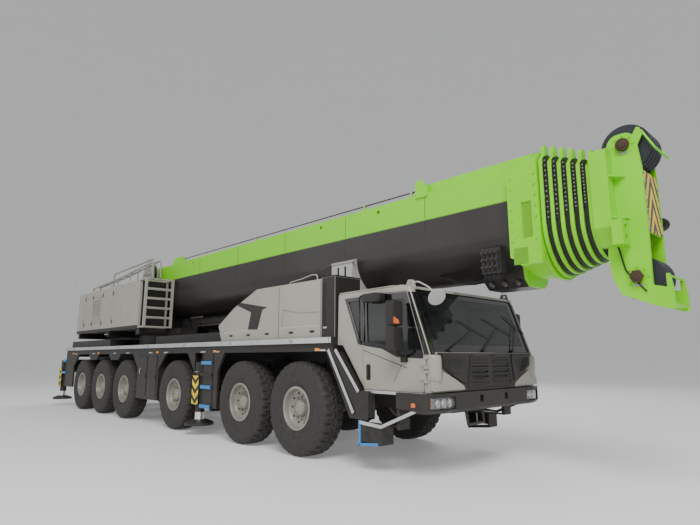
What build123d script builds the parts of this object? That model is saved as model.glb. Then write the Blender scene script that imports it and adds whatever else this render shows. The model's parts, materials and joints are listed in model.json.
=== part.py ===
"""A six-axle all-terrain telescopic crane with its boom laid down for the road.

Millimetres. +X forward, +Y to the machine's left, +Z up. The origin is on the ground,
on the centre plane, below the middle of the machine's overall length.
"""

import math
import os

from build123d import *

os.makedirs("parts", exist_ok=True)

# ---------------------------------------------------------------- driving dimensions
TYRE_RADIUS = 745.0
TYRE_WIDTH = 430.0
RIM_RADIUS = 321.0
WIDTH = 3000.0  # over the tyres and over the bumper
TYRE_GAPS = (180.0, 1210.0, 1410.0, 200.0, 160.0)  # free length between one tyre and the next
STEERED = (1, 2, 3, 5, 6)  # axle 4 is rigid
KINGPIN_INSET = 155.0  # from a wheel's middle plane to its kingpin
RUNNING_GAP = 6.0  # between a moving piece and what it passes
SEAT_GAP = 0.4  # between sliding or turning faces that carry each other, and round pins
FIT_GAP = 0.3  # between pieces bolted or bonded in place

FRAME_HALF = 450.0  # half width of the box frame
FRAME_DEPTH = 730.0
FRAME_UNDER_AXLE = 290.0  # frame underside above the axle centre
SKIRT_GAP = 150.0  # tyre top to wheel arch
SKIRT_RAIL = 127.0  # wheel arch to deck underside
DECK_THICK = 93.0

SLEW_BEHIND = 7700.0  # slewing centre behind axle 1
RING_RADIUS = 900.0
RING_HEIGHT = 280.0
PLATFORM_THICK = 150.0
FOOT_BEHIND = 1650.0  # boom foot pin behind the slewing centre
FOOT_ABOVE = 1240.0  # boom foot pin above the deck

BOOM_HALF = 575.0  # half width of the boom's base section, also its belly radius
BOOM_HEIGHT = 1450.0
BOOM_WALL = 12.0
NEST_STEP = 34.0  # each section is this much slimmer all round than the one it slides in
BOOM_ABOVE = 790.0  # boom belly above the deck
SECTIONS = 7  # sliding sections, the last one carrying the head
COLLAR_PITCH = 104.0
COLLAR_THICK = 46.0
COLLAR_PROUD = 88.0  # how far a collar stands out round its section
BASE_FRONT = 3450.0  # rear edge of the base collar ahead of axle 1
BASE_COLLAR = 430.0
HEAD_HALF = 300.0  # over the boom head's two cheeks
HEAD_PLATE = 45.0

CAB_HALF = 1375.0
CAB_REAR = 880.0  # ahead of axle 1, as are all cab and bumper lengths
CAB_FRONT = 2640.0
CAB_WALL = 40.0
BUMPER_FRONT = 2720.0

OUTRIGGER_BEAM = (280.0, 360.0)  # length-wise and upright
OUTRIGGER_WALL = 20.0
OUTRIGGER_REACH = 2500.0  # length of one beam
JACK_RADIUS = 95.0
PAD_RADIUS = 290.0

# ---------------------------------------------------------------- places worked out from them
HALF = WIDTH / 2
HUB_Y = HALF - TYRE_WIDTH / 2
KINGPIN_Y = HUB_Y - KINGPIN_INSET
SIDES = (("right", -1), ("left", 1))

# the boom head's lip is the foremost point and the rear outrigger box the rearmost
HEAD_TIP = 666.0
FRONT_REACH = BASE_FRONT + BASE_COLLAR + 20 + (SECTIONS - 1) * COLLAR_PITCH + HEAD_TIP
LAST_AXLE = sum(TYRE_GAPS) + len(TYRE_GAPS) * 2 * TYRE_RADIUS
BOX_END = OUTRIGGER_BEAM[0] / 2 + OUTRIGGER_WALL + RUNNING_GAP
REAR_REACH = LAST_AXLE + TYRE_RADIUS + 1450 + max(BOX_END, PAD_RADIUS)
AXLE_1 = (REAR_REACH - FRONT_REACH) / 2  # axle 1 ahead of the origin

AXLE_X = [AXLE_1]
for free in TYRE_GAPS:
    AXLE_X.append(AXLE_X[-1] - 2 * TYRE_RADIUS - free)

FRAME_Z = TYRE_RADIUS + FRAME_UNDER_AXLE
ARCH_Z = 2 * TYRE_RADIUS + SKIRT_GAP
DECK_Z = ARCH_Z + SKIRT_RAIL
DECK_TOP = DECK_Z + DECK_THICK
FRAME_TOP = DECK_Z
REAR_X = AXLE_X[5] - TYRE_RADIUS - 1130
SLEW_X = AXLE_1 - SLEW_BEHIND
PLATFORM_Z = DECK_TOP + RING_HEIGHT
PLATFORM_TOP = PLATFORM_Z + PLATFORM_THICK
FOOT_X = SLEW_X - FOOT_BEHIND
FOOT_Z = DECK_TOP + FOOT_ABOVE
BELLY_Z = DECK_TOP + BOOM_ABOVE
BOOM_TOP = BELLY_Z + BOOM_HEIGHT
FRONT_JACK_X = AXLE_X[2] + TYRE_RADIUS + 275
REAR_JACK_X = AXLE_X[5] - TYRE_RADIUS - 1450


def ahead(distance):
    """X of a place given by its distance ahead of axle 1."""
    return AXLE_1 + distance


# ---------------------------------------------------------------- shared operations
def block(x, y, z, mode=Mode.ADD):
    """A box between two values of X, of Y and of Z."""
    with Locations((sum(x) / 2, sum(y) / 2, sum(z) / 2)):
        Box(abs(x[1] - x[0]), abs(y[1] - y[0]), abs(z[1] - z[0]), mode=mode)


def slab(plane, outline, amount, mode=Mode.ADD):
    """A closed outline drawn on a plane and extruded; a corner's third value is its radius."""
    radii = [(*corner, 0)[2] for corner in outline]
    with BuildSketch(plane) as profile:
        with BuildLine():
            if any(radii):
                FilletPolyline(*[corner[:2] for corner in outline], radius=radii, close=True)
            else:
                Polyline(*[corner[:2] for corner in outline], close=True)
        make_face()
    extrude(profile.sketch, amount=amount, mode=mode)


def side_plate(outline, y, mode=Mode.ADD):
    """An (X, Z) outline that fills the width between two values of Y."""
    slab(Plane((0, max(y), 0), x_dir=(1, 0, 0), z_dir=(0, -1, 0)), outline, abs(y[1] - y[0]), mode)


def cross_plate(outline, x, mode=Mode.ADD):
    """A (Y, Z) outline that fills the length between two values of X."""
    slab(Plane((min(x), 0, 0), x_dir=(0, 1, 0), z_dir=(1, 0, 0)), outline, abs(x[1] - x[0]), mode)


def turned(origin, along, outline, mode=Mode.ADD):
    """A turned solid: outline holds (distance along the axis, radius) corners, rounded by a third value."""
    axis = Vector(*along)
    radial = Vector(1, 0, 0) if abs(axis.Z) > 0.9 else Vector(0, 0, 1)
    radii = [(*corner, 0)[2] for corner in outline]
    with BuildSketch(Plane(origin, x_dir=axis, z_dir=axis.cross(radial))) as profile:
        with BuildLine():
            if any(radii):
                FilletPolyline(*[corner[:2] for corner in outline], radius=radii, close=True)
            else:
                Polyline(*[corner[:2] for corner in outline], close=True)
        make_face()
    revolve(profile.sketch, axis=Axis(origin, along), mode=mode)


def rod(start, end, radius, mode=Mode.ADD):
    """A round bar between two points."""
    run = Vector(*end) - Vector(*start)
    with BuildSketch(Plane(start, z_dir=run)) as profile:
        Circle(radius)
    extrude(profile.sketch, amount=run.length, mode=mode)


def save(builder, name):
    builder.part.label = name
    export_step(builder.part, f"parts/{name}.step")


def grown(outline, margin):
    """A closed outline with every side moved out by margin, or in where it is negative."""
    turn = sum(a[0] * b[1] - b[0] * a[1] for a, b in zip(outline, outline[1:] + outline[:1]))
    out = margin if turn > 0 else -margin
    corners = []
    for before, here, after in zip(outline[-1:] + outline[:-1], outline, outline[1:] + outline[:1]):
        first = Vector(here[0] - before[0], here[1] - before[1]).normalized()
        second = Vector(after[0] - here[0], after[1] - here[1]).normalized()
        mitre = out / (1 + first.dot(second))
        corner = (here[0] + mitre * (first.Y + second.Y), here[1] - mitre * (first.X + second.X))
        bulges = (first.X * second.Y - first.Y * second.X) * turn > 0
        radius = (*here, 0)[2]
        corners.append((*corner, max(radius + (margin if bulges else -margin), 1)) if radius else corner)
    return corners


# ---------------------------------------------------------------- wheels, knuckles, axles
# outlines of one wheel: (distance out from its middle plane, radius)
TREAD_HALF = 158.0
BEAD_HALF = 178.0
WALL_HALF = TYRE_WIDTH / 2
FLANGE = 22.0  # the rim's edge stands this far above the bead seat
TYRE_OUTLINE = [
    (-BEAD_HALF, RIM_RADIUS + FIT_GAP),
    (-BEAD_HALF, RIM_RADIUS + 45, 30),
    (-WALL_HALF, (RIM_RADIUS + TYRE_RADIUS) / 2, 90),
    (-WALL_HALF + 14, TYRE_RADIUS - 62, 25),
    (-TREAD_HALF, TYRE_RADIUS, 20),
    (TREAD_HALF, TYRE_RADIUS, 20),
    (WALL_HALF - 14, TYRE_RADIUS - 62, 25),
    (WALL_HALF, (RIM_RADIUS + TYRE_RADIUS) / 2, 90),
    (BEAD_HALF, RIM_RADIUS + 45, 30),
    (BEAD_HALF, RIM_RADIUS + FIT_GAP),
]
DISC_OUT = 60.0  # wheel disc, out from the middle plane
DISC_THICK = 30.0
HUB_RADIUS = 125.0
HUB_OUT = 135.0  # end of the hub, out from the middle plane
RIM_OUTLINE = [
    (BEAD_HALF, RIM_RADIUS),
    (BEAD_HALF + FIT_GAP, RIM_RADIUS),
    (BEAD_HALF + FIT_GAP, RIM_RADIUS + FLANGE, 6),
    (BEAD_HALF + 16, RIM_RADIUS + FLANGE, 6),
    (BEAD_HALF + 16, RIM_RADIUS - 14, 6),
    (DISC_OUT + 24, RIM_RADIUS - 40, 20),
    (DISC_OUT, 205, 14),
    (DISC_OUT, HUB_RADIUS + 22),
    (HUB_OUT - 34, HUB_RADIUS, 8),
    (HUB_OUT - 12, HUB_RADIUS - 12, 10),
    (HUB_OUT, HUB_RADIUS - 50, 14),
    (HUB_OUT, 0),
    (DISC_OUT - DISC_THICK, 0),
    (DISC_OUT - DISC_THICK, RIM_RADIUS - 45, 12),
    (-BEAD_HALF - 16, RIM_RADIUS - 14),
    (-BEAD_HALF - 16, RIM_RADIUS + FLANGE, 6),
    (-BEAD_HALF - FIT_GAP, RIM_RADIUS + FLANGE, 6),
    (-BEAD_HALF - FIT_GAP, RIM_RADIUS),
]
HAND_HOLES = 10
HAND_HOLE_RING = 243.0
HAND_HOLE_RADIUS = 22.0
KINGPIN_HALF = 170.0  # half height of the kingpin
EAR = 45.0

for number, axle_x in enumerate(AXLE_X, 1):
    for side_name, side in SIDES:
        hub = (axle_x, side * HUB_Y, TYRE_RADIUS)
        with BuildPart() as wheel:
            turned(hub, (0, side, 0), TYRE_OUTLINE)
            turned(hub, (0, side, 0), RIM_OUTLINE)
            with BuildSketch(
                Plane((axle_x, side * (HUB_Y + HUB_OUT), TYRE_RADIUS), z_dir=(0, -side, 0))
            ) as holes:
                with PolarLocations(HAND_HOLE_RING, HAND_HOLES):
                    Circle(HAND_HOLE_RADIUS)
            extrude(holes.sketch, amount=HUB_OUT - DISC_OUT + DISC_THICK + 30, mode=Mode.SUBTRACT)
        save(wheel, f"wheel_{number}_{side_name}")
        if number not in STEERED:
            continue
        # a barrel round the kingpin, with the wheel's spindle standing out of it
        kingpin = (axle_x, side * KINGPIN_Y, TYRE_RADIUS)
        spindle_end = DISC_OUT - DISC_THICK - SEAT_GAP + KINGPIN_INSET
        with BuildPart() as knuckle:
            turned(kingpin, (0, 0, 1), [(-110, 0), (-110, 75), (110, 75), (110, 0)])
            turned(
                kingpin,
                (0, side, 0),
                [
                    (0, 0),
                    (0, 85),
                    (spindle_end - 60, 128),
                    (spindle_end - 60, 60),
                    (spindle_end, 60),
                    (spindle_end, 0),
                ],
            )
            turned(
                kingpin,
                (0, 0, 1),
                [(-112, 0), (-112, 30 + SEAT_GAP), (112, 30 + SEAT_GAP), (112, 0)],
                Mode.SUBTRACT,
            )
        save(knuckle, f"knuckle_{number}_{side_name}")

# each axle: a tube with a final drive in its middle, yokes round the kingpins, and struts up to the frame
STRUT_Y = KINGPIN_Y - 330
with BuildPart() as axle_beams:
    for number, axle_x in enumerate(AXLE_X, 1):
        reach = KINGPIN_Y - 105 if number in STEERED else HUB_Y + DISC_OUT - DISC_THICK - SEAT_GAP
        middle = (axle_x, 0, TYRE_RADIUS)
        turned(
            middle,
            (0, 1, 0),
            [
                (-reach, 0),
                (-reach, 85),
                (-320, 95),
                (-170, 235),
                (170, 235),
                (320, 95),
                (reach, 85),
                (reach, 0),
            ],
        )
        for side_name, side in SIDES:
            y = (side * STRUT_Y - 55, side * STRUT_Y + 55)
            block((axle_x - 130, axle_x + 130), y, (TYRE_RADIUS - 70, TYRE_RADIUS + 70))
            for offset in (-85, 85):
                rod(
                    (axle_x + offset, side * STRUT_Y, TYRE_RADIUS),
                    (axle_x + offset, side * STRUT_Y, FRAME_TOP - 300),
                    45,
                )
            block(
                (axle_x - 160, axle_x + 160),
                (side * FRAME_HALF, side * (STRUT_Y + 60)),
                (FRAME_TOP - 300, FRAME_TOP - 240),
            )
            if number in STEERED:
                for level in (-1, 1):
                    near, far = 122, 122 + EAR
                    z = (TYRE_RADIUS + level * near, TYRE_RADIUS + level * far)
                    block(
                        (axle_x - 60, axle_x + 60),
                        (side * (KINGPIN_Y - 105 - 90), side * (KINGPIN_Y + 60)),
                        z,
                    )
                z = (TYRE_RADIUS - 122 - EAR, TYRE_RADIUS + 122 + EAR)
                block(
                    (axle_x - 60, axle_x + 60), (side * (KINGPIN_Y - 105 - 90), side * (KINGPIN_Y - 105)), z
                )
                rod(
                    (axle_x, side * KINGPIN_Y, TYRE_RADIUS - KINGPIN_HALF),
                    (axle_x, side * KINGPIN_Y, TYRE_RADIUS + KINGPIN_HALF),
                    30,
                )
save(axle_beams, "axle_beams")

# ---------------------------------------------------------------- outriggers
# each row: name, side it reaches to, jack X, which way its partner's channel lies
OUTRIGGERS = (
    ("front_right", -1, FRONT_JACK_X),
    ("front_left", 1, FRONT_JACK_X + OUTRIGGER_BEAM[0] + 3 * OUTRIGGER_WALL),
    ("rear_right", -1, REAR_JACK_X),
    ("rear_left", 1, REAR_JACK_X + OUTRIGGER_BEAM[0] + 3 * OUTRIGGER_WALL),
)
BEAM_Z = FRAME_Z + 60  # underside of a beam
BOX_HALF = HALF - 270  # half width of the transverse outrigger boxes
JACK_Y = HALF - 135
PAD_Z = 190.0  # underside of a stowed pad

for name, side, x in OUTRIGGERS:
    half = OUTRIGGER_BEAM[0] / 2
    with BuildPart() as beam:
        inner_end = side * (JACK_Y - 100 - OUTRIGGER_REACH)
        y = (inner_end, side * (JACK_Y - 100))
        block((x - half, x + half), y, (BEAM_Z, BEAM_Z + OUTRIGGER_BEAM[1]))
        turned((x, side * JACK_Y, BEAM_Z - 480), (0, 0, 1), [(0, 0), (0, 120), (840, 120), (840, 0)])
        block((x - 60, x + 60), (side * (JACK_Y - 110), side * JACK_Y), (BEAM_Z - 200, BEAM_Z + 330))
        block(
            (x - half, x + half),
            (side * (JACK_Y + 112), side * (JACK_Y + 130)),
            (BEAM_Z - 500, BEAM_Z + 90),
        )
        block((x - 20, x + 20), (side * (JACK_Y + 60), side * (JACK_Y + 120)), (BEAM_Z - 240, BEAM_Z + 80))
        turned(
            (x, side * JACK_Y, BEAM_Z - 490),
            (0, 0, 1),
            [(0, 0), (0, JACK_RADIUS + SEAT_GAP), (820, JACK_RADIUS + SEAT_GAP), (820, 0)],
            Mode.SUBTRACT,
        )
    save(beam, f"outrigger_beam_{name}")
    with BuildPart() as jack:
        foot = (x, side * JACK_Y, PAD_Z)
        turned(
            foot,
            (0, 0, 1),
            [
                (0, 0),
                (0, PAD_RADIUS),
                (50, PAD_RADIUS),
                (110, JACK_RADIUS + 40),
                (110, JACK_RADIUS),
                (BEAM_Z - PAD_Z + 300, JACK_RADIUS),
                (BEAM_Z - PAD_Z + 300, 0),
            ],
        )
    save(jack, f"outrigger_jack_{name}")

# ---------------------------------------------------------------- carrier frame
FRONT_FRAME_Z = TYRE_RADIUS + 20
CAB_FLOOR = DECK_TOP - 760
with BuildPart() as chassis_frame:
    side_plate(
        [
            (REAR_X, FRAME_Z),
            (AXLE_1 + 60, FRAME_Z),
            (ahead(560), FRONT_FRAME_Z),
            (ahead(2300), FRONT_FRAME_Z),
            (ahead(2300), CAB_FLOOR - 60),
            (ahead(800), CAB_FLOOR - 60),
            (ahead(680), FRAME_TOP),
            (REAR_X, FRAME_TOP),
        ],
        (-FRAME_HALF, FRAME_HALF),
    )
    for first, second in (OUTRIGGERS[:2], OUTRIGGERS[2:]):
        half = BOX_END
        low = BEAM_Z - RUNNING_GAP - OUTRIGGER_WALL
        high = BEAM_Z + OUTRIGGER_BEAM[1] + RUNNING_GAP + OUTRIGGER_WALL
        block((first[2] - half, second[2] + half), (-BOX_HALF, BOX_HALF), (low, high))
    for name, side, x in OUTRIGGERS:
        half = OUTRIGGER_BEAM[0] / 2 + RUNNING_GAP
        z = (BEAM_Z - SEAT_GAP, BEAM_Z + OUTRIGGER_BEAM[1] + RUNNING_GAP)
        block((x - half, x + half), (-BOX_HALF - 1, BOX_HALF + 1), z, Mode.SUBTRACT)
    for mount_x in (ahead(1000), ahead(2150)):
        for side in (-1, 1):
            block(
                (mount_x - 90, mount_x + 90),
                (side * 300, side * 440),
                (CAB_FLOOR - 61, CAB_FLOOR - FIT_GAP),
            )
    turned(
        (SLEW_X, 0, DECK_Z),
        (0, 0, 1),
        [
            (-200, 0),
            (-200, RING_RADIUS),
            (DECK_THICK + RING_HEIGHT / 2, RING_RADIUS),
            (DECK_THICK + RING_HEIGHT / 2, 0),
        ],
    )
save(chassis_frame, "chassis_frame")

# ---------------------------------------------------------------- deck and its raised centre
with BuildPart() as carrier_deck:
    block((REAR_X, ahead(CAB_REAR - 20)), (-HALF, HALF), (DECK_Z, DECK_TOP))
    block((SLEW_X + 1500, ahead(-2700)), (-1150, 1150), (DECK_TOP, DECK_TOP + 215))
    block((REAR_X + 300, SLEW_X - 1050), (-1380, 1380), (DECK_TOP, DECK_TOP + 200))
    turned(
        (SLEW_X, 0, DECK_Z - 1),
        (0, 0, 1),
        [(0, 0), (0, RING_RADIUS + 1), (700, RING_RADIUS + 1), (700, 0)],
        Mode.SUBTRACT,
    )
save(carrier_deck, "carrier_deck")

# ---------------------------------------------------------------- side skirts: arches, box and ladders
SKIRT_Y = (HALF - 95, HALF - 45)
BOX_Z = 560.0
STEP_LEG = 350.0  # how far an arch's slanted side leans out


def arch_between(axle_front, axle_rear, low):
    """Points of a short panel that hangs between two close wheels, front to rear."""
    middle = (axle_front + axle_rear) / 2
    return [(middle + 430, ARCH_Z), (middle + 270, low), (middle - 270, low), (middle - 430, ARCH_Z)]


def skirt_outline(jack_x, rear_jack_x):
    """One side's skirt, from the front fender back to the rear outrigger."""
    rear_end = max(REAR_X + 60, rear_jack_x + JACK_RADIUS + 80)
    rear_leg = AXLE_X[5] - TYRE_RADIUS - 250
    box_front = AXLE_X[2] - TYRE_RADIUS - 150
    box_rear = AXLE_X[3] + TYRE_RADIUS + 40
    jack_rear = jack_x - OUTRIGGER_BEAM[0] / 2 - 15
    jack_front = jack_x + OUTRIGGER_BEAM[0] / 2 + 25
    ladder_front = AXLE_X[1] - TYRE_RADIUS - 130
    return (
        [
            (ahead(700), DECK_Z),
            (ahead(700), ARCH_Z),
            (AXLE_X[1] - 640, ARCH_Z),
            (ladder_front, ARCH_Z - STEP_LEG),
        ]
        + [(ladder_front, BOX_Z), (jack_front, BOX_Z), (jack_front, ARCH_Z), (jack_rear, ARCH_Z)]
        + [
            (jack_rear, BEAM_Z),
            (AXLE_X[2] + 835, BEAM_Z),
            (AXLE_X[2] + 835, ARCH_Z - STEP_LEG),
            (AXLE_X[2] + 530, ARCH_Z),
        ]
        + [(AXLE_X[2] - 530, ARCH_Z), (box_front, ARCH_Z - STEP_LEG), (box_front, BOX_Z), (box_rear, BOX_Z)]
        + [(box_rear, ARCH_Z - STEP_LEG), (AXLE_X[3] + 420, ARCH_Z)]
        + arch_between(AXLE_X[3], AXLE_X[4], ARCH_Z - 160)
        + arch_between(AXLE_X[4], AXLE_X[5], ARCH_Z - 160)
        + [(AXLE_X[5] - 560, ARCH_Z), (rear_leg, ARCH_Z - STEP_LEG), (rear_leg, BOX_Z + 60)]
        + [(rear_end, BOX_Z + 60), (rear_end, DECK_Z)]
    )


LADDER_WIDTH = 420.0  # the front ladder's, where the outrigger leaves it the room
RUNG_Z = (560.0, 940.0, 1180.0, 1420.0)
REAR_RUNG_Z = (1040.0, 1420.0)
RUNG = (60.0, 45.0)  # depth and height of a rung
FENDER_Y = (CAB_HALF - 60, HALF - 45)
FENDER = [
    (ahead(700), DECK_Z),
    (ahead(700), ARCH_Z),
    (ahead(1230), CAB_FLOOR - 410),
    (ahead(1600), CAB_FLOOR - 410, 40),
    (ahead(1600), CAB_FLOOR - 20),
    (ahead(1400), CAB_FLOOR - 20),
    (ahead(960), ARCH_Z),
    (ahead(860), ARCH_Z),
    (ahead(860), DECK_Z),
]
FENDER_BAR = 55.0  # width of the bars along the fender's slanted edges
with BuildPart() as side_skirts:
    for (side_name, side), front, rear in zip(SIDES, OUTRIGGERS[:2], OUTRIGGERS[2:]):
        side_plate(skirt_outline(front[2], rear[2]), (side * SKIRT_Y[0], side * SKIRT_Y[1]))
        box_x = (AXLE_X[3] + TYRE_RADIUS + 40, AXLE_X[2] - TYRE_RADIUS - 150)
        block(box_x, (side * (FRAME_HALF + 180), side * SKIRT_Y[0]), (BOX_Z, DECK_Z))
        for door in (0.27, 0.73):  # two locker doors on the box
            middle = box_x[0] + door * (box_x[1] - box_x[0])
            block(
                (middle - 250, middle + 250),
                (side * SKIRT_Y[1], side * (SKIRT_Y[1] + 12)),
                (BOX_Z + 90, ARCH_Z - 60),
            )
        block(
            (AXLE_X[5] - 900, AXLE_X[5] - 850),
            (side * FRAME_HALF, side * SKIRT_Y[0]),
            (DECK_Z - 200, DECK_Z),
        )
        # front ladder: a tread at each level between two posts that stand out from the skirt
        ladder_rear = front[2] + OUTRIGGER_BEAM[0] / 2 + 55
        ladder = (ladder_rear, min(ladder_rear + LADDER_WIDTH, AXLE_X[1] - TYRE_RADIUS - 150))
        for z in RUNG_Z:
            block(ladder, (side * SKIRT_Y[1], side * (SKIRT_Y[1] + RUNG[0] - 20)), (z, z + RUNG[1]))
        rear_x = rear[2] + JACK_RADIUS + 60
        for z in REAR_RUNG_Z:
            block(
                (rear_x, rear_x + 320),
                (side * SKIRT_Y[1], side * (SKIRT_Y[1] + RUNG[0] - 20)),
                (z, z + RUNG[1]),
            )
        side_plate(FENDER, (side * FENDER_Y[0], side * FENDER_Y[1]))
        for top, foot in (
            ((740, ARCH_Z + 30), (1290, CAB_FLOOR - 330)), ((900, ARCH_Z + 30), (1395, CAB_FLOOR - 30))
        ):
            side_plate(
                [
                    (ahead(top[0]), top[1]),
                    (ahead(foot[0]), foot[1]),
                    (ahead(foot[0] + FENDER_BAR), foot[1]),
                    (ahead(top[0] + FENDER_BAR), top[1]),
                ],
                (side * (FENDER_Y[1] - 2), side * (FENDER_Y[1] + 18)),
            )
save(side_skirts, "side_skirts")

# ---------------------------------------------------------------- engine, its cover and the intake stacks
ENGINE_X = (ahead(-1600), ahead(-300))
COVER_TOP = DECK_TOP + 940
COVER_INNER = BOOM_HALF + 225.0
COVER_FRONT = ahead(545)
COVER_OUTLINE = [
    (ahead(-2500), DECK_TOP),
    (ahead(-2650), DECK_TOP + 330, 60),
    (ahead(-2110), DECK_TOP + 640, 120),
    (ahead(-1330), COVER_TOP, 160),
    (COVER_FRONT, COVER_TOP),
    (COVER_FRONT, DECK_TOP),
]
COVER_OUTER = HALF - 50
COVER_RECESS = 14.0  # depth of the pressed panel and of the seams
PRESSED_PANEL = [
    (ahead(-500), DECK_TOP + 190, 30),
    (ahead(-430), DECK_TOP + 500, 30),
    (ahead(30), DECK_TOP + 425, 200),
    (COVER_FRONT - 30, DECK_TOP + 410, 20),
    (COVER_FRONT - 30, DECK_TOP + 200, 20),
]
STACK_X = (COVER_FRONT + 8, ahead(860))
with BuildPart() as engine_block:
    block(ENGINE_X, (-430, 430), (DECK_TOP, DECK_TOP + 480))
save(engine_block, "engine_block")

with BuildPart() as engine_cover:
    for side_name, side in SIDES:
        side_plate(COVER_OUTLINE, (side * COVER_INNER, side * COVER_OUTER))
    top_edges = engine_cover.edges().filter_by(
        lambda e: abs(e.center().Z - COVER_TOP) < 1 and e.length > 1500
    )
    chamfer(top_edges.filter_by(lambda e: abs(e.center().Y) > COVER_OUTER - 1), 45)
    for side_name, side in SIDES:
        y = (side * (COVER_OUTER - COVER_RECESS), side * (COVER_OUTER + 1))
        side_plate(PRESSED_PANEL, y, Mode.SUBTRACT)
        block((ahead(-566), ahead(-554)), y, (DECK_TOP + 20, COVER_TOP - 60), Mode.SUBTRACT)
        # ribbed intake stack between the cover and the cab
        block(STACK_X, (side * (COVER_INNER + 60), side * (COVER_OUTER - 30)), (DECK_TOP, COVER_TOP + 10))
        for level in range(9):
            z = DECK_TOP + 90 + level * 95
            block(
                (STACK_X[0] + 40, STACK_X[1] - 40),
                (side * (COVER_OUTER - 46), side * (COVER_OUTER - 29)),
                (z, z + 30),
                Mode.SUBTRACT,
            )
        block(
            (COVER_FRONT - 1, STACK_X[0] + 1),
            (side * (COVER_INNER + 80), side * (COVER_OUTER - 60)),
            (DECK_TOP, COVER_TOP - 40),
        )
    # hood over the engine between the two side covers
    cross_plate(
        [
            (-COVER_INNER - 1, DECK_TOP),
            (-COVER_INNER - 1, DECK_TOP + 480),
            (-520, DECK_TOP + 560),
            (520, DECK_TOP + 560),
        ]
        + [(COVER_INNER + 1, DECK_TOP + 480), (COVER_INNER + 1, DECK_TOP)],
        (ENGINE_X[0] - 60, ENGINE_X[1] + 60),
    )
    block(
        (ENGINE_X[0] - 20, ENGINE_X[1] + 20),
        (-COVER_INNER + 20, COVER_INNER - 20),
        (DECK_TOP - 1, DECK_TOP + 500),
        Mode.SUBTRACT,
    )
    for row in range(7):
        x = ENGINE_X[0] + 150 + row * 160
        block((x, x + 60), (-400, 400), (DECK_TOP + 490, DECK_TOP + 561), Mode.SUBTRACT)
save(engine_cover, "engine_cover")

# ---------------------------------------------------------------- boom rest
REST_X = (ahead(-20), ahead(500))
REST_HALF = BOOM_HALF + 125.0
REST_TOP = BELLY_Z + BOOM_HALF - 20
REST_RIB = 40.0
with BuildPart() as boom_rest:
    # two crosswise saddle plates, tied by flanges and upright ribs
    for x in (REST_X[0], REST_X[1] - REST_RIB):
        cross_plate(
            [
                (-REST_HALF, DECK_TOP),
                (REST_HALF, DECK_TOP),
                (REST_HALF, REST_TOP - 60),
                (REST_HALF, REST_TOP),
            ]
            + [(-REST_HALF, REST_TOP), (-REST_HALF, REST_TOP - 60)],
            (x, x + REST_RIB),
        )
    for side in (-1, 1):
        side_plate(
            [
                (REST_X[0], DECK_TOP),
                (REST_X[1], DECK_TOP),
                (REST_X[1], REST_TOP - 40),
                (REST_X[1] + 150, REST_TOP),
                (REST_X[0], REST_TOP),
            ],
            (side * (REST_HALF - 25), side * REST_HALF),
        )
        side_plate(
            [
                (REST_X[0] - 300, COVER_TOP - 100),
                (REST_X[0] + 1, COVER_TOP - 160),
                (REST_X[0] + 1, REST_TOP),
                (REST_X[0] - 300, REST_TOP - 70),
            ],
            (side * (REST_HALF - 25), side * REST_HALF),
        )
        for slot_x in (REST_X[0] + 170, REST_X[0] + 350):
            block(
                (slot_x - 25, slot_x + 25), (side * (REST_HALF - 26), side * (REST_HALF + 1)),
                (COVER_TOP + 40, REST_TOP - 90), Mode.SUBTRACT,
            )
    # the saddle the boom lies in
    cross_plate(
        [
            (-REST_HALF, BELLY_Z - 60),
            (REST_HALF, BELLY_Z - 60),
            (REST_HALF, REST_TOP),
            (-REST_HALF, REST_TOP),
        ],
        REST_X,
    )
    rod(
        (REST_X[0] - 1, 0, BELLY_Z + BOOM_HALF),
        (REST_X[1] + 1, 0, BELLY_Z + BOOM_HALF),
        BOOM_HALF + RUNNING_GAP,
        Mode.SUBTRACT,
    )
    block(
        (REST_X[0] + REST_RIB, REST_X[1] - REST_RIB),
        (-REST_HALF + 200, REST_HALF - 200),
        (DECK_TOP + 300, BELLY_Z - 110),
        Mode.SUBTRACT,
    )
    block(
        (REST_X[0] - 1, REST_X[1] + 1),
        (-REST_HALF + 280, REST_HALF - 280),
        (DECK_TOP + 300, BELLY_Z - 160),
        Mode.SUBTRACT,
    )
save(boom_rest, "boom_rest")

# ---------------------------------------------------------------- driver's cab
ROOF_Z = DECK_TOP + 690
SILL_Z = CAB_FLOOR + 30
WINDOW_Z = DECK_TOP - 240
SCREEN_LEAN = 330.0  # how far the windscreen's top lies behind its foot
CAB_EDGE = 55.0  # radius of the cab's long edges
CAB_SIDE = [
    (ahead(CAB_REAR), DECK_TOP - 120),
    (ahead(CAB_REAR + 120), DECK_TOP - 130),
    (ahead(1460), CAB_FLOOR),
    (ahead(CAB_FRONT), CAB_FLOOR),
    (ahead(CAB_FRONT), WINDOW_Z - 30),
    (ahead(CAB_FRONT - SCREEN_LEAN), ROOF_Z - 30),
    (ahead(CAB_FRONT - SCREEN_LEAN - 160), ROOF_Z),
    (ahead(CAB_REAR + 20), ROOF_Z - 20),
]
DOOR_OUTLINE = [
    (ahead(1425), SILL_Z - 30, 20),
    (ahead(2535), SILL_Z - 30, 20),
    (ahead(2540), WINDOW_Z - 20, 30),
    (ahead(2275), ROOF_Z - 105, 40),
    (ahead(1425), ROOF_Z - 95, 30),
]
DOOR_WINDOW = [
    (ahead(1475), WINDOW_Z + 135, 25),
    (ahead(1800), WINDOW_Z + 85, 60),
    (ahead(2080), WINDOW_Z - 30, 80),
    (ahead(2450), WINDOW_Z - 45, 35),
    (ahead(2440), WINDOW_Z + 160, 60),
    (ahead(2255), ROOF_Z - 165, 30),
    (ahead(1475), ROOF_Z - 155, 25),
]
QUARTER_WINDOW = [
    (ahead(1090), ROOF_Z - 155, 20),
    (ahead(1385), ROOF_Z - 145, 20),
    (ahead(1385), WINDOW_Z + 150, 15),
    (ahead(1335), WINDOW_Z + 165, 15),
]
REAR_WINDOW_HALF = 800.0
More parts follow.
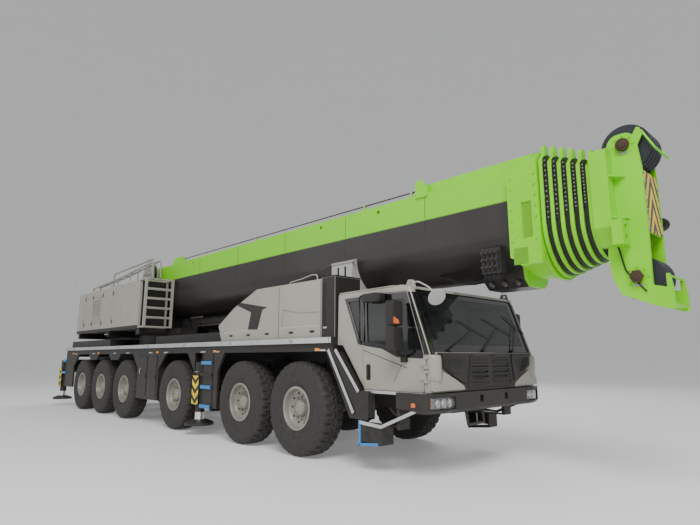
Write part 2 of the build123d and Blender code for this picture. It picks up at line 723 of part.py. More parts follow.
REAR_WINDOW_Z = (WINDOW_Z + 300, ROOF_Z - 120)

WINDSCREEN_HALF = CAB_HALF - 110
WINDSCREEN_Z = (WINDOW_Z, ROOF_Z - 70)
DOOR_PIN = (ahead(2566), CAB_HALF + 16)  # X and half spacing of the door hinges
HINGE_Z = (SILL_Z + 130, WINDOW_Z - 180)
HINGE_LEAF = 90.0
HINGE_END = 30.0
HINGE_PIN = 12.0
with BuildPart() as driver_cab:
    side_plate(CAB_SIDE, (-CAB_HALF, CAB_HALF))
    flanks = driver_cab.faces().filter_by(Axis.Y)
    fillet(
        flanks.edges().filter_by(
            lambda e: e.center().X > ahead(2600) - SCREEN_LEAN / 2 or e.center().Z > ROOF_Z - 60
        ),
        CAB_EDGE,
    )
    side_plate(grown(CAB_SIDE, -CAB_WALL), (-CAB_HALF + CAB_WALL, CAB_HALF - CAB_WALL), Mode.SUBTRACT)
    for side_name, side in SIDES:
        y = (side * (CAB_HALF - CAB_WALL - 1), side * (CAB_HALF + 1))
        side_plate(grown(DOOR_OUTLINE, RUNNING_GAP), y, Mode.SUBTRACT)
        side_plate(QUARTER_WINDOW, y, Mode.SUBTRACT)
        for z in HINGE_Z:
            for low in (z - HINGE_END, z + HINGE_LEAF + 1):
                ear_x = (DOOR_PIN[0] - 14, DOOR_PIN[0] + 50)
                block(ear_x, (side * (CAB_HALF - 5), side * (DOOR_PIN[1] + 14)), (low, low + HINGE_END - 1))
            pin = (DOOR_PIN[0], side * DOOR_PIN[1], z)
            bore_radius = HINGE_PIN + SEAT_GAP
            turned(
                pin, (0, 0, 1), [(-40, 0), (-40, bore_radius), (130, bore_radius), (130, 0)], Mode.SUBTRACT
            )
    block(
        (ahead(2150), ahead(CAB_FRONT + 1)),
        (-WINDSCREEN_HALF, WINDSCREEN_HALF),
        WINDSCREEN_Z,
        Mode.SUBTRACT,
    )
    block(
        (ahead(CAB_REAR) - 1, ahead(CAB_REAR + 120)),
        (-REAR_WINDOW_HALF, REAR_WINDOW_HALF),
        REAR_WINDOW_Z,
        Mode.SUBTRACT,
    )
save(driver_cab, "driver_cab")

GLASS = 8.0
GLASS_IN = 25.0  # a side or rear pane's inner face below the cab's skin
with BuildPart() as cab_glass:
    lean = SCREEN_LEAN / (ROOF_Z - WINDOW_Z)
    low, high = WINDSCREEN_Z[0] + 2 * FIT_GAP, WINDSCREEN_Z[1] - 2 * FIT_GAP
    front = ahead(CAB_FRONT) - 12
    side_plate(
        [
            (front - (low - WINDOW_Z + 30) * lean, low),
            (front - (high - WINDOW_Z + 30) * lean, high),
            (front - GLASS - (high - WINDOW_Z + 30) * lean, high),
            (front - GLASS - (low - WINDOW_Z + 30) * lean, low),
        ],
        (-WINDSCREEN_HALF + FIT_GAP, WINDSCREEN_HALF - FIT_GAP),
    )
    for side_name, side in SIDES:
        side_plate(
            grown(QUARTER_WINDOW, -FIT_GAP),
            (side * (CAB_HALF - GLASS_IN), side * (CAB_HALF - GLASS_IN + GLASS)),
        )
    block(
        (ahead(CAB_REAR) + GLASS_IN, ahead(CAB_REAR) + GLASS_IN + GLASS),
        (-REAR_WINDOW_HALF + FIT_GAP, REAR_WINDOW_HALF - FIT_GAP),
        (REAR_WINDOW_Z[0] + FIT_GAP, REAR_WINDOW_Z[1] - FIT_GAP),
    )
save(cab_glass, "cab_glass")

SEAT_Y = 620.0
SEAT_HALF = 240.0
CUSHION_Z = CAB_FLOOR + 330
SEAT_FRONT = ahead(1960)
STEERING_WHEEL = (ahead(2140), SEAT_Y, WINDOW_Z + 60)
with BuildPart() as cab_interior:
    for side_name, side in SIDES:
        y = (side * SEAT_Y - SEAT_HALF, side * SEAT_Y + SEAT_HALF)
        block((ahead(1560), ahead(1860)), (y[0] + 60, y[1] - 60), (CAB_FLOOR + CAB_WALL, CUSHION_Z))
        side_plate(
            [
                (ahead(1440), CUSHION_Z, 40),
                (SEAT_FRONT, CUSHION_Z, 40),
                (SEAT_FRONT, CUSHION_Z + 120, 50),
                (ahead(1530), CUSHION_Z + 110, 40),
                (ahead(1440), CUSHION_Z + 760, 40),
                (ahead(1350), CUSHION_Z + 750, 40),
            ],
            y,
        )
        side_plate(
            [
                (ahead(1355), CUSHION_Z + 740),
                (ahead(1430), CUSHION_Z + 740),
                (ahead(1425), CUSHION_Z + 910, 30),
                (ahead(1350), CUSHION_Z + 900, 30),
            ],
            (y[0] + 100, y[1] - 100),
        )
    side_plate(
        [
            (ahead(2330), CAB_FLOOR + 250),
            (ahead(CAB_FRONT) - CAB_WALL, CAB_FLOOR + 250),
            (ahead(CAB_FRONT) - CAB_WALL, WINDOW_Z - 50),
            (ahead(2400), WINDOW_Z - 20, 60),
            (ahead(2300), WINDOW_Z - 130, 40),
        ],
        (-CAB_HALF + CAB_WALL, CAB_HALF - CAB_WALL),
    )
    column = Vector(0.61, 0, -0.79)
    rod(STEERING_WHEEL, Vector(*STEERING_WHEEL) + column * 330, 30)
    with BuildSketch(Plane(STEERING_WHEEL, x_dir=(0, 1, 0), z_dir=-column)) as rim:
        with Locations((210, 0)):
            Circle(16)
    with BuildSketch(Plane(STEERING_WHEEL, x_dir=(0, 1, 0), z_dir=(0.79, 0, 0.61))) as rim_section:
        with Locations((210, 0)):
            Circle(16)
    revolve(rim_section.sketch, axis=Axis(STEERING_WHEEL, -column))
    with BuildSketch(Plane(STEERING_WHEEL, x_dir=(0, 1, 0), z_dir=-column)) as spokes:
        Rectangle(400, 50)
    extrude(spokes.sketch, amount=16)
save(cab_interior, "cab_interior")

MIRROR_Z = (WINDOW_Z + 20, ROOF_Z - 80)
MIRROR_X = (ahead(2310), ahead(2425))
MIRROR_OUT = (CAB_HALF + 110, CAB_HALF + 320)
for side_name, side in SIDES:
    with BuildPart() as cab_door:
        side_plate(DOOR_OUTLINE, (side * (CAB_HALF - CAB_WALL), side * CAB_HALF))
        # pressed crease that runs down towards the hinge, and the grip recess
        side_plate(
            [
                (ahead(1426), WINDOW_Z + 40),
                (ahead(2250), WINDOW_Z - 205),
                (ahead(2250), WINDOW_Z - 213),
                (ahead(1426), WINDOW_Z + 30),
            ],
            (side * (CAB_HALF - 4), side * (CAB_HALF + 1)), Mode.SUBTRACT,
        )
        side_plate(
            [
                (ahead(1490), WINDOW_Z - 390, 38),
                (ahead(1575), WINDOW_Z - 390, 38),
                (ahead(1575), WINDOW_Z - 165, 38),
                (ahead(1490), WINDOW_Z - 165, 38),
            ],
            (side * (CAB_HALF - 22), side * (CAB_HALF + 1)), Mode.SUBTRACT,
        )
        block(
            (ahead(1520), ahead(1548)),
            (side * (CAB_HALF - 23), side * (CAB_HALF - 2)),
            (WINDOW_Z - 380, WINDOW_Z - 175),
        )
        side_plate(DOOR_WINDOW, (side * (CAB_HALF - CAB_WALL - 1), side * (CAB_HALF + 1)), Mode.SUBTRACT)
        side_plate(DOOR_WINDOW, (side * (CAB_HALF - GLASS_IN), side * (CAB_HALF - GLASS_IN + GLASS)))
        for z in HINGE_Z:
            pin = (DOOR_PIN[0], side * DOOR_PIN[1], z)
            turned(
                pin,
                (0, 0, 1),
                [
                    (-HINGE_END, 0),
                    (-HINGE_END, HINGE_PIN),
                    (HINGE_LEAF + HINGE_END, HINGE_PIN),
                    (HINGE_LEAF + HINGE_END, 0),
                ],
            )
            leaf = (z, z + HINGE_LEAF)
            block(
                (DOOR_PIN[0] - 80, DOOR_PIN[0] - 40), (side * (CAB_HALF - 5), side * (CAB_HALF + 3)), leaf
            )
            block((DOOR_PIN[0] - 80, DOOR_PIN[0]), (side * (CAB_HALF + 2), side * (DOOR_PIN[1] + 4)), leaf)
        # two mirrors on one bent arm at the front of the door
        block(
            (ahead(2330), ahead(2410)),
            (side * (CAB_HALF - 5), side * (CAB_HALF + 40)),
            (MIRROR_Z[0] - 150, MIRROR_Z[0] - 50),
        )
        arm = [
            (ahead(2370), side * (CAB_HALF + 30), MIRROR_Z[0] - 80),
            (ahead(2370), side * (CAB_HALF + 180), MIRROR_Z[0] - 30),
        ]
        rod(arm[0], arm[1], 18)
        rod(arm[1], (ahead(2370), side * (CAB_HALF + 180), MIRROR_Z[1] - 100), 18)
        for low, high in ((MIRROR_Z[0], MIRROR_Z[0] + 225), (MIRROR_Z[0] + 245, MIRROR_Z[1])):
            cross_plate(
                [
                    (side * MIRROR_OUT[0], low, 30),
                    (side * MIRROR_OUT[1], low, 30),
                    (side * MIRROR_OUT[1], high, 30),
                    (side * MIRROR_OUT[0], high, 30),
                ],
                MIRROR_X,
            )
    save(cab_door, f"cab_door_{side_name}")

# ---------------------------------------------------------------- bumper, front panel and the crew's steps
BUMPER_Z = (TYRE_RADIUS + 95, CAB_FLOOR - 8)
BUMPER_OUTLINE = [
    (ahead(2100), -HALF + 60),
    (ahead(2480), -HALF, 60),
    (ahead(2640), -HALF + 20, 60),
    (ahead(BUMPER_FRONT), -HALF + 330, 120),
    (ahead(BUMPER_FRONT), HALF - 330, 120),
    (ahead(2640), HALF - 20, 60),
    (ahead(2480), HALF, 60),
    (ahead(2100), HALF - 60),
    (ahead(2100), HALF - 120),
    (ahead(2450), HALF - 120),
    (ahead(2450), -HALF + 120),
    (ahead(2100), -HALF + 120),
]
# the dark panel below the windscreen: half its outline as (Y, Z)
PANEL_HALF = [
    (1220, WINDOW_Z - 10),
    (1180, WINDOW_Z - 190),
    (900, WINDOW_Z - 330),
    (720, WINDOW_Z - 420),
    (660, CAB_FLOOR + 12),
]
PANEL_X = (ahead(CAB_FRONT) + FIT_GAP, ahead(CAB_FRONT) + 34)
GRILLE_HALF = 560.0
GRILLE_SLATS = 5
GRILLE_Z = (CAB_FLOOR + 90, WINDOW_Z - 90)
LAMP_WIDTH = 470.0
STEP_X = (ahead(1430), ahead(1860))
STEP_Y = (CAB_HALF - 150, HALF - 25)
STEP_Z = (CAB_FLOOR - 760, CAB_FLOOR - 450)
STEP_BAR = 45.0
TOW_TOP_Y = (-640.0, -230.0)  # where the towing step's legs leave the bumper
TOW_FOOT_Y = (-617.0, -231.0)
TOW_BAR = 18.0
with BuildPart() as front_bumper:
    slab(Plane.XY.offset(BUMPER_Z[0]), BUMPER_OUTLINE, BUMPER_Z[1] - BUMPER_Z[0])
    bottom = front_bumper.faces().sort_by(Axis.Z)[0]
    chamfer(bottom.edges().filter_by(lambda e: e.center().X > ahead(2660) and e.length > 1000), 40)
    for side_name, side in SIDES:
        # headlamp pocket round the corner, and the two square towing windows
        block(
            (ahead(2560), ahead(BUMPER_FRONT) + 1), (side * (HALF - 80), side * (HALF - 80 - LAMP_WIDTH)),
            (BUMPER_Z[0] + 50, BUMPER_Z[1] - 45), Mode.SUBTRACT,
        )
        block(
            (ahead(2540), ahead(BUMPER_FRONT) + 1), (side * 290, side * 370),
            (BUMPER_Z[0] + 110, BUMPER_Z[0] + 200), Mode.SUBTRACT,
        )
        block(
            (ahead(2300) + FIT_GAP, ahead(2460)),
            (side * 300, side * 420),
            (FRONT_FRAME_Z + 60, BUMPER_Z[1] - 40),
        )
        # crew steps: a bent flat bar from the bumper back to a folding step box
        bar_y = (side * (STEP_Y[1] - 12), side * STEP_Y[1])
        side_plate(
            [
                (ahead(2480), BUMPER_Z[0] + 60),
                (STEP_X[1], STEP_Z[1]),
                (STEP_X[0], STEP_Z[1] + 30),
                (STEP_X[0], STEP_Z[1] + 30 - STEP_BAR),
                (STEP_X[1], STEP_Z[1] - STEP_BAR),
                (ahead(2480), BUMPER_Z[0] + 60 - STEP_BAR),
            ],
            bar_y,
        )
        block(STEP_X, (side * STEP_Y[0], side * STEP_Y[1]), (STEP_Z[1] - STEP_BAR, STEP_Z[1] - 15))
        block(
            (STEP_X[0], STEP_X[0] + 30), (side * STEP_Y[0], side * STEP_Y[1]), (STEP_Z[0], STEP_Z[1] - 20)
        )
        block(
            (STEP_X[1] - 30, STEP_X[1]),
            (side * STEP_Y[0], side * STEP_Y[1]),
            (STEP_Z[0] + 40, STEP_Z[1] - 20),
        )
        side_plate(
            [
                (STEP_X[0], STEP_Z[0]),
                (STEP_X[1], STEP_Z[0] + 40),
                (STEP_X[1], STEP_Z[0] + 70),
                (STEP_X[0], STEP_Z[0] + 30),
            ],
            (side * STEP_Y[0], side * STEP_Y[1]),
        )
        block(
            (STEP_X[1] - 20, ahead(2110)),
            (side * STEP_Y[0], side * (STEP_Y[0] + 50)),
            (STEP_Z[1] - 40, STEP_Z[1] - 15),
        )
        block(
            (ahead(2101), ahead(2160)),
            (side * STEP_Y[0], side * (HALF - 70)),
            (STEP_Z[1] - 40, BUMPER_Z[0] + 40),
        )
    # towing step: a bent bar under the bumper, right of the middle
    for top_y, foot_y in zip(TOW_TOP_Y, TOW_FOOT_Y):
        rod((ahead(2650), top_y, BUMPER_Z[0] + 10), (ahead(2670), foot_y, BUMPER_Z[0] - 190), TOW_BAR)
    rod(
        (ahead(2670), TOW_FOOT_Y[0], BUMPER_Z[0] - 180),
        (ahead(2670), TOW_FOOT_Y[1], BUMPER_Z[0] - 180),
        TOW_BAR,
    )
    cross_plate(PANEL_HALF + [(-y, z) for y, z in reversed(PANEL_HALF)], PANEL_X)
    pitch = (GRILLE_Z[1] - GRILLE_Z[0]) / GRILLE_SLATS
    for row in range(GRILLE_SLATS):
        z = GRILLE_Z[0] + row * pitch
        for side in (-1, 1):
            y = (side * 60, side * (GRILLE_HALF - 25 * (GRILLE_SLATS - row)))
            block((PANEL_X[0] + 12, PANEL_X[1] + 1), y, (z + 12, z + pitch * 0.55), Mode.SUBTRACT)
save(front_bumper, "front_bumper")

# ---------------------------------------------------------------- superstructure
CHEEK = (BOOM_HALF + 25, BOOM_HALF + 65)  # inner and outer face of the plates that carry the boom
CHEEK_SWELL = 190.0  # cheek above the foot pin
HOUSING_INNER = CHEEK[1] + 10
HOUSING_OUTER = HALF - 80
HOUSING_Z = (PLATFORM_TOP + 20, PLATFORM_TOP + 1310)
HOUSING_REAR = SLEW_X - 4070
HOUSING_FRONT = SLEW_X + 1270
LEFT_FRONT = SLEW_X - 250
HOUSING_EDGE = 90.0  # radius of the housing's top outer edge
PANEL_SEAMS = (-3450.0, -2750.0, -1900.0, -1050.0, -300.0)  # from the slewing centre
SEAM = 10.0
WINCH = (SLEW_X - 3250, PLATFORM_TOP + 560)  # X and Z of the drum's shaft
WINCH_SHAFT = 60.0
CYLINDER_FOOT = (SLEW_X + 1200, DECK_TOP + 590)
CYLINDER_HEAD = (ahead(-2000), BELLY_Z - 170)
BARREL_RADIUS = 150.0
BARREL_EYE_HALF = 160.0
ROD_RADIUS = 95.0
FOOT_PIN = 70.0
EYE_HALF = 110.0  # half width of the rod's eye
BOOM_PIN = 110.0

with BuildPart() as slewing_platform:
    ring = -RING_HEIGHT / 2 + SEAT_GAP
    turned((SLEW_X, 0, PLATFORM_Z), (0, 0, 1), [(ring, 0), (ring, RING_RADIUS), (1, RING_RADIUS), (1, 0)])
    block((SLEW_X - 3900, SLEW_X + 1750), (-CHEEK[1], CHEEK[1]), (PLATFORM_Z, PLATFORM_TOP))
    for side in (-1, 1):
        # cheeks that carry the boom foot
        side_plate(
            [
                (FOOT_X - 1700, PLATFORM_TOP),
                (FOOT_X - 1500, FOOT_Z - 300, 150),
                (FOOT_X - CHEEK_SWELL, FOOT_Z + CHEEK_SWELL, 180),
                (FOOT_X + CHEEK_SWELL, FOOT_Z + CHEEK_SWELL, 180),
                (FOOT_X + 1500, PLATFORM_TOP + 150, 300),
                (FOOT_X + 2800, PLATFORM_TOP),
            ],
            (side * CHEEK[0], side * CHEEK[1]),
        )
        rod((FOOT_X, side * CHEEK[1], FOOT_Z), (FOOT_X, side * (CHEEK[1] + 8), FOOT_Z), BOOM_PIN + 40)
        foot = [
            (CYLINDER_FOOT[0] - 260, PLATFORM_TOP),
            (CYLINDER_FOOT[0] - 150, CYLINDER_FOOT[1] + 130, 110),
            (CYLINDER_FOOT[0] + 150, CYLINDER_FOOT[1] + 130, 110),
            (CYLINDER_FOOT[0] + 200, PLATFORM_TOP),
        ]
        side_plate(foot, (side * (BARREL_EYE_HALF + SEAT_GAP), side * 230))
        winch_side = [
            (WINCH[0] - 320, PLATFORM_TOP),
            (WINCH[0] - 110, WINCH[1] + 110, 100),
            (WINCH[0] + 110, WINCH[1] + 110, 100),
            (WINCH[0] + 320, PLATFORM_TOP),
        ]
        side_plate(winch_side, (side * (CHEEK[0] - 30), side * (CHEEK[0] - 1)))
        for x in (SLEW_X - 3900, SLEW_X - 1300):
            block(
                (x, x + 120),
                (side * CHEEK[1], side * (HOUSING_OUTER - 20)),
                (PLATFORM_Z, PLATFORM_TOP + 20),
            )
    block((SLEW_X + 800, SLEW_X + 1000), (-HOUSING_OUTER + 20, 0), (PLATFORM_Z, PLATFORM_TOP + 20))
    block((SLEW_X + 400, SLEW_X + 1740), (CHEEK[1], HALF - 60), (PLATFORM_Z, PLATFORM_Z + 60))
    rod((CYLINDER_FOOT[0], -230, CYLINDER_FOOT[1]), (CYLINDER_FOOT[0], 230, CYLINDER_FOOT[1]), FOOT_PIN)
    rod((WINCH[0], 1 - CHEEK[0], WINCH[1]), (WINCH[0], CHEEK[0] - 1, WINCH[1]), WINCH_SHAFT)
    rod((FOOT_X, -CHEEK[1] - 5, FOOT_Z), (FOOT_X, CHEEK[1] + 5, FOOT_Z), BOOM_PIN)
    block(
        (CYLINDER_FOOT[0] - 400, SLEW_X + 1751), (-BARREL_EYE_HALF - 9, BARREL_EYE_HALF + 9),
        (PLATFORM_Z + 40, PLATFORM_TOP + 1), Mode.SUBTRACT,
    )
save(slewing_platform, "slewing_platform")

with BuildPart() as upper_housing:
    for side, front in ((-1, HOUSING_FRONT - 350), (1, LEFT_FRONT)):
        cross_plate(
            [
                (side * HOUSING_INNER, HOUSING_Z[0]),
                (side * HOUSING_OUTER, HOUSING_Z[0]),
                (side * HOUSING_OUTER, HOUSING_Z[1], HOUSING_EDGE),
                (side * HOUSING_INNER, HOUSING_Z[1], 20),
            ],
            (HOUSING_REAR, front),
        )
        for seam in PANEL_SEAMS[:-1] if side > 0 else PANEL_SEAMS:
            x = (SLEW_X + seam, SLEW_X + seam + SEAM)
            block(
                x,
                (side * (HOUSING_OUTER - SEAM), side * (HOUSING_OUTER + 1)),
                (HOUSING_Z[0] + 60, HOUSING_Z[1] + 1),
                Mode.SUBTRACT,
            )
        # louvred panel toward the rear
        for row in range(8):
            z = HOUSING_Z[0] + 260 + row * 90
            louvre_x = (SLEW_X - 2660, SLEW_X - 1990)
            block(
                louvre_x,
                (side * (HOUSING_OUTER - 18), side * (HOUSING_OUTER + 1)),
                (z, z + 45),
                Mode.SUBTRACT,
            )
    # open frame at the front end, with rungs
    frame_x = (HOUSING_FRONT - 350, HOUSING_FRONT)
    for y in (-HOUSING_OUTER, -HOUSING_INNER - 60):
        block((HOUSING_FRONT - 60, HOUSING_FRONT), (y, y + 60), HOUSING_Z)
    for z in (HOUSING_Z[0], HOUSING_Z[1] - 40):
        for y in (-HOUSING_OUTER, -HOUSING_INNER - 60):
            block(frame_x, (y, y + 60), (z, z + 40))
        block((HOUSING_FRONT - 60, HOUSING_FRONT), (-HOUSING_OUTER, -HOUSING_INNER), (z, z + 40))
    for level in range(1, 5):
        z = HOUSING_Z[0] + level * 250
        block(
            (HOUSING_FRONT - 60, HOUSING_FRONT - 20),
            (-HOUSING_OUTER + 10, -HOUSING_INNER - 10),
            (z, z + 40),
        )
    # hose reel on top, behind the frame
    turned(
        (HOUSING_FRONT - 1250, -HOUSING_INNER - 110, HOUSING_Z[1] + 260), (0, -1, 0),
        [(-60, 0), (-60, 320, 10), (-30, 320), (-30, 200), (90, 200), (90, 320), (120, 320, 10), (120, 0)],
    )
    block(
        (HOUSING_FRONT - 1330, HOUSING_FRONT - 1170),
        (-HOUSING_INNER - 260, -HOUSING_INNER - 230),
        (HOUSING_Z[1] - 5, HOUSING_Z[1] + 320),
    )
    block(
        (HOUSING_FRONT - 1330, HOUSING_FRONT - 1170),
        (-HOUSING_INNER - 235, -HOUSING_INNER - 220),
        (HOUSING_Z[1] + 200, HOUSING_Z[1] + 320),
    )
save(upper_housing, "upper_housing")

DRUM_HALF = CHEEK[0] - 40
with BuildPart() as winch_drum:
    turned(
        (WINCH[0], 0, WINCH[1]),
        (0, 1, 0),
        [
            (-DRUM_HALF, WINCH_SHAFT + SEAT_GAP),
            (-DRUM_HALF, 420, 8),
            (40 - DRUM_HALF, 420, 8),
            (40 - DRUM_HALF, 300),
            (DRUM_HALF - 40, 300),
            (DRUM_HALF - 40, 420, 8),
            (DRUM_HALF, 420, 8),
            (DRUM_HALF, WINCH_SHAFT + SEAT_GAP),
        ],
    )
save(winch_drum, "winch_drum")

# ---------------------------------------------------------------- operator's cab
OP_X = (SLEW_X + 450, SLEW_X + 2200)
OP_Y = (CHEEK[1] + 20, HALF - 60)
OP_Z = (PLATFORM_Z + 60, PLATFORM_Z + 1620)
OP_WALL = 30.0
OP_SIDE = [
    (OP_X[0], OP_Z[0]),
    (OP_X[1] - 250, OP_Z[0]),
    (OP_X[1] - 60, OP_Z[0] + 330),
    (OP_X[1], OP_Z[0] + 620),
    (OP_X[1] - 230, OP_Z[1] - 60),
    (OP_X[1] - 420, OP_Z[1]),
    (OP_X[0] + 60, OP_Z[1] - 30),
    (OP_X[0], OP_Z[1] - 130),
]
OP_EDGE = 45.0
OP_DOOR = [
    (OP_X[0] + 620, OP_Z[0] + 70, 20),
    (OP_X[1] - 330, OP_Z[0] + 70, 20),
    (OP_X[1] - 180, OP_Z[0] + 370, 40),
    (OP_X[1] - 130, OP_Z[0] + 620, 30),
    (OP_X[1] - 350, OP_Z[1] - 120, 40),
    (OP_X[0] + 620, OP_Z[1] - 120, 30),
]
OP_DOOR_LAP = 20.0  # the sliding door covers its opening by this much all round
OP_DOOR_WINDOW = [
    (OP_X[0] + 690, OP_Z[0] + 560, 40),
    (OP_X[1] - 210, OP_Z[0] + 560, 40),
    (OP_X[1] - 210, OP_Z[0] + 640, 30),
    (OP_X[1] - 390, OP_Z[1] - 190, 30),
    (OP_X[0] + 690, OP_Z[1] - 190, 30),
]
OP_SIDE_WINDOW = [
    (OP_X[0] + 90, OP_Z[0] + 620, 40),
    (OP_X[0] + 570, OP_Z[0] + 620, 40),
    (OP_X[0] + 570, OP_Z[1] - 190, 40),
    (OP_X[0] + 100, OP_Z[1] - 190, 40),
]
OP_INNER_WINDOW = [
    (OP_X[0] + 120, OP_Z[0] + 650, 40),
    (OP_X[1] - 170, OP_Z[0] + 650, 40),
    (OP_X[1] - 370, OP_Z[1] - 180, 40),
    (OP_X[0] + 120, OP_Z[1] - 180, 40),
]
OP_RAIL = 30.0
with BuildPart() as operator_cab:
    side_plate(OP_SIDE, OP_Y)
    flanks = operator_cab.faces().filter_by(Axis.Y)
    fillet(flanks.edges().filter_by(lambda e: e.center().Z > OP_Z[0] + 400), OP_EDGE)
    side_plate(grown(OP_SIDE, -OP_WALL), (OP_Y[0] + OP_WALL, OP_Y[1] - OP_WALL), Mode.SUBTRACT)
    # rails that the door slides along, above and below it
    low, high = OP_DOOR[0][1] - OP_DOOR_LAP - SEAT_GAP, OP_DOOR[-1][1] + OP_DOOR_LAP + SEAT_GAP
    for z in (low - OP_RAIL, high):
        block(
            (OP_X[0] + 10, OP_X[1] - 350), (OP_Y[1] - 1, OP_Y[1] + RUNNING_GAP + OP_RAIL), (z, z + OP_RAIL)
        )
    wall = (OP_Y[1] - OP_WALL - 1, OP_Y[1] + 1)
    side_plate(OP_DOOR, wall, Mode.SUBTRACT)
    side_plate(OP_SIDE_WINDOW, wall, Mode.SUBTRACT)
    side_plate(OP_INNER_WINDOW, (OP_Y[0] - 1, OP_Y[0] + OP_WALL + 1), Mode.SUBTRACT)
    block(
        (OP_X[1] - 330, OP_X[1] + 1),
        (OP_Y[0] + 70, OP_Y[1] - 70),
        (OP_Z[0] + 350, OP_Z[1] - 160),
        Mode.SUBTRACT,
    )
    block(
        (OP_X[0] + 250, OP_X[1] - 560),
        (OP_Y[0] + 120, OP_Y[1] - 120),
        (OP_Z[1] - 90, OP_Z[1] + 1),
        Mode.SUBTRACT,
    )
    # step under the door
    block((OP_X[0] + 700, OP_X[1] - 400), (OP_Y[1], OP_Y[1] + 40), (OP_Z[0] - 60, OP_Z[0] - 30))
    for x in (OP_X[0] + 720, OP_X[1] - 450):
        block((x, x + 30), (OP_Y[1], OP_Y[1] + 20), (OP_Z[0] - 60, OP_Z[0] + 15))
save(operator_cab, "operator_cab")

with BuildPart() as operator_glass:
    side_plate(grown(OP_SIDE_WINDOW, -FIT_GAP), (OP_Y[1] - 20, OP_Y[1] - 20 + GLASS))
    side_plate(grown(OP_INNER_WINDOW, -FIT_GAP), (OP_Y[0] + 10, OP_Y[0] + 10 + GLASS))
    # windscreen in two flat panes that follow the front's bend
    sill = (OP_X[1] - 60, OP_Z[0] + 330)
    bend, top = OP_SIDE[3], OP_SIDE[4]
    for (foot_x, foot_z), (head_x, head_z), low, high in (
        (sill, bend, OP_Z[0] + 350 + FIT_GAP, OP_Z[0] + 620),
        (bend, top, OP_Z[0] + 620, OP_Z[1] - 160 - FIT_GAP),
    ):
        slope = (head_x - foot_x) / (head_z - foot_z)
        outer = [(foot_x + (z - foot_z) * slope - 10, z) for z in (low, high)]
        side_plate(
            outer + [(x - GLASS, z) for x, z in reversed(outer)],
            (OP_Y[0] + 70 + FIT_GAP, OP_Y[1] - 70 - FIT_GAP),
        )
save(operator_glass, "operator_glass")

OP_SEAT_Y = (OP_Y[0] + 150, OP_Y[1] - 150)
OP_FLOOR = OP_Z[0] + OP_WALL
with BuildPart() as operator_interior:
    block(
        (OP_X[0] + 350, OP_X[0] + 700), (OP_SEAT_Y[0] + 80, OP_SEAT_Y[1] - 80), (OP_FLOOR, OP_FLOOR + 330)
    )
    side_plate(
        [
            (OP_X[0] + 290, OP_FLOOR + 320, 30),
            (OP_X[0] + 820, OP_FLOOR + 320, 40),
            (OP_X[0] + 820, OP_FLOOR + 450, 50),
            (OP_X[0] + 370, OP_FLOOR + 430, 40),
            (OP_X[0] + 280, OP_FLOOR + 1120, 40),
            (OP_X[0] + 190, OP_FLOOR + 1110, 40),
        ],
        OP_SEAT_Y,
    )
    for y in OP_SEAT_Y:  # an armrest with a control lever on each side
        inward = 60 if y == OP_SEAT_Y[0] else -60
        side_plate(
            [
                (OP_X[0] + 330, OP_FLOOR + 560, 20),
                (OP_X[0] + 800, OP_FLOOR + 590, 20),
                (OP_X[0] + 800, OP_FLOOR + 650, 30),
                (OP_X[0] + 310, OP_FLOOR + 620, 20),
            ],
            (y, y + inward),
        )
        rod(
            (OP_X[0] + 740, y + inward / 2, OP_FLOOR + 630),
            (OP_X[0] + 740, y + inward / 2, OP_FLOOR + 790),
            14,
        )
    side_plate(
        [
            (OP_X[1] - 420, OP_FLOOR),
            (OP_X[1] - 360, OP_FLOOR),
            (OP_X[1] - 300, OP_FLOOR + 480),
            (OP_X[1] - 250, OP_FLOOR + 700, 20),
            (OP_X[1] - 330, OP_FLOOR + 710, 20),
        ],
        (OP_Y[0] + OP_WALL, OP_Y[0] + 200),
    )
save(operator_interior, "operator_interior")

with BuildPart() as operator_door:
    y = (OP_Y[1] + RUNNING_GAP, OP_Y[1] + RUNNING_GAP + OP_RAIL)
    side_plate(grown(OP_DOOR, OP_DOOR_LAP), y)
    side_plate(OP_DOOR_WINDOW, (y[0] - 1, y[1] + 1), Mode.SUBTRACT)
    side_plate(OP_DOOR_WINDOW, (y[0] + 10, y[0] + 10 + GLASS))
    # pull handle
    block((OP_X[1] - 320, OP_X[1] - 290), (y[1] - 1, y[1] + 30), (OP_Z[0] + 420, OP_Z[0] + 450))
    block((OP_X[1] - 520, OP_X[1] - 490), (y[1] - 1, y[1] + 30), (OP_Z[0] + 420, OP_Z[0] + 450))
    block((OP_X[1] - 520, OP_X[1] - 290), (y[1] + 18, y[1] + 34), (OP_Z[0] + 420, OP_Z[0] + 450))
save(operator_door, "operator_door")

# ---------------------------------------------------------------- luffing cylinder
span = Vector(CYLINDER_HEAD[0] - CYLINDER_FOOT[0], 0, CYLINDER_HEAD[1] - CYLINDER_FOOT[1])
LUFF_CLOSED = span.length
LUFF_WAY = span.normalized()
LUFF_DIR = (LUFF_WAY.X, 0, LUFF_WAY.Z)
FOOT_POINT = (CYLINDER_FOOT[0], 0, CYLINDER_FOOT[1])
BARREL_LENGTH = LUFF_CLOSED - 330

with BuildPart() as luff_cylinder:
    turned(
        FOOT_POINT,
        LUFF_DIR,
        [(0, 0), (0, 110), (160, BARREL_RADIUS), (BARREL_LENGTH, BARREL_RADIUS), (BARREL_LENGTH, 0)],
    )
    rod((FOOT_POINT[0], -160, FOOT_POINT[2]), (FOOT_POINT[0], 160, FOOT_POINT[2]), 130)
    rod(
        (FOOT_POINT[0], -161, FOOT_POINT[2]),
        (FOOT_POINT[0], 161, FOOT_POINT[2]),
        FOOT_PIN + SEAT_GAP,
        Mode.SUBTRACT,
    )
    turned(
        FOOT_POINT,
        LUFF_DIR,
        [
            (260, 0),
            (260, ROD_RADIUS + SEAT_GAP),
            (BARREL_LENGTH + 1, ROD_RADIUS + SEAT_GAP),
            (BARREL_LENGTH + 1, 0),
        ],
        Mode.SUBTRACT,
    )
save(luff_cylinder, "luff_cylinder")

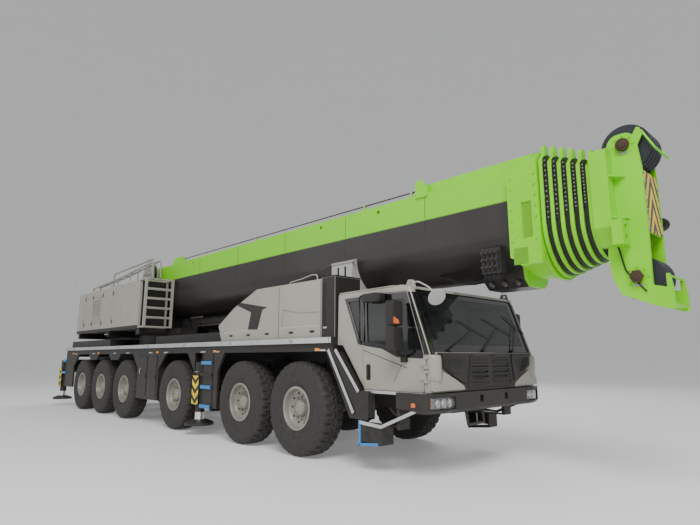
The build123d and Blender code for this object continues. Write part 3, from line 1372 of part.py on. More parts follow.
with BuildPart() as luff_rod:
    turned(
        FOOT_POINT,
        LUFF_DIR,
        [(280, 0), (280, ROD_RADIUS), (LUFF_CLOSED - 60, ROD_RADIUS), (LUFF_CLOSED - 60, 0)],
    )
    rod(
        (CYLINDER_HEAD[0], -EYE_HALF, CYLINDER_HEAD[1]), (CYLINDER_HEAD[0], EYE_HALF, CYLINDER_HEAD[1]), 125
    )
save(luff_rod, "luff_rod")


# ---------------------------------------------------------------- boom
def boom_length(x, step, mode=Mode.ADD, grow=0.0, corner=40.0):
    """A length of the boom's form between two values of X: round belly, straight sides, flat top.

    It is step slimmer all round than the base section, and grow fatter than that.
    """
    half = BOOM_HALF - step + grow
    low = BELLY_Z + step - grow
    high = BOOM_TOP - step + grow
    shoulder = low + half
    with BuildSketch(Plane.YZ.offset(min(x))) as face:
        with BuildLine():
            Polyline((-half, shoulder), (-half, high - corner), (-half + corner, high))
            Line((-half + corner, high), (half - corner, high))
            Polyline((half - corner, high), (half, high - corner), (half, shoulder))
            ThreePointArc((half, shoulder), (0, low), (-half, shoulder))
        make_face()
    extrude(face.sketch, amount=abs(x[1] - x[0]), mode=mode)


def tube(x, step):
    """A hollow boom section between two values of X."""
    boom_length(x, step)
    boom_length((min(x) - 1, max(x) + 1), step + BOOM_WALL, Mode.SUBTRACT)


def collar(x, step, grow):
    """A rib round the front end of a section."""
    boom_length(x, step, grow=grow, corner=90.0)


def bore(x, step):
    """The room inside a collar that the next section slides in."""
    boom_length(x, step, Mode.SUBTRACT)


BASE_REAR = FOOT_X + 750
COLLAR_X = ahead(BASE_FRONT)
COLLAR_END = COLLAR_X + BASE_COLLAR
FIRST_RIB = COLLAR_END + 20
BOX_PROUD = 85.0  # the base collar's side boxes stand out this far
TROUGH_X = (ahead(2000), COLLAR_X + 330)
# half outline: (Y, above the top)
TROUGH = [
    (BOOM_HALF - 55, -1), (BOOM_HALF - 55, 130), (BOOM_HALF - 275, 210)
]
SIDE_HOLES = (-5580.0, -480.0, 1010.0)
SIDE_HOLE = 32.0
POSTS = (-6390.0, -2910.0, 530.0, 1610.0)  # rope supports along the top

with BuildPart() as boom_base:
    tube((BASE_REAR, COLLAR_END), 0)
    # base collar: a belly band, a flange at its front end and a box on either side
    collar((COLLAR_X + 130, COLLAR_END), 0, 40)
    collar((COLLAR_END - 50, COLLAR_END), 0, COLLAR_PROUD)
    for side in (-1, 1):
        side_plate(
            [
                (COLLAR_X, BELLY_Z + 180, 25),
                (COLLAR_X + 90, BELLY_Z + 150, 25),
                (COLLAR_X + 150, BELLY_Z + 60, 20),
                (COLLAR_END, BELLY_Z + 80),
                (COLLAR_END, BOOM_TOP - 60, 30),
                (COLLAR_X, BOOM_TOP - 100, 40),
            ],
            (side * (BOOM_HALF - 1), side * (BOOM_HALF + BOX_PROUD)),
        )
        block(
            (COLLAR_X + 190, COLLAR_X + 330), (
                side * (BOOM_HALF + BOX_PROUD - 20), side * (BOOM_HALF + BOX_PROUD + 1)
            ),
            (BELLY_Z + 420, BELLY_Z + 900), Mode.SUBTRACT,
        )
    # hose trough along the top, open to the rear, with a bracket on either side of its mouth
    half = [(y, BOOM_TOP + z) for y, z in TROUGH]
    cross_plate(half + [(-y, z) for y, z in reversed(half)], TROUGH_X)
    inner = [(y - 20, BOOM_TOP + max(z - 20, -1)) for y, z in TROUGH]
    cross_plate(
        inner + [(-y, z) for y, z in reversed(inner)], (TROUGH_X[0] - 1, TROUGH_X[1] - 20), Mode.SUBTRACT
    )
    for side in (-1, 1):
        side_plate(
            [
                (TROUGH_X[0] - 160, BOOM_TOP - 80),
                (TROUGH_X[0] + 70, BOOM_TOP - 80),
                (TROUGH_X[0] + 70, BOOM_TOP + 60),
                (TROUGH_X[0] - 20, BOOM_TOP + 200, 30),
                (TROUGH_X[0] - 160, BOOM_TOP + 200, 30),
            ],
            (side * (BOOM_HALF - 1), side * (BOOM_HALF + 24)),
        )
        # lifting brackets near the foot
        side_plate(
            [
                (ahead(-6850), BOOM_TOP - 20),
                (ahead(-6780), BOOM_TOP + 150, 30),
                (ahead(-6240), BOOM_TOP + 150, 30),
                (ahead(-6170), BOOM_TOP - 20),
            ],
            (side * (BOOM_HALF - 75), side * (BOOM_HALF - 45)),
        )
    for post in POSTS:
        block((ahead(post) - 15, ahead(post) + 15), (-415, -385), (BOOM_TOP - 1, BOOM_TOP + 110))
    # valve block and locking gear under the front end
    block((ahead(2990), ahead(3280)), (-BOOM_HALF - 45, -BOOM_HALF + 130), (BELLY_Z + 20, BELLY_Z + 370))
    cross_plate(
        [
            (-330, BELLY_Z + 130),
            (-300, BELLY_Z - 60, 40),
            (-190, BELLY_Z - 150, 30),
            (190, BELLY_Z - 150, 30),
            (300, BELLY_Z - 60, 40),
            (330, BELLY_Z + 130),
        ],
        (ahead(2830), COLLAR_X + 40),
    )
    # foot plates down to the pivot, inside the superstructure's cheeks
    for side in (-1, 1):
        side_plate(
            [
                (FOOT_X - 200, FOOT_Z - 140, 150),
                (FOOT_X, FOOT_Z - 220, 150),
                (BASE_REAR + 400, BELLY_Z + BOOM_HALF - 50, 200),
                (BASE_REAR + 900, BELLY_Z + BOOM_HALF),
                (BASE_REAR + 500, BOOM_TOP - 60),
                (BASE_REAR, BOOM_TOP - 60, 200),
                (FOOT_X - 200, FOOT_Z + 140, 150),
            ],
            (side * (BOOM_HALF - BOOM_WALL), side * (BOOM_HALF + 15)),
        )
    rod((FOOT_X, -BOOM_HALF - 15, FOOT_Z), (FOOT_X, BOOM_HALF + 15, FOOT_Z), 200)
    rod(
        (FOOT_X, -BOOM_HALF - 20, FOOT_Z),
        (FOOT_X, BOOM_HALF + 20, FOOT_Z),
        BOOM_PIN + SEAT_GAP,
        Mode.SUBTRACT,
    )
    # ears for the luffing cylinder's rod eye
    for side in (-1, 1):
        side_plate(
            [
                (CYLINDER_HEAD[0] - 420, BELLY_Z + 90),
                (CYLINDER_HEAD[0] - 130, CYLINDER_HEAD[1] - 90, 90),
                (CYLINDER_HEAD[0] + 130, CYLINDER_HEAD[1] - 90, 90),
                (CYLINDER_HEAD[0] + 420, BELLY_Z + 90),
            ],
            (side * (EYE_HALF + SEAT_GAP), side * 178),
        )
        rod(
            (CYLINDER_HEAD[0], side * 150, CYLINDER_HEAD[1]),
            (CYLINDER_HEAD[0], side * 200, CYLINDER_HEAD[1]),
            85,
        )
    for hole in SIDE_HOLES:
        z = BOOM_TOP - 125
        rod((ahead(hole), -BOOM_HALF - 1, z), (ahead(hole), BOOM_HALF + 1, z), SIDE_HOLE, Mode.SUBTRACT)
    bore((COLLAR_END - 60, COLLAR_END + 1), NEST_STEP - SEAT_GAP)
    bore((BASE_REAR + 300, COLLAR_END - 60), BOOM_WALL)
save(boom_base, "boom_base")

KNOB_HALF = 62.0  # rounded lifting knobs on a rib's top corners
KNOB_RISE = 150.0
HEAD_TOP_PIN = (296.0, BOOM_TOP - 10)  # X from the last rib's place, and Z
HEAD_LOW_PIN = (316.0, BELLY_Z - 180)
SHEAVE_PITCH = 90.0
SHEAVES = 5
HEAD_INNER = HEAD_HALF - HEAD_PLATE
HEAD_CHEEK = [
    (HEAD_TIP, BELLY_Z - 560),
    (HEAD_TIP - 40, BELLY_Z - 570),
    (486, BELLY_Z - 530),
    (126, BELLY_Z - 370),
    (46, BELLY_Z - 170),
    (16, BELLY_Z + 80),
    (56, BELLY_Z + 690),
    (66, BOOM_TOP - 110),
    (146, BOOM_TOP + 140, 140),
    (446, BOOM_TOP + 140, 140),
    (446, BOOM_TOP - 10),
    (476, BOOM_TOP - 330),
    (476, BELLY_Z + 330),
    (466, BELLY_Z - 290, 30),
    (HEAD_TIP, BELLY_Z - 340, 20),
]


def sheave_row(pin, radius, half_pin):
    """A pin across the head with grooved sheaves side by side on it."""
    rod((pin[0], -half_pin, pin[1]), (pin[0], half_pin, pin[1]), 55)
    for count in range(SHEAVES):
        y = (count - (SHEAVES - 1) / 2) * SHEAVE_PITCH
        groove = [
            (-30, 0), (-30, radius), (-20, radius), (0, radius - 26), (20, radius), (30, radius), (30, 0)
        ]
        turned((pin[0], y, pin[1]), (0, 1, 0), groove)


for number in range(1, SECTIONS):
    step = number * NEST_STEP
    rib_x = FIRST_RIB + (number - 1) * COLLAR_PITCH
    with BuildPart() as section:
        collar((rib_x, rib_x + COLLAR_THICK), step, COLLAR_PROUD)
        rib_half = BOOM_HALF - step + COLLAR_PROUD
        rib_top = BOOM_TOP - step + COLLAR_PROUD
        for side in (-1, 1):
            middle = side * (rib_half - 95 - KNOB_HALF)
            knob = [
                (middle - KNOB_HALF, rib_top - 5),
                (middle - KNOB_HALF, rib_top + KNOB_RISE, KNOB_HALF - 2),
                (middle + KNOB_HALF, rib_top + KNOB_RISE, KNOB_HALF - 2),
                (middle + KNOB_HALF, rib_top - 5),
            ]
            cross_plate(knob, (rib_x, rib_x + COLLAR_THICK))
        tube((BASE_REAR + 320 + number * 40, rib_x), step)
        bore((rib_x - 300, rib_x), step + BOOM_WALL)
        bore((rib_x - 1, rib_x + COLLAR_THICK + 1), step + NEST_STEP - SEAT_GAP)
    save(section, f"boom_section_{number}")

# the last section carries the boom head
head_x = FIRST_RIB + (SECTIONS - 1) * COLLAR_PITCH
step = SECTIONS * NEST_STEP
HEAD_BORE_Z = (BELLY_Z + 275, BELLY_Z + 405)  # holes that take the pins of a boom extension
with BuildPart() as boom_head:
    tube((BASE_REAR + 320 + SECTIONS * 40, head_x + 100), step)
    # box behind the cheeks, which stands out round the section
    box_half = BOOM_HALF - step + COLLAR_PROUD + 75
    box_x = (head_x - COLLAR_PITCH + COLLAR_THICK + 10, head_x + 156)
    head_box = [
        (-box_half, BELLY_Z + 420, 40),
        (-box_half + 170, BELLY_Z + 210, 60),
        (box_half - 170, BELLY_Z + 210, 60),
        (box_half, BELLY_Z + 420, 40),
        (box_half, BOOM_TOP - 50, 50),
        (-box_half, BOOM_TOP - 50, 50),
    ]
    cross_plate(head_box, box_x)
    bore((box_x[0] - 1, box_x[1] - 30), step + BOOM_WALL)
    cheek = [(head_x + corner[0], *corner[1:]) for corner in HEAD_CHEEK]
    for side in (-1, 1):
        side_plate(cheek, (side * HEAD_INNER, side * HEAD_HALF))
        # gussets from the box out to the cheek
        for z in (BOOM_TOP - 410, BELLY_Z + 520):
            corners = [
                (box_x[1] - 5, side * (HEAD_HALF - 5)),
                (box_x[1] - 5, side * (box_half - 20)),
                (box_x[1] + 150, side * (HEAD_HALF - 5)),
            ]
            slab(Plane.XY.offset(z), corners, 25)
        # side bracket with two bored holes
        bracket_x = (box_x[1] - 5, head_x + 276)
        for z in (BELLY_Z + 190, BELLY_Z + 460):
            block(bracket_x, (side * (HEAD_HALF - 5), side * (box_half + 20)), (z, z + 30))
        block(bracket_x, (side * (box_half - 5), side * (box_half + 20)), (BELLY_Z + 190, BELLY_Z + 490))
        block(
            (bracket_x[1] - 30, bracket_x[1]),
            (side * (HEAD_HALF - 5), side * (box_half + 20)),
            (BELLY_Z + 190, BELLY_Z + 490),
        )
        for z in HEAD_BORE_Z:
            middle = side * (HEAD_HALF + box_half + 15) / 2
            rod((bracket_x[1] - 31, middle, z), (bracket_x[1] + 1, middle, z), 40, Mode.SUBTRACT)
        # rope guards over the top sheaves
        guard_y = (side * (HEAD_INNER + 5), side * (HEAD_INNER + 20))
        side_plate(
            [
                (head_x + 380, BOOM_TOP + 60),
                (head_x + 456, BOOM_TOP + 190, 10),
                (head_x + 526, BOOM_TOP + 110, 10),
                (head_x + 440, BOOM_TOP - 60),
            ],
            guard_y,
        )
        middle = sum(guard_y) / 2
        rod((head_x + 500, middle, BOOM_TOP + 130), (head_x + 626, middle, BOOM_TOP - 120), 12)
        side_plate(
            [
                (head_x + 600, BELLY_Z - 350),
                (head_x + HEAD_TIP, BELLY_Z - 350),
                (head_x + 640, BELLY_Z - 170, 10),
                (head_x + 600, BELLY_Z - 170, 10),
            ],
            (side * HEAD_INNER, side * (HEAD_HALF - 20)),
        )
    for x, z in ((626, BOOM_TOP - 120), (626, BELLY_Z - 195), (474, BOOM_TOP + 165)):
        rod((head_x + x, -HEAD_INNER - 12, z), (head_x + x, HEAD_INNER + 12, z), 14)
    # front plate between the cheeks, and the lip under the lower sheaves
    block((head_x + 440, head_x + 470), (-HEAD_INNER - 1, HEAD_INNER + 1), (BELLY_Z + 340, BOOM_TOP - 350))
    block(
        (head_x + 486, head_x + HEAD_TIP - 12),
        (-HEAD_INNER - 1, HEAD_INNER + 1),
        (BELLY_Z - 530, BELLY_Z - 500),
    )
    sheave_row((head_x + HEAD_TOP_PIN[0], HEAD_TOP_PIN[1]), 285, HEAD_HALF + 40)
    sheave_row((head_x + HEAD_LOW_PIN[0], HEAD_LOW_PIN[1]), 258, HEAD_HALF + 55)
    # round lamp on the far cheek, above the bored holes
    turned(
        (head_x + 440, HEAD_HALF - 5, HEAD_BORE_Z[1] + 140), (0, 1, 0),
        [(0, 0), (0, 22), (60, 22), (60, 60, 20), (95, 78, 25), (170, 70, 30), (190, 0)],
    )
save(boom_head, f"boom_section_{SECTIONS}")
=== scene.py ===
# %% [markdown]
# A six-axle all-terrain crane in road trim. The rigid model comes in as a fixed frame: every plate, wheel and
# boom section already stands where it belongs and moves on its own joint. This lesson dresses it: paint,
# rubber, glass, and the small things that a crane carries, from tread lugs to wiper blades. We work in
# metres, +X forward, +Y to the machine's left, +Z up, and we never move what the frame holds.

# %% Load the frame
import json
import math

import bmesh
import bpy
import numpy as np
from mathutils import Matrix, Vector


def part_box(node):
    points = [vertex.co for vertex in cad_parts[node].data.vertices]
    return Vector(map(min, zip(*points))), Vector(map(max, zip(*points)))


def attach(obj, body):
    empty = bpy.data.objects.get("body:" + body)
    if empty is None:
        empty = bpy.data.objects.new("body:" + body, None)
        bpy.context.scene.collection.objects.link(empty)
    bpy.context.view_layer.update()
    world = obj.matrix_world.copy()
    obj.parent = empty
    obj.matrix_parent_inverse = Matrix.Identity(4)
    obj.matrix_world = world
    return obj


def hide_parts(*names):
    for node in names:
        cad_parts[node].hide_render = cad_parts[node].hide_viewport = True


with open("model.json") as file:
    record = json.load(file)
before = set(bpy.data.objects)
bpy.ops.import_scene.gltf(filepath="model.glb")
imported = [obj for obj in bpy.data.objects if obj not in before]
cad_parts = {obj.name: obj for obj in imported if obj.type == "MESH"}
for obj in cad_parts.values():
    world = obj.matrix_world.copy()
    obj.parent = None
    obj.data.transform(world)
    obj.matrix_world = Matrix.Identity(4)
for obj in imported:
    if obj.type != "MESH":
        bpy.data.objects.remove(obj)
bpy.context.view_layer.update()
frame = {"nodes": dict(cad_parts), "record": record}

# %% [markdown]
# We stand at eye height by the front right corner, close enough for the boom's head to loom. The camera is
# placed from the first axle, because the wheels are what a crane's size is read from. A wide 26.6 mm lens
# gives strong perspective, and a tilt of ten degrees upward, with no shift and no roll, keeps the whole boom
# in the frame.

# %% Camera
def node_centre(node):
    """Middle of a node's box: the mean of its lowest and highest corners."""
    low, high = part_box(node)
    return (np.array(low) + np.array(high)) / 2


def wheel_name(axle, side):
    """Name of a wheel node: axle 1 to 6 from the front, side 'right' or 'left'."""
    return f"wheel_{axle}_{side}"


AXLES = range(1, 7)
SIDES = (("right", -1.0), ("left", 1.0))
AXLE_X = {n: float(node_centre(wheel_name(n, "right"))[0]) for n in AXLES}
AXLE_1 = AXLE_X[1]

AHEAD_OF_AXLE_1, TO_THE_RIGHT, EYE_HEIGHT = 6.796, 6.799, 1.551
TILT_UP, HEADING = 10.40, 46.14  # degrees above level, and degrees round from +Y towards -X
FOCAL_LENGTH, SENSOR_WIDTH = 26.58, 36.0  # millimetres

lens = bpy.data.cameras.new("camera")
lens.lens = FOCAL_LENGTH
lens.sensor_width = SENSOR_WIDTH
lens.clip_end = 2000.0
camera = bpy.data.objects.new("camera", lens)
camera.location = (AXLE_1 + AHEAD_OF_AXLE_1, -TO_THE_RIGHT, EYE_HEIGHT)
camera.rotation_euler = (math.radians(90 + TILT_UP), 0.0, math.radians(HEADING))
bpy.context.scene.collection.objects.link(camera)
bpy.context.scene.camera = camera
print("camera at", [round(v, 2) for v in camera.location])

# %% [markdown]
# Arrays first, objects last. A surface is a grid of points worked out in one numpy expression, and a small
# index grid turns it into faces. These few helpers make every new piece: a lathe for round things, a tube for
# rails and hoses, a prism for plates, and a stack that joins many small solids into one mesh.

# %% Shape helpers
def grid_quads(rows, cols, wrap_rows=False, wrap_cols=False):
    """Quads over a grid of rows x cols points: (i, j), (i+1, j), (i+1, j+1), (i, j+1), wrapped where
    asked."""
    i = np.arange(rows if wrap_rows else rows - 1)[:, None]
    j = np.arange(cols if wrap_cols else cols - 1)[None, :]
    i, j = np.broadcast_arrays(i, j)
    i2, j2 = (i + 1) % rows, (j + 1) % cols
    return np.stack([i * cols + j, i2 * cols + j, i2 * cols + j2, i * cols + j2], -1).reshape(-1, 4)


def stack(*solids):
    """Joins (points, faces) solids: each one's face indices are shifted by the points before it."""
    points, faces, shift = [], [], 0
    for pts, fcs in solids:
        points.append(np.asarray(pts, float))
        faces.extend([tuple(int(v) + shift for v in f) for f in fcs])
        shift += len(pts)
    return np.concatenate(points), faces


def across(axis):
    """Two unit directions square to an axis and to each other."""
    axis = np.asarray(axis, float) / np.linalg.norm(axis)
    helper = np.array([0, 0, 1.0]) if abs(axis[2]) < 0.9 else np.array([1.0, 0, 0])
    u = np.cross(helper, axis)
    u /= np.linalg.norm(u)
    return axis, u, np.cross(axis, u)


def lathe(centre, axis, profile, turns=48, start=0.0, sweep=2 * math.pi):
    """A turned solid: P = centre + d*axis + r*(cos a*u + sin a*v), for each (d, r) and each angle a.

    A profile that starts and ends away from the axis is a loop and is closed on itself.
    """
    axis, u, v = across(axis)
    d, r = np.array(profile, float).T
    a = start + np.linspace(0, sweep, turns, endpoint=False)
    ring = np.cos(a)[:, None] * u + np.sin(a)[:, None] * v
    pts = np.asarray(centre) + d[None, :, None] * axis + r[None, :, None] * ring[:, None, :]
    faces = grid_quads(turns, len(d), wrap_rows=True, wrap_cols=min(r[0], r[-1]) > 0)
    return pts.reshape(-1, 3), faces


def tube(path, radius, sides=10, closed=False):
    """A pipe: at each point of the path a circle stands square to the way, P = p + r*(cos a*n + sin a*b)."""
    p = np.asarray(path, float)
    way = np.roll(p, -1, 0) - np.roll(p, 1, 0) if closed else np.gradient(p, axis=0)
    way /= np.linalg.norm(way, axis=1)[:, None]
    helper = np.array([0.0, 0.0, 1.0]) if abs(way[:, 2]).mean() < 0.8 else np.array([0.3, 1.0, 0.0])
    n = np.cross(way, helper)
    size = np.linalg.norm(n, axis=1)
    # a stretch along the helper has no side direction of its own, so it takes that of the nearest point which
    # has one
    good = np.flatnonzero(size > 1e-6)
    nearest = good[np.abs(good[None, :] - np.arange(len(p))[:, None]).argmin(1)]
    n = n[nearest] / size[nearest][:, None]
    b = np.cross(way, n)
    a = np.linspace(0, 2 * math.pi, sides, endpoint=False)
    r = np.broadcast_to(np.asarray(radius, float), len(p))[:, None, None]
    pts = p[:, None] + r * (np.cos(a)[None, :, None] * n[:, None] + np.sin(a)[None, :, None] * b[:, None])
    faces = [tuple(q) for q in grid_quads(len(p), sides, wrap_rows=closed, wrap_cols=True)]
    if not closed:
        faces.append(tuple(range(sides)))
        faces.append(tuple(reversed(range((len(p) - 1) * sides, len(p) * sides))))
    return pts.reshape(-1, 3), faces


def prism(outline, low, high, plane="xz"):
    """A plate: a flat outline in one plane, carried straight from low to high along the third axis."""
    flat = np.asarray(outline, float)
    order = {"xz": (0, 2, 1), "yz": (1, 2, 0), "xy": (0, 1, 2)}[plane]
    n = len(flat)
    pts = np.zeros((2 * n, 3))
    pts[:n, order[0]] = pts[n:, order[0]] = flat[:, 0]
    pts[:n, order[1]] = pts[n:, order[1]] = flat[:, 1]
    pts[:n, order[2]], pts[n:, order[2]] = low, high
    faces = [(i, (i + 1) % n, n + (i + 1) % n, n + i) for i in range(n)]
    faces += [tuple(reversed(range(n))), tuple(range(n, 2 * n))]
    area = np.dot(flat[:, 0], np.roll(flat[:, 1], -1)) - np.dot(flat[:, 1], np.roll(flat[:, 0], -1))
    flip = (area < 0) ^ (plane == "xz")
    return pts, [tuple(reversed(f)) for f in faces] if flip else faces


def brick(low, high):
    """A box between two corners, as a prism of its floor."""
    (x0, y0, z0), (x1, y1, z1) = np.minimum(low, high), np.maximum(low, high)
    return prism([(x0, y0), (x1, y0), (x1, y1), (x0, y1)], z0, z1, "xy")


def mirrored(solid):
    """The same solid on the machine's other side: Y changes sign and every face is turned over."""
    pts, faces = solid
    return np.asarray(pts) * (1, -1, 1), [tuple(reversed(f)) for f in faces]


PIECES = {}


def sewn(mesh):
    """Merges points that lie on one another, drops faces without area and turns every face outwards."""
    work = bmesh.new()
    work.from_mesh(mesh)
    bmesh.ops.remove_doubles(work, verts=work.verts, dist=2e-6)
    bmesh.ops.dissolve_degenerate(work, edges=work.edges, dist=1e-7)
    bmesh.ops.recalc_face_normals(work, faces=work.faces)
    work.to_mesh(mesh)
    open_edges = sum(not edge.is_manifold for edge in work.edges)
    work.free()
    return open_edges


def piece(name, solid, material, body="carrier", bevel=0.0, smooth=40.0, stands_for=()):
    """Makes an object of a solid, gives it a material, rounds its edges and lets it ride on a body."""
    pts, faces = solid
    if not np.isfinite(np.asarray(pts, float)).all():
        raise ValueError(f"{name} has a point that is not a number")
    mesh = bpy.data.meshes.new(name)
    mesh.from_pydata(np.asarray(pts, float).tolist(), [], [tuple(int(v) for v in f) for f in faces])
    open_edges = sewn(mesh)
    if open_edges:
        print("open edges:", name, open_edges)
    mesh.materials.append(material)
    obj = bpy.data.objects.new(name, mesh)
    bpy.context.scene.collection.objects.link(obj)
    if smooth:
        mesh.polygons.foreach_set("use_smooth", [True] * len(mesh.polygons))
        mesh.set_sharp_from_angle(angle=math.radians(smooth))
    if bevel:
        edge = obj.modifiers.new("rounded edges", "BEVEL")
        edge.width = bevel
        edge.segments = 2
        edge.limit_method = "ANGLE"
        edge.angle_limit = math.radians(35)
        edge.harden_normals = True
    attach(obj, body)
    if stands_for:
        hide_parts(*stands_for)
    PIECES[name] = obj
    return obj


print("helpers ready")

# %% [markdown]
# Every later piece is placed from a few datum planes. We read them off the frame's own boxes: the deck's top,
# the boom's belly and top, the cab's sides, the slewing centre. If the model grows, the dress grows with it.

# %% Datum planes
JOINT = {row["name"]: row for row in frame["record"]["behaviour"]["joints"]}
DECK = float(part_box("engine_block")[0][2])
ROOF = float(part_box("driver_cab")[1][2])
FLOOR = float(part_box("driver_cab")[0][2])
SILL = FLOOR + 0.52  # lower edge of the windscreen
CAB = float(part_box("cab_interior")[1][1]) + 0.04  # half width over the cab's skin
HALF = float(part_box("carrier_deck")[1][1])
REST = float(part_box("boom_rest")[1][2])
BELLY = REST - 0.555
TOP = BELLY + 1.45
BOOM = 0.575  # half width of the boom's base section
HEAD = float(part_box("boom_section_7")[1][0]) - 0.666  # where the last rib would stand
COLLAR = HEAD - 6 * 0.104 - 0.02 - 0.43
SLEW = np.array(JOINT["slew"]["pos_m"])
UPPER, LOWER = (HEAD + 0.296, TOP - 0.01), (HEAD + 0.316, BELLY - 0.18)  # the head's two sheave axes
PLATFORM = DECK + 0.28
HOUSE_TOP = PLATFORM + 0.15 + 1.31
HOUSE_OUT = HALF - 0.08
TYRE_R = float(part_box("wheel_1_right")[1][2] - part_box("wheel_1_right")[0][2]) / 2
print("deck", round(DECK, 3), "boom", round(BELLY, 3), round(TOP, 3), "head", round(HEAD - AXLE_1, 3))


def ahead(distance):
    """X of a place given by its distance ahead of axle 1."""
    return AXLE_1 + distance

# %% [markdown]
# Two more shapes do most of the soft work. A superellipsoid is a box whose corners melt: its exponent says
# how much. A framed plate is a sheet with a window in it: the outer and the inner outline are walked in step,
# so that one strip of faces fills the space between them.

# %% Soft boxes, framed plates and holed rings
def pillow(centre, size, power=0.35, rows=16, cols=28):
    """Superellipsoid: P = centre + size/2 * (c(v)c(u), c(v)s(u), s(v)) with each sine and cosine raised to
    power."""
    v = np.linspace(-math.pi / 2, math.pi / 2, rows)[:, None]
    u = np.linspace(-math.pi, math.pi, cols, endpoint=False)[None, :]
    bend = lambda t: np.sign(t) * np.abs(t) ** power
    x = bend(np.cos(v)) * bend(np.cos(u))
    y = bend(np.cos(v)) * bend(np.sin(u))
    z = np.broadcast_to(bend(np.sin(v)), x.shape)
    pts = np.stack([x, y, z], -1) * (np.asarray(size) / 2) + np.asarray(centre)
    body = pts[1:-1].reshape(-1, 3)
    faces = [tuple(reversed(q)) for q in grid_quads(rows - 2, cols, wrap_cols=True)]
    poles = np.array([pts[0].mean(0), pts[-1].mean(0)])
    n = len(body)
    faces += [(n, i, (i + 1) % cols) for i in range(cols)]
    last = (rows - 3) * cols
    faces += [(n + 1, last + (i + 1) % cols, last + i) for i in range(cols)]
    return np.concatenate([body, poles]), [tuple(reversed(f)) for f in faces]


def resampled(outline, count, rounding=0.0):
    """A closed outline walked in count equal steps of length, its corners softened by a running mean."""
    p = np.asarray(outline, float)
    p = np.concatenate([p, p[:1]])
    steps = np.concatenate([[0], np.cumsum(np.linalg.norm(np.diff(p, axis=0), axis=1))])
    at = np.linspace(0, steps[-1], count, endpoint=False)
    out = np.stack([np.interp(at, steps, p[:, k]) for k in (0, 1)], -1)
    span = int(round(rounding / (steps[-1] / count)))
    if span:
        kernel = range(-span, span + 1)
        out = sum(np.roll(out, k, 0) for k in kernel) / len(kernel)
    return out


def by_angle(points, centre, count):
    """A closed curve's points at equal angles round a centre: the distance is read between neighbours."""
    rel = points - centre
    ang = np.arctan2(rel[:, 1], rel[:, 0])
    order = np.argsort(ang)
    ang, rel = ang[order], rel[order]
    ang = np.concatenate([ang[-1:] - 2 * math.pi, ang, ang[:1] + 2 * math.pi])
    dist = np.linalg.norm(np.concatenate([rel[-1:], rel, rel[:1]]), axis=1)
    want = np.linspace(-math.pi, math.pi, count, endpoint=False)
    r = np.interp(want, ang, dist)
    return centre + np.stack([r * np.cos(want), r * np.sin(want)], -1)


def framed(outer, inner, low, high, plane="xz", count=160):
    """A plate with a window: rings of points outer and inner, at both depths, joined by four strips of
    faces."""
    centre = np.mean(resampled(inner, 80), 0)
    a = by_angle(resampled(outer, 900, 0.012), centre, count)
    b = by_angle(resampled(inner, 900, 0.03), centre, count)
    order = {"xz": (0, 2, 1), "yz": (1, 2, 0), "xy": (0, 1, 2)}[plane]
    rings = []
    for ring, depth in ((a, low), (a, high), (b, high), (b, low)):
        pts = np.zeros((count, 3))
        pts[:, order[0]], pts[:, order[1]], pts[:, order[2]] = ring[:, 0], ring[:, 1], depth
        rings.append(pts)
    flip = (plane == "xz") ^ (high < low)
    faces = grid_quads(4, count, wrap_rows=True, wrap_cols=True)
    return np.concatenate(rings), [tuple(reversed(f)) if not flip else tuple(f) for f in faces]


def arc(centre, radius, start, end, count=9):
    """Points of a flat arc about a centre, from one angle to another in degrees."""
    a = np.radians(np.linspace(start, end, count))
    return [(centre[0] + radius * math.cos(t), centre[1] + radius * math.sin(t)) for t in a]


def bolts(places, axis, radius=0.014, height=0.012):
    """Hexagon bolt heads with a washer, one at each place, standing along an axis."""
    head = [
        (0, 0), (0, radius * 1.35), (0.003, radius * 1.35), (0.003, radius), (height, radius * 0.94),
        (height, 0)
    ]
    return stack(*[lathe(place, axis, head, 6) for place in places])


def both(solid):
    """A solid and its mirror image on the other side of the machine."""
    return stack(solid, mirrored(solid))


def u_ring(grow_out, grow_in, low_x, high_x, sides=24):
    """A collar of the boom's own form: half circle below, flat sides and top, outer and inner outline in
    step."""
    loops = []
    for grow, x in ((grow_out, low_x), (grow_out, high_x), (grow_in, high_x), (grow_in, low_x)):
        half, top = BOOM + grow, TOP + grow
        flat = arc((0, BELLY + BOOM), half, 180, 360, sides)
        flat += [(half, top - 0.04), (half - 0.04, top), (0.04 - half, top), (-half, top - 0.04)]
        loops += [(x, y, z) for y, z in flat]
    return np.array(loops), grid_quads(4, sides + 4, wrap_rows=True, wrap_cols=True)


def straight(start, end, radius, sides=10):
    """A round bar between two points."""
    return tube(np.linspace(start, end, 2), radius, sides)


def bent(points, radius, sides=10, ease=6):
    """A pipe along a polyline whose corners are eased: each inner corner becomes a short quadratic curve."""
    p = [np.asarray(q, float) for q in points]
    path = [p[0]]
    for before, here, after in zip(p, p[1:], p[2:]):
        r = min(4 * radius, 0.45 * np.linalg.norm(here - before), 0.45 * np.linalg.norm(after - here))
        a = here + (before - here) / np.linalg.norm(before - here) * r
        b = here + (after - here) / np.linalg.norm(after - here) * r
        t = np.linspace(0, 1, ease)[:, None]
        path += list((1 - t) ** 2 * a + 2 * t * (1 - t) * here + t**2 * b)
    return tube(np.array(path + [p[-1]]), radius, sides)


print("soft shapes ready")

# %% [markdown]
# Real paint is never one colour. Road dust settles low and in the corners, rain leaves faint runs, and the
# lacquer has a fine orange-peel skin. Each finish below is a node tree on Object coordinates: one noise for
# tone, one for runs, one for dust that fades with height, and one for the skin as bump. Values that are the
# same all over are set on the shader's own sockets.

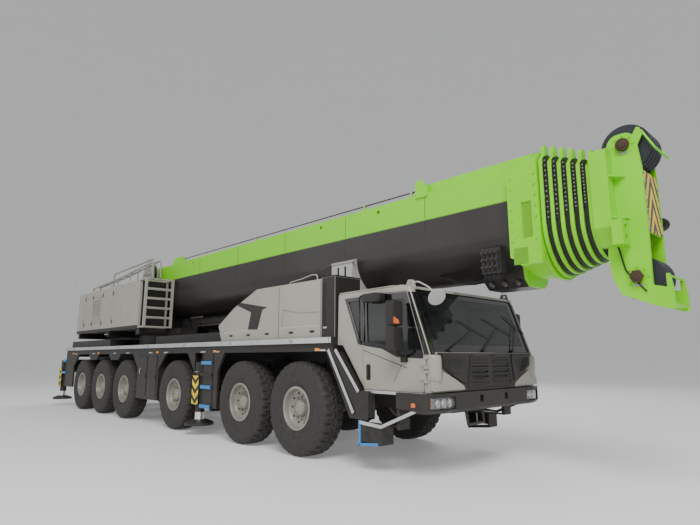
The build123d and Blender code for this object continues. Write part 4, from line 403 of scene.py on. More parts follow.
# %% Building blocks of the shaders
def shader_tree(name):
    """A new material's node tree; returns (material, nodes, links, shader, object coordinates)."""
    mat = bpy.data.materials.new(name)
    mat.use_nodes = True
    nodes, links = mat.node_tree.nodes, mat.node_tree.links
    where = nodes.new("ShaderNodeTexCoord").outputs["Object"]
    return mat, nodes, links, nodes["Principled BSDF"], where


def noise(nodes, links, where, scale, detail=4.0, rough=0.55, stretch=(1, 1, 1)):
    """Noise on Object coordinates, with the pattern stretched along an axis where asked."""
    mapping = nodes.new("ShaderNodeMapping")
    mapping.inputs["Scale"].default_value = stretch
    links.new(where, mapping.inputs["Vector"])
    tex = nodes.new("ShaderNodeTexNoise")
    tex.inputs["Scale"].default_value = scale
    tex.inputs["Detail"].default_value = detail
    tex.inputs["Roughness"].default_value = rough
    links.new(mapping.outputs["Vector"], tex.inputs["Vector"])
    return tex.outputs["Fac"]


def ramp(nodes, links, value, low, high, out_low=0.0, out_high=1.0):
    """Maps a value from low..high to out_low..out_high and clamps it there."""
    node = nodes.new("ShaderNodeMapRange")
    for key, number in (("From Min", low), ("From Max", high), ("To Min", out_low), ("To Max", out_high)):
        node.inputs[key].default_value = number
    links.new(value, node.inputs["Value"])
    return node.outputs["Result"]


def mix_colour(nodes, links, factor, first, second):
    """Colour first where factor is 0 and second where it is 1; each is a colour or a socket."""
    node = nodes.new("ShaderNodeMix")
    node.data_type = "RGBA"
    links.new(factor, node.inputs[0])
    for socket, value in ((node.inputs[6], first), (node.inputs[7], second)):
        if isinstance(value, (tuple, list)):
            socket.default_value = (*value, 1.0)
        else:
            links.new(value, socket)
    return node.outputs[2]


def maths(nodes, links, operation, a, b=None):
    """One step of arithmetic; each of a and b is a socket or a number."""
    node = nodes.new("ShaderNodeMath")
    node.operation = operation
    for socket, value in zip(node.inputs, (a, b)):
        if value is None:
            continue
        if isinstance(value, (int, float)):
            socket.default_value = value
        else:
            links.new(value, socket)
    return node.outputs[0]


def skin_bump(nodes, links, where, shader, strength, scale, distance=0.01, detail=2.0):
    """Fine noise as bump on the shader's normal."""
    bump = nodes.new("ShaderNodeBump")
    bump.inputs["Strength"].default_value = strength
    bump.inputs["Distance"].default_value = distance
    links.new(noise(nodes, links, where, scale, detail), bump.inputs["Height"])
    links.new(bump.outputs["Normal"], shader.inputs["Normal"])


def stripes(nodes, links, where, direction, pitch, mirror_y):
    """1 or 0 in bands: fract(p . direction / pitch) > 1/2, with |y| for y where the bands form chevrons."""
    point = where
    if mirror_y:
        split, join = nodes.new("ShaderNodeSeparateXYZ"), nodes.new("ShaderNodeCombineXYZ")
        links.new(where, split.inputs[0])
        links.new(split.outputs["X"], join.inputs["X"])
        links.new(maths(nodes, links, "ABSOLUTE", split.outputs["Y"]), join.inputs["Y"])
        links.new(split.outputs["Z"], join.inputs["Z"])
        point = join.outputs[0]
    dot = nodes.new("ShaderNodeVectorMath")
    dot.operation = "DOT_PRODUCT"
    dot.inputs[1].default_value = tuple(d / pitch for d in direction)
    links.new(point, dot.inputs[0])
    return maths(nodes, links, "GREATER_THAN", maths(nodes, links, "FRACT", dot.outputs["Value"]), 0.5)


def within_discs(nodes, links, split, discs):
    """1 where a point lies in one of the discs (x, z, radius, half_y) that stand square to Y."""
    found = None
    for x, z, radius, half in discs:
        dx = maths(nodes, links, "SUBTRACT", split.outputs["X"], x)
        dz = maths(nodes, links, "SUBTRACT", split.outputs["Z"], z)
        square = maths(
            nodes, links, "ADD", maths(nodes, links, "MULTIPLY", dx, dx),
            maths(nodes, links, "MULTIPLY", dz, dz)
        )
        near = maths(nodes, links, "LESS_THAN", square, radius**2)
        slim = maths(nodes, links, "LESS_THAN", maths(nodes, links, "ABSOLUTE", split.outputs["Y"]), half)
        here = maths(nodes, links, "MULTIPLY", near, slim)
        found = here if found is None else maths(nodes, links, "MAXIMUM", found, here)
    return found


def finish(
    name, colour, rough=0.35, metal=0.0, coat=0.0, tone=0.12, dust=0.25, dust_colour=(0.33, 0.29, 0.22),
    dust_top=2.2, skin=0.02, skin_scale=260.0, streaks=0.15, second=None, above=None, ahead_of=None,
    banded=None, discs=None
):
    """Paint, metal or plastic: tone that wanders, vertical runs, dust that thins out upwards, fine skin.

    A second colour fills everything above a height or ahead of a place along X, or every other band of a
    stripe pattern banded = (direction, pitch, mirror_y), or the discs of a row of sheaves.
    """
    mat, nodes, links, shader, where = shader_tree(name)
    split = nodes.new("ShaderNodeSeparateXYZ")
    links.new(where, split.inputs[0])
    patches = ramp(nodes, links, noise(nodes, links, where, 1.7, 5.0), 0.3, 0.75)
    darker = tuple(c * (1 - tone) for c in colour)
    lighter = tuple(min(1.0, c * (1 + tone) + 0.01 * tone) for c in colour)
    base = mix_colour(nodes, links, patches, darker, lighter)
    if second:
        if banded:
            where_second = stripes(nodes, links, where, *banded)
        elif discs:
            where_second = within_discs(nodes, links, split, discs)
        else:
            where_second = maths(
                nodes, links, "MAXIMUM", maths(nodes, links, "GREATER_THAN", split.outputs["Z"], above),
                maths(nodes, links, "GREATER_THAN", split.outputs["X"], ahead_of)
            )
        base = mix_colour(nodes, links, where_second, base, second)
    runs = ramp(
        nodes, links, noise(nodes, links, where, 5.0, 6.0, 0.7, (1.0, 1.0, 0.06)), 0.55, 0.85, 0.0, streaks
    )
    base = mix_colour(nodes, links, runs, base, tuple(c * 0.5 for c in dust_colour))
    low = ramp(nodes, links, split.outputs["Z"], 0.2, dust_top, 1.0, 0.0)
    speck = ramp(nodes, links, noise(nodes, links, where, 9.0, 8.0, 0.65), 0.35, 0.75, 0.0, 1.0)
    settled = ramp(nodes, links, maths(nodes, links, "MULTIPLY", low, speck), 0.0, 1.0, 0.0, dust)
    base = mix_colour(nodes, links, settled, base, dust_colour)
    links.new(base, shader.inputs["Base Color"])
    links.new(
        ramp(nodes, links, settled, 0.0, 0.5, rough, min(1.0, rough + 0.35)), shader.inputs["Roughness"]
    )
    shader.inputs["Metallic"].default_value = metal
    shader.inputs["Coat Weight"].default_value = coat
    shader.inputs["Coat Roughness"].default_value = 0.06
    shader.inputs["Specular IOR Level"].default_value = 0.35
    skin_bump(nodes, links, where, shader, skin, skin_scale)
    return mat

# %% Paints, metals and plastics
LIME_RGB, BOOM_RGB = (0.225, 0.72, 0.0), (0.030, 0.026, 0.024)
GREY = finish("warm_grey_paint", (0.365, 0.345, 0.300), 0.36, coat=0.3, dust=0.2, streaks=0.06, tone=0.05)
LIME = finish("lime_paint", LIME_RGB, 0.42, coat=0.08, dust=0.04, dust_top=1.0, streaks=0.05, tone=0.06)
LIME_DARK = finish("lime_edge", (0.13, 0.40, 0.0), 0.35, coat=0.3, dust=0.1, streaks=0.05)
BOOM_DARK = finish("boom_dark_paint", BOOM_RGB, 0.38, coat=0.12, dust=0.05, streaks=0.06)
BOOM_BASE_PAINT = finish("boom_two_tone", BOOM_RGB, 0.38, coat=0.12, dust=0.05, streaks=0.05, second=LIME_RGB,
                         above=TOP - 0.452, ahead_of=COLLAR - 0.004)
DARK = finish("dark_grey_paint", (0.026, 0.023, 0.021), 0.48, coat=0.05, dust=0.07, streaks=0.04)
CHASSIS = finish("chassis_paint", (0.018, 0.017, 0.016), 0.55, dust=0.14)
STEEL = finish("bare_steel", (0.45, 0.44, 0.42), 0.32, metal=0.9, dust=0.15, streaks=0.1)
DARK_STEEL = finish("oiled_steel", (0.10, 0.095, 0.09), 0.38, metal=0.8, dust=0.1, skin=0.05)
SHEAVE = finish("sheave_polymer", (0.030, 0.033, 0.042), 0.42, dust=0.1, skin=0.04, streaks=0.05)
SILVER = finish("silver_edge", (0.62, 0.63, 0.63), 0.28, metal=0.6, dust=0.15, streaks=0.05)
CHROME = finish("rod_chrome", (0.75, 0.75, 0.75), 0.08, metal=1.0, dust=0.0, tone=0.03, skin=0.003)
CAST = finish("cast_iron", (0.04, 0.038, 0.036), 0.6, metal=0.3, dust=0.35, skin=0.15, skin_scale=120.0)
BLACK = finish(
    "black_plastic", (0.012, 0.012, 0.012), 0.45, dust=0.12, skin=0.06, skin_scale=420.0, streaks=0.05
)
BORDER = finish(
    "black_glass_border", (0.006, 0.006, 0.007), 0.12, coat=0.8, dust=0.08, skin=0.003, streaks=0.04
)
BLUE = finish("blue_grip_paint", (0.022, 0.24, 0.60), 0.4, coat=0.2, dust=0.2)
HEAD_PAINT = finish("head_paint", LIME_RGB, 0.42, coat=0.08, dust=0.04, dust_top=1.0, streaks=0.05, tone=0.06,
                    second=(0.030, 0.033, 0.042), discs=((*UPPER, 0.287, 0.235), (*LOWER, 0.260, 0.235)))
PIN_BROWN = finish("greased_pin", (0.085, 0.052, 0.035), 0.5, metal=0.5, dust=0.2, skin=0.1, skin_scale=60.0)
ORANGE = finish("marker_orange", (0.90, 0.16, 0.01), 0.15, coat=0.8, dust=0.05, streaks=0.02)
RED = finish("lamp_red", (0.55, 0.01, 0.01), 0.15, coat=0.8, dust=0.05, streaks=0.02)
AMBER = finish("beacon_amber", (0.95, 0.33, 0.02), 0.15, coat=0.8, dust=0.05, streaks=0.02)
CLEAR = finish(
    "lamp_clear", (0.82, 0.84, 0.85), 0.08, metal=0.3, coat=1.0, dust=0.05, streaks=0.02, tone=0.02
)
RIM = finish("rim_paint", (0.30, 0.285, 0.255), 0.38, metal=0.25, dust=0.3, skin=0.03)
TRIM = finish("cab_trim", (0.030, 0.030, 0.032), 0.65, dust=0.0, skin=0.1, skin_scale=300.0)
CLOTH = finish(
    "seat_cloth", (0.05, 0.052, 0.058), 0.9, dust=0.0, skin=0.35, skin_scale=700.0, streaks=0.0, tone=0.2
)
ROPE = finish("steel_rope", (0.16, 0.155, 0.15), 0.45, metal=0.7, dust=0.1, skin=0.4, skin_scale=150.0)
LIGHT_PLATE = finish("light_plate", (0.60, 0.60, 0.58), 0.35, dust=0.1, streaks=0.05, tone=0.03)
PALE = finish("pale_panel", (0.46, 0.455, 0.43), 0.34, coat=0.3, dust=0.15, streaks=0.05, tone=0.04)
YELLOW_RGB = (0.88, 0.66, 0.0)
HAZARD_YELLOW = finish("hazard_yellow", YELLOW_RGB, 0.4, dust=0.08, streaks=0.05)
HEAD_STRIPES = finish("hazard_chevron", (0.06, 0.055, 0.055), 0.4, coat=0.1, dust=0.05, second=YELLOW_RGB,
                      banded=((0.0, 0.88, 0.47), 0.13, True))
print("finishes:", len(bpy.data.materials))

# %% [markdown]
# Tyre rubber is dull and a little brown with dust in its pores. Window glass is thin, dark and very glossy.

# %% Rubber and glass
def rubber():
    """Rough dark rubber with fine grain, and dust where the noise is high."""
    mat, nodes, links, shader, where = shader_tree("tyre_rubber")
    dusty = ramp(nodes, links, noise(nodes, links, where, 14.0, 8.0, 0.7), 0.35, 0.8, 0.0, 0.4)
    links.new(
        mix_colour(nodes, links, dusty, (0.026, 0.025, 0.024), (0.11, 0.098, 0.082)),
        shader.inputs["Base Color"]
    )
    shader.inputs["Roughness"].default_value = 0.8
    skin_bump(nodes, links, where, shader, 0.25, 90.0, 0.004, 5.0)
    return mat


def window_glass(name, tint, clear):
    """Thin tinted glass: sharp reflections, a faint film of dust in its roughness."""
    mat, nodes, links, shader, where = shader_tree(name)
    links.new(
        ramp(nodes, links, noise(nodes, links, where, 3.0, 6.0), 0.4, 0.8, 0.02, 0.10),
        shader.inputs["Roughness"]
    )
    shader.inputs["Base Color"].default_value = (*tint, 1.0)
    shader.inputs["Transmission Weight"].default_value = clear
    shader.inputs["IOR"].default_value = 1.45
    return mat


RUBBER = rubber()
GLASS = window_glass("window_glass", (0.13, 0.15, 0.15), 0.9)
LAMP_GLASS = window_glass("lamp_glass", (0.95, 0.96, 0.96), 0.95)
MIRROR = finish(
    "mirror_glass", (0.80, 0.82, 0.83), 0.03, metal=1.0, dust=0.05, skin=0.0, streaks=0.0, tone=0.01
)

# %% Finish of every node of the frame
NODE_FINISH = {"window_glass": GLASS, "chrome_rod": CHROME, "trim_plastic": TRIM, "tyre_rubber": RUBBER}
NODE_FINISH.update(
    grey_paint=GREY, green_paint=LIME, boom_dark_paint=BOOM_DARK, dark_paint=DARK, dark_steel=CAST
)
OWN_FINISH = {"boom_base": BOOM_BASE_PAINT, "boom_rest": PALE, "carrier_deck": DARK, "winch_drum": STEEL,
              "boom_section_7": HEAD_PAINT}
slot_of = {row["node"]: row["material_slot"] for row in frame["record"]["subparts"]}
for node, obj in frame["nodes"].items():
    obj.data.materials.clear()
    obj.data.materials.append(OWN_FINISH.get(node, NODE_FINISH[slot_of[node]]))
print("painted", len(slot_of), "nodes")

# %% [markdown]
# A crane tyre is a grid wound round the hub: one way across the tread and down the walls, the other way
# round. Grooves are not cut. We lower the radius wherever a groove runs: one zigzag line along the middle,
# and short cross cuts on each shoulder, half a pitch apart so that they never face each other.

# %% Tyres
TREAD_PITCHES = 34


def tyre(centre, side):
    """P = centre + d*side + (r(d) - depth*groove(a, d)) * (cos a, sin a): r(d) is the tyre's section."""
    across_tread = np.array(
        [-0.158, -0.125, -0.09, -0.06, -0.042, -0.026, -0.012, 0.012, 0.026, 0.042, 0.06, 0.09, 0.125, 0.158]
    )
    wall = np.array([
        (0.178, 0.726, 0.8), (0.195, 0.703, 0.45), (0.203, 0.680, 0), (0.210, 0.640, 0), (0.2135, 0.600, 0),
        (0.2150, 0.592, 0), (0.2150, 0.580, 0), (0.2135, 0.572, 0), (0.2140, 0.530, 0), (0.211, 0.480, 0),
        (0.205, 0.440, 0), (0.208, 0.434, 0), (0.206, 0.424, 0), (0.199, 0.400, 0), (0.190, 0.376, 0),
        (0.181, 0.354, 0), (0.178, 0.3215, 0)
    ])
    wall[:, 1] *= TYRE_R / 0.745
    tread = np.stack(
        [across_tread, TYRE_R - 0.006 * (across_tread / 0.158) ** 2, np.ones(len(across_tread))], -1
    )
    back = wall[::-1] * (-1, 1, 1)
    d, r, reach = np.concatenate([back, tread, wall]).T
    turns = TREAD_PITCHES * 8
    a = np.linspace(0, 2 * math.pi, turns, endpoint=False)[:, None]
    phase = a * TREAD_PITCHES / (2 * math.pi)
    zigzag = 0.026 * (np.abs((phase % 1) * 4 - 2) - 1)
    middle = np.abs(d[None] - zigzag) < 0.0135
    stagger = np.where(d[None] > 0, 0.0, 0.5)
    cross = (np.abs(((phase + stagger) % 1) - 0.5) < 0.15) & (np.abs(d[None]) > 0.05)
    sipe = (
        np.abs(((phase + stagger) % 1) - 0.02) < 0.07
    ) & (np.abs(d[None]) > 0.02) & (np.abs(d[None]) < 0.10)
    depth = reach[None] * np.maximum(0.021 * (middle | cross), 0.009 * sipe)
    radius = r[None] - depth
    pts = np.stack(
        [radius * np.cos(a), np.broadcast_to(side * d[None], radius.shape), radius * np.sin(a)], -1
    )
    return pts.reshape(-1, 3) + centre, grid_quads(turns, len(d), wrap_rows=True, wrap_cols=True)


def holed_disc(centre, side, holes=10, ring=0.243, hole=0.022, count=24, levels=4):
    """The dished wheel disc: each hole's circle is drawn out to the edges of its own sector, on both
    faces."""
    inner, outer, dish = 0.205, 0.281, 0.024 / 0.076
    th = np.linspace(0, 2 * math.pi, count, endpoint=False)
    square = np.stack([np.cos(th), np.sin(th)]) / np.maximum(np.abs(np.cos(th)), np.abs(np.sin(th)))
    t = np.linspace(0, 1, levels)[:, None]
    mid = np.arange(holes)[:, None, None] * 2 * math.pi / holes
    turn = mid + (1 - t) * hole * np.cos(th) / ring + t * square[0] * math.pi / holes
    edge = np.where(square[1] > 0, ring + (outer - ring) * square[1], ring + (ring - inner) * square[1])
    r = (1 - t) * (ring + hole * np.sin(th)) + t * edge
    r = np.broadcast_to(r, turn.shape)
    d = 0.060 + (r - inner) * dish
    turn, r, d = (np.concatenate([x[:, ::-1], y], 1) for x, y in ((turn, turn), (r, r), (d, d - 0.030)))
    pts = np.stack([r * np.cos(turn), side * d, r * np.sin(turn)], -1)
    rows = 2 * levels
    one = grid_quads(rows, count, wrap_cols=True).tolist()
    for j in range(count):
        k, last = (j + 1) % count, (rows - 1) * count
        if abs(square[1][j] + square[1][k]) > 1.999:  # an inner or outer edge: join front and back
            one.append([j, k, last + k, last + j])
    one = np.array(one)
    faces = np.concatenate([one + k * rows * count for k in range(holes)])
    return pts.reshape(-1, 3) + centre, faces


def rim(centre, side):
    """Wheel rim: a lathed barrel with its lips, the holed disc, ten wheel nuts, and the hub with its own
    bolts."""
    axis = (0, side, 0)
    barrel = [
        (0.178, 0.3212), (0.1782, 0.338), (0.183, 0.344), (0.191, 0.344), (0.196, 0.338), (0.196, 0.312),
        (0.186, 0.306), (0.150, 0.302), (0.120, 0.296), (0.092, 0.290), (0.084, 0.281), (0.054, 0.279),
        (0.030, 0.272), (-0.120, 0.276), (-0.170, 0.300), (-0.196, 0.309), (-0.196, 0.338), (-0.190, 0.344),
        (-0.182, 0.344), (-0.178, 0.338), (-0.178, 0.3212), (-0.10, 0.300), (0.10, 0.304)
    ]
    hub = [
        (0.030, 0.0), (0.030, 0.205), (0.060, 0.205), (0.060, 0.150), (0.066, 0.146), (0.101, 0.127),
        (0.112, 0.125), (0.125, 0.112), (0.131, 0.095), (0.133, 0.078), (0.139, 0.072), (0.141, 0.05),
        (0.141, 0.012), (0.136, 0.0)
    ]
    back = [(0.026, 0.0), (0.026, 0.272), (0.0295, 0.272), (0.0295, 0.0)]
    parts = [lathe(centre, axis, barrel, 96), lathe(centre, axis, hub, 64), lathe(centre, axis, back, 64),
             holed_disc(centre, side)]
    nut = [
        (0, 0), (0, 0.024), (0.006, 0.024), (0.006, 0.0185), (0.026, 0.0175), (0.030, 0.012), (0.042, 0.012),
        (0.044, 0)
    ]
    for k in range(10):
        t = 2 * math.pi * (k + 0.5) / 10
        place = centre + np.array([0.177 * math.cos(t), side * 0.0602, 0.177 * math.sin(t)])
        parts.append(lathe(place, axis, nut, 6))
    for k in range(12):
        t = 2 * math.pi * k / 12
        place = centre + np.array([0.107 * math.cos(t), side * 0.125, 0.107 * math.sin(t)])
        parts.append(lathe(place, axis, [(0, 0), (0, 0.0085), (0.012, 0.008), (0.012, 0)], 6))
    return stack(*parts)


for n in AXLES:
    for side_name, side in SIDES:
        node = wheel_name(n, side_name)
        hub_at = node_centre(node)
        piece(
            f"tyre_{n}_{side_name}", tyre(hub_at, side), RUBBER, node, stands_for=(node,)
        )
        piece(f"rim_{n}_{side_name}", rim(hub_at, side), RIM, node, stands_for=(node,))
print("wheels dressed:", len(PIECES))

# %% [markdown]
# The boom's head holds two rows of rope sheaves. The frame's own sheaves are one solid with the head, so they
# are dark in the head's own paint and each gets grooves of its own. Chevrons on the front plate are a
# property of its paint.

# %% Boom head
def skin_sheave(x, z, radius, y):
    """A grooved sheave, lathed about Y, over the plainer one of the frame."""
    r = radius - 0.0003
    return lathe(
        (x, y, z), (0, 1, 0),
        [
            (-0.031, 0.055), (-0.031, r * 0.45), (-0.026, r * 0.47), (-0.026, r * 0.86), (-0.031, r * 0.88),
            (-0.031, r), (-0.020, r), (0.0, r - 0.027), (0.020, r), (0.031, r), (0.031, r * 0.88),
            (0.026, r * 0.86), (0.026, r * 0.47), (0.031, r * 0.45), (0.031, 0.055)
        ], 64
    )


HEAD_BODY = "boom_section_7"
sheaves = [skin_sheave(*UPPER, 0.285, k * 0.09) for k in range(-2, 3)]
sheaves += [skin_sheave(*LOWER, 0.258, k * 0.09) for k in range(-2, 3)]
piece("head_sheaves", stack(*sheaves), SHEAVE, HEAD_BODY)
pins = []
for (x, z), half in ((UPPER, 0.34), (LOWER, 0.355)):
    for side in (-1, 1):
        pins.append(lathe((x, side * (half - 0.03), z), (0, side, 0),
                          [(0, 0), (0, 0.078), (0.018, 0.082), (0.034, 0.076), (0.034, 0.05), (0.046, 0.046),
                           (0.046, 0)], 6 if half > 0.35 else 32))
piece("head_pins", stack(*pins), PIN_BROWN, HEAD_BODY, bevel=0.003)
plate_low, plate_high = (HEAD + 0.4705, -0.252, BELLY + 0.345), (HEAD + 0.4735, 0.252, TOP - 0.355)
piece("head_chevrons", brick(plate_low, plate_high), HEAD_STRIPES, HEAD_BODY, bevel=0.001)
head_bolts = [
    (HEAD + 0.4735, y, z) for y in (-0.235, 0.235) for z in np.linspace(BELLY + 0.38, TOP - 0.39, 7)
]
piece("head_plate_bolts", bolts(head_bolts, (1, 0, 0)), STEEL, HEAD_BODY)
cheek_bolts = []
for x, z in arc(UPPER, 0.118, 0, 315, 8) + arc(LOWER, 0.118, 0, 315, 8):
    cheek_bolts.append((x, -0.3, z))
cheek_bolts += [(HEAD + 0.12, -0.3, z) for z in np.linspace(BELLY + 0.25, TOP - 0.25, 9)]
piece("cheek_bolts", both(bolts(cheek_bolts, (0, -1, 0), 0.013)), LIME, HEAD_BODY)
ball = lathe((HEAD + 0.44, 0.3, BELLY + 0.545), (0, 1, 0),
             [(0, 0), (0, 0.03), (0.050, 0.03), (0.052, 0.064), (0.09, 0.082), (0.14, 0.083), (0.172, 0.073),
              (0.187, 0.047), (0.1925, 0)], 40)
piece("head_lamp", ball, BLACK, HEAD_BODY)
# small plates that keep the sheave pins, and the wiring along the near cheek
keepers = [prism([(x - 0.05, z - 0.115), (x + 0.05, z - 0.115), (x + 0.05, z - 0.085), (x - 0.05, z - 0.085)],
                 -0.312, -0.298) for x, z in (UPPER, LOWER)]
piece("pin_keepers", both(stack(*keepers)), STEEL, HEAD_BODY, bevel=0.002)
cable = [
    (HEAD + 0.10, -0.312, TOP - 0.16), (HEAD + 0.13, -0.312, TOP - 0.6), (HEAD + 0.12, -0.312, BELLY + 0.3),
    (HEAD + 0.20, -0.312, BELLY - 0.1), (HEAD + 0.40, -0.312, BELLY - 0.36)
]
piece("head_wiring", bent(cable, 0.009), BLACK, HEAD_BODY)

# %% [markdown]
# Each rib carries the sliding pads that the next section runs on. Their adjusters look out of the rib as rows
# of bolts on dark strips, which is what makes the nest of ribs read as machinery and not as a stack of
# frames.

# %% Ribs, collar and the boom's sides
for n in range(1, 7):
    rib = f"boom_section_{n}"
    step = 0.034 * n
    rib_x = HEAD - (7 - n) * 0.104
    half, low, high = 0.575 - step + 0.088, BELLY + step - 0.088, TOP - step + 0.088
    front = rib_x + 0.046
    strips, heads = [], []
    for z0, z1 in ((high - 0.55, high - 0.14), (low + 0.62, low + 0.95)):
        strips.append(brick((front - 0.001, -half + 0.012, z0), (front + 0.010, -half + 0.062, z1)))
        heads += [(front + 0.010, -half + 0.037, z) for z in np.linspace(z0 + 0.04, z1 - 0.04, 4)]
    for k in range(-2, 3):
        heads.append((front, k * half * 0.36, high - 0.035))
    piece(f"rib_strips_{n}", both(stack(*strips)), BLACK, rib, bevel=0.002)
    piece(f"rib_bolts_{n}", stack(both(bolts([h for h in heads if h[1] < -0.3 * half], (1, 0, 0), 0.011)),
                                  bolts([h for h in heads if h[1] >= -0.3 * half], (1, 0, 0), 0.011)),
          STEEL, rib)
    # a black belt fills the gap in front of the rib, with a row of small bolts
    belt = u_ring(0.063 - step, -step - 0.030, rib_x + 0.047, rib_x + 0.100)
    piece(f"belt_{n}", belt, BLACK, rib)
    side_heads = [(rib_x + 0.073, 0.025 - half, z) for z in np.linspace(low + 0.70, high - 0.10, 12)]
    piece(f"belt_bolts_{n}", both(bolts(side_heads, (0, -1, 0), 0.008, 0.006)), RIM, rib)

BASE = "boom"
collar_bolts = [
    (COLLAR + x, -0.66, z) for x in (0.05, 0.385) for z in np.linspace(BELLY + 0.25, TOP - 0.2, 8)
]
piece("collar_bolts", both(bolts(collar_bolts, (0, -1, 0))), LIME, BASE)
# darker lime plates over the collar's two shallow recesses: painted shade in the recesses
panel = stack(brick((COLLAR + 0.20, -0.643, BELLY + 0.43), (COLLAR + 0.32, -0.6415, BELLY + 0.89)),
              brick((COLLAR + 0.05, -0.6612, BELLY + 0.08), (COLLAR + 0.25, -0.659, BELLY + 0.30)))
piece("collar_recess_shade", both(panel), LIME_DARK, BASE)
seam = []
for x in (-5.2, -3.4, -1.6, 0.2, 2.0):
    seam.append(brick((ahead(x) - 0.004, -0.5765, BELLY + 0.60), (ahead(x) + 0.004, -0.574, TOP - 0.05)))
piece("boom_welds", both(stack(*seam)), BOOM_DARK, BASE)
edge = brick((ahead(-7.0), -0.5768, TOP - 0.462), (COLLAR - 0.002, -0.5745, TOP - 0.448))
piece("boom_colour_edge", both(edge), LIME_DARK, BASE)
# cable along the top, held by the posts, with a clamp on each
posts = [ahead(x) for x in (-6.39, -2.91, 0.53, 1.61)]
line = np.array([(x, -0.40, TOP + 0.118) for x in (posts[0] - 0.25, *posts, ahead(2.02))])
piece("boom_top_cable", tube(line, 0.011, 8), BLACK, BASE)
clamps = [brick((x - 0.022, -0.424, TOP + 0.10), (x + 0.022, -0.376, TOP + 0.138)) for x in posts]
piece("cable_clamps", stack(*clamps), STEEL, BASE, bevel=0.003)
# valve block with its hoses under the boom's front end
valve = [
    brick((ahead(3.0 + 0.068 * k), -0.642, BELLY + 0.05), (ahead(3.055 + 0.068 * k), -0.62, BELLY + 0.34))
    for k in range(4)
]
piece("valve_slices", stack(*valve), CAST, BASE, bevel=0.004)
knobs = [lathe((ahead(3.03 + 0.068 * k), -0.641, BELLY + z), (0, -1, 0),
               [(0, 0), (0, 0.02), (0.02, 0.02), (0.02, 0.012), (0.05, 0.012), (0.05, 0)], 16)
         for k in range(4) for z in (0.1, 0.2, 0.3)]
piece("valve_plugs", stack(*knobs), DARK_STEEL, BASE)
hoses = []
for k in range(4):
    x = ahead(3.03 + 0.068 * k)
    hoses.append(bent(
        [
            (x, -0.60, BELLY + 0.03), (x, -0.60, BELLY - 0.05), (x - 0.25 - 0.05 * k, -0.55, BELLY - 0.09),
            (ahead(2.5), -0.45 + 0.03 * k, BELLY - 0.02), (ahead(2.1), -0.36, BELLY + 0.11)
        ], 0.014
    ))
piece("valve_hoses", stack(*hoses), BLACK, BASE)
gear = [lathe((ahead(2.95 + 0.2 * k), -0.3, BELLY - 0.09), (0, -1, 0),
              [(0, 0), (0, 0.045), (0.03, 0.045), (0.045, 0.03), (0.045, 0)], 20) for k in range(3)]
piece("lock_cylinders", both(stack(*gear)), DARK_STEEL, BASE)
print("boom dressed:", len(PIECES))

# %% [markdown]
# Glass reads as glass only with its black border, a frit printed round the edge that hides the glue. The
# doors come in again as shells with a real opening, a tinted pane set into it and the border over both. The
# same framed plate serves door, pane border and windscreen: only the outlines differ.

# %% Cab doors, side glass and mirrors
DOOR = [(ahead(x), z) for x, z in ((1.427, FLOOR + 0.002), (2.533, FLOOR + 0.002), (2.538, SILL - 0.02),
                                   (2.273, ROOF - 0.107), (1.427, ROOF - 0.097))]
DOOR_HOLE = [(ahead(x), z) for x, z in ((1.475, SILL + 0.135), (1.80, SILL + 0.085), (2.08, SILL - 0.03),
                                        (2.45, SILL - 0.045), (2.44, SILL + 0.16), (2.255, ROOF - 0.165),
                                        (1.475, ROOF - 0.155))]
DOOR_BLACK = [(ahead(x), z) for x, z in ((1.432, SILL + 0.10), (1.80, SILL + 0.05), (2.07, SILL - 0.065),
                                         (2.525, SILL - 0.085), (2.532, SILL - 0.025), (2.268, ROOF - 0.114),
                                         (1.432, ROOF - 0.104))]
QUARTER = [(ahead(x), z) for x, z in ((1.09, ROOF - 0.155), (1.385, ROOF - 0.145), (1.385, SILL + 0.15),
                                      (1.335, SILL + 0.165))]


def swollen(outline, by):
    """An outline with every point moved away from the middle by a distance."""
    p = np.array(outline, float)
    way = p - p.mean(0)
    return p + way / np.linalg.norm(way, axis=1)[:, None] * by


def slab_of(outline, low, high, plane="xz", rounding=0.02, count=120):
    """A flat plate with softened corners."""
    return prism(resampled(outline, count, rounding), low, high, plane)


def creased_strip(path, half, y_low, y_high):
    """A straight flat bar in the XZ plane between two points, with a given half width."""
    (x0, z0), (x1, z1) = path
    nx, nz = -(z1 - z0), x1 - x0
    size = math.hypot(nx, nz) / half
    nx, nz = nx / size, nz / size
    return prism(
        [(x0 + nx, z0 + nz), (x1 + nx, z1 + nz), (x1 - nx, z1 - nz), (x0 - nx, z0 - nz)], y_low, y_high
    )


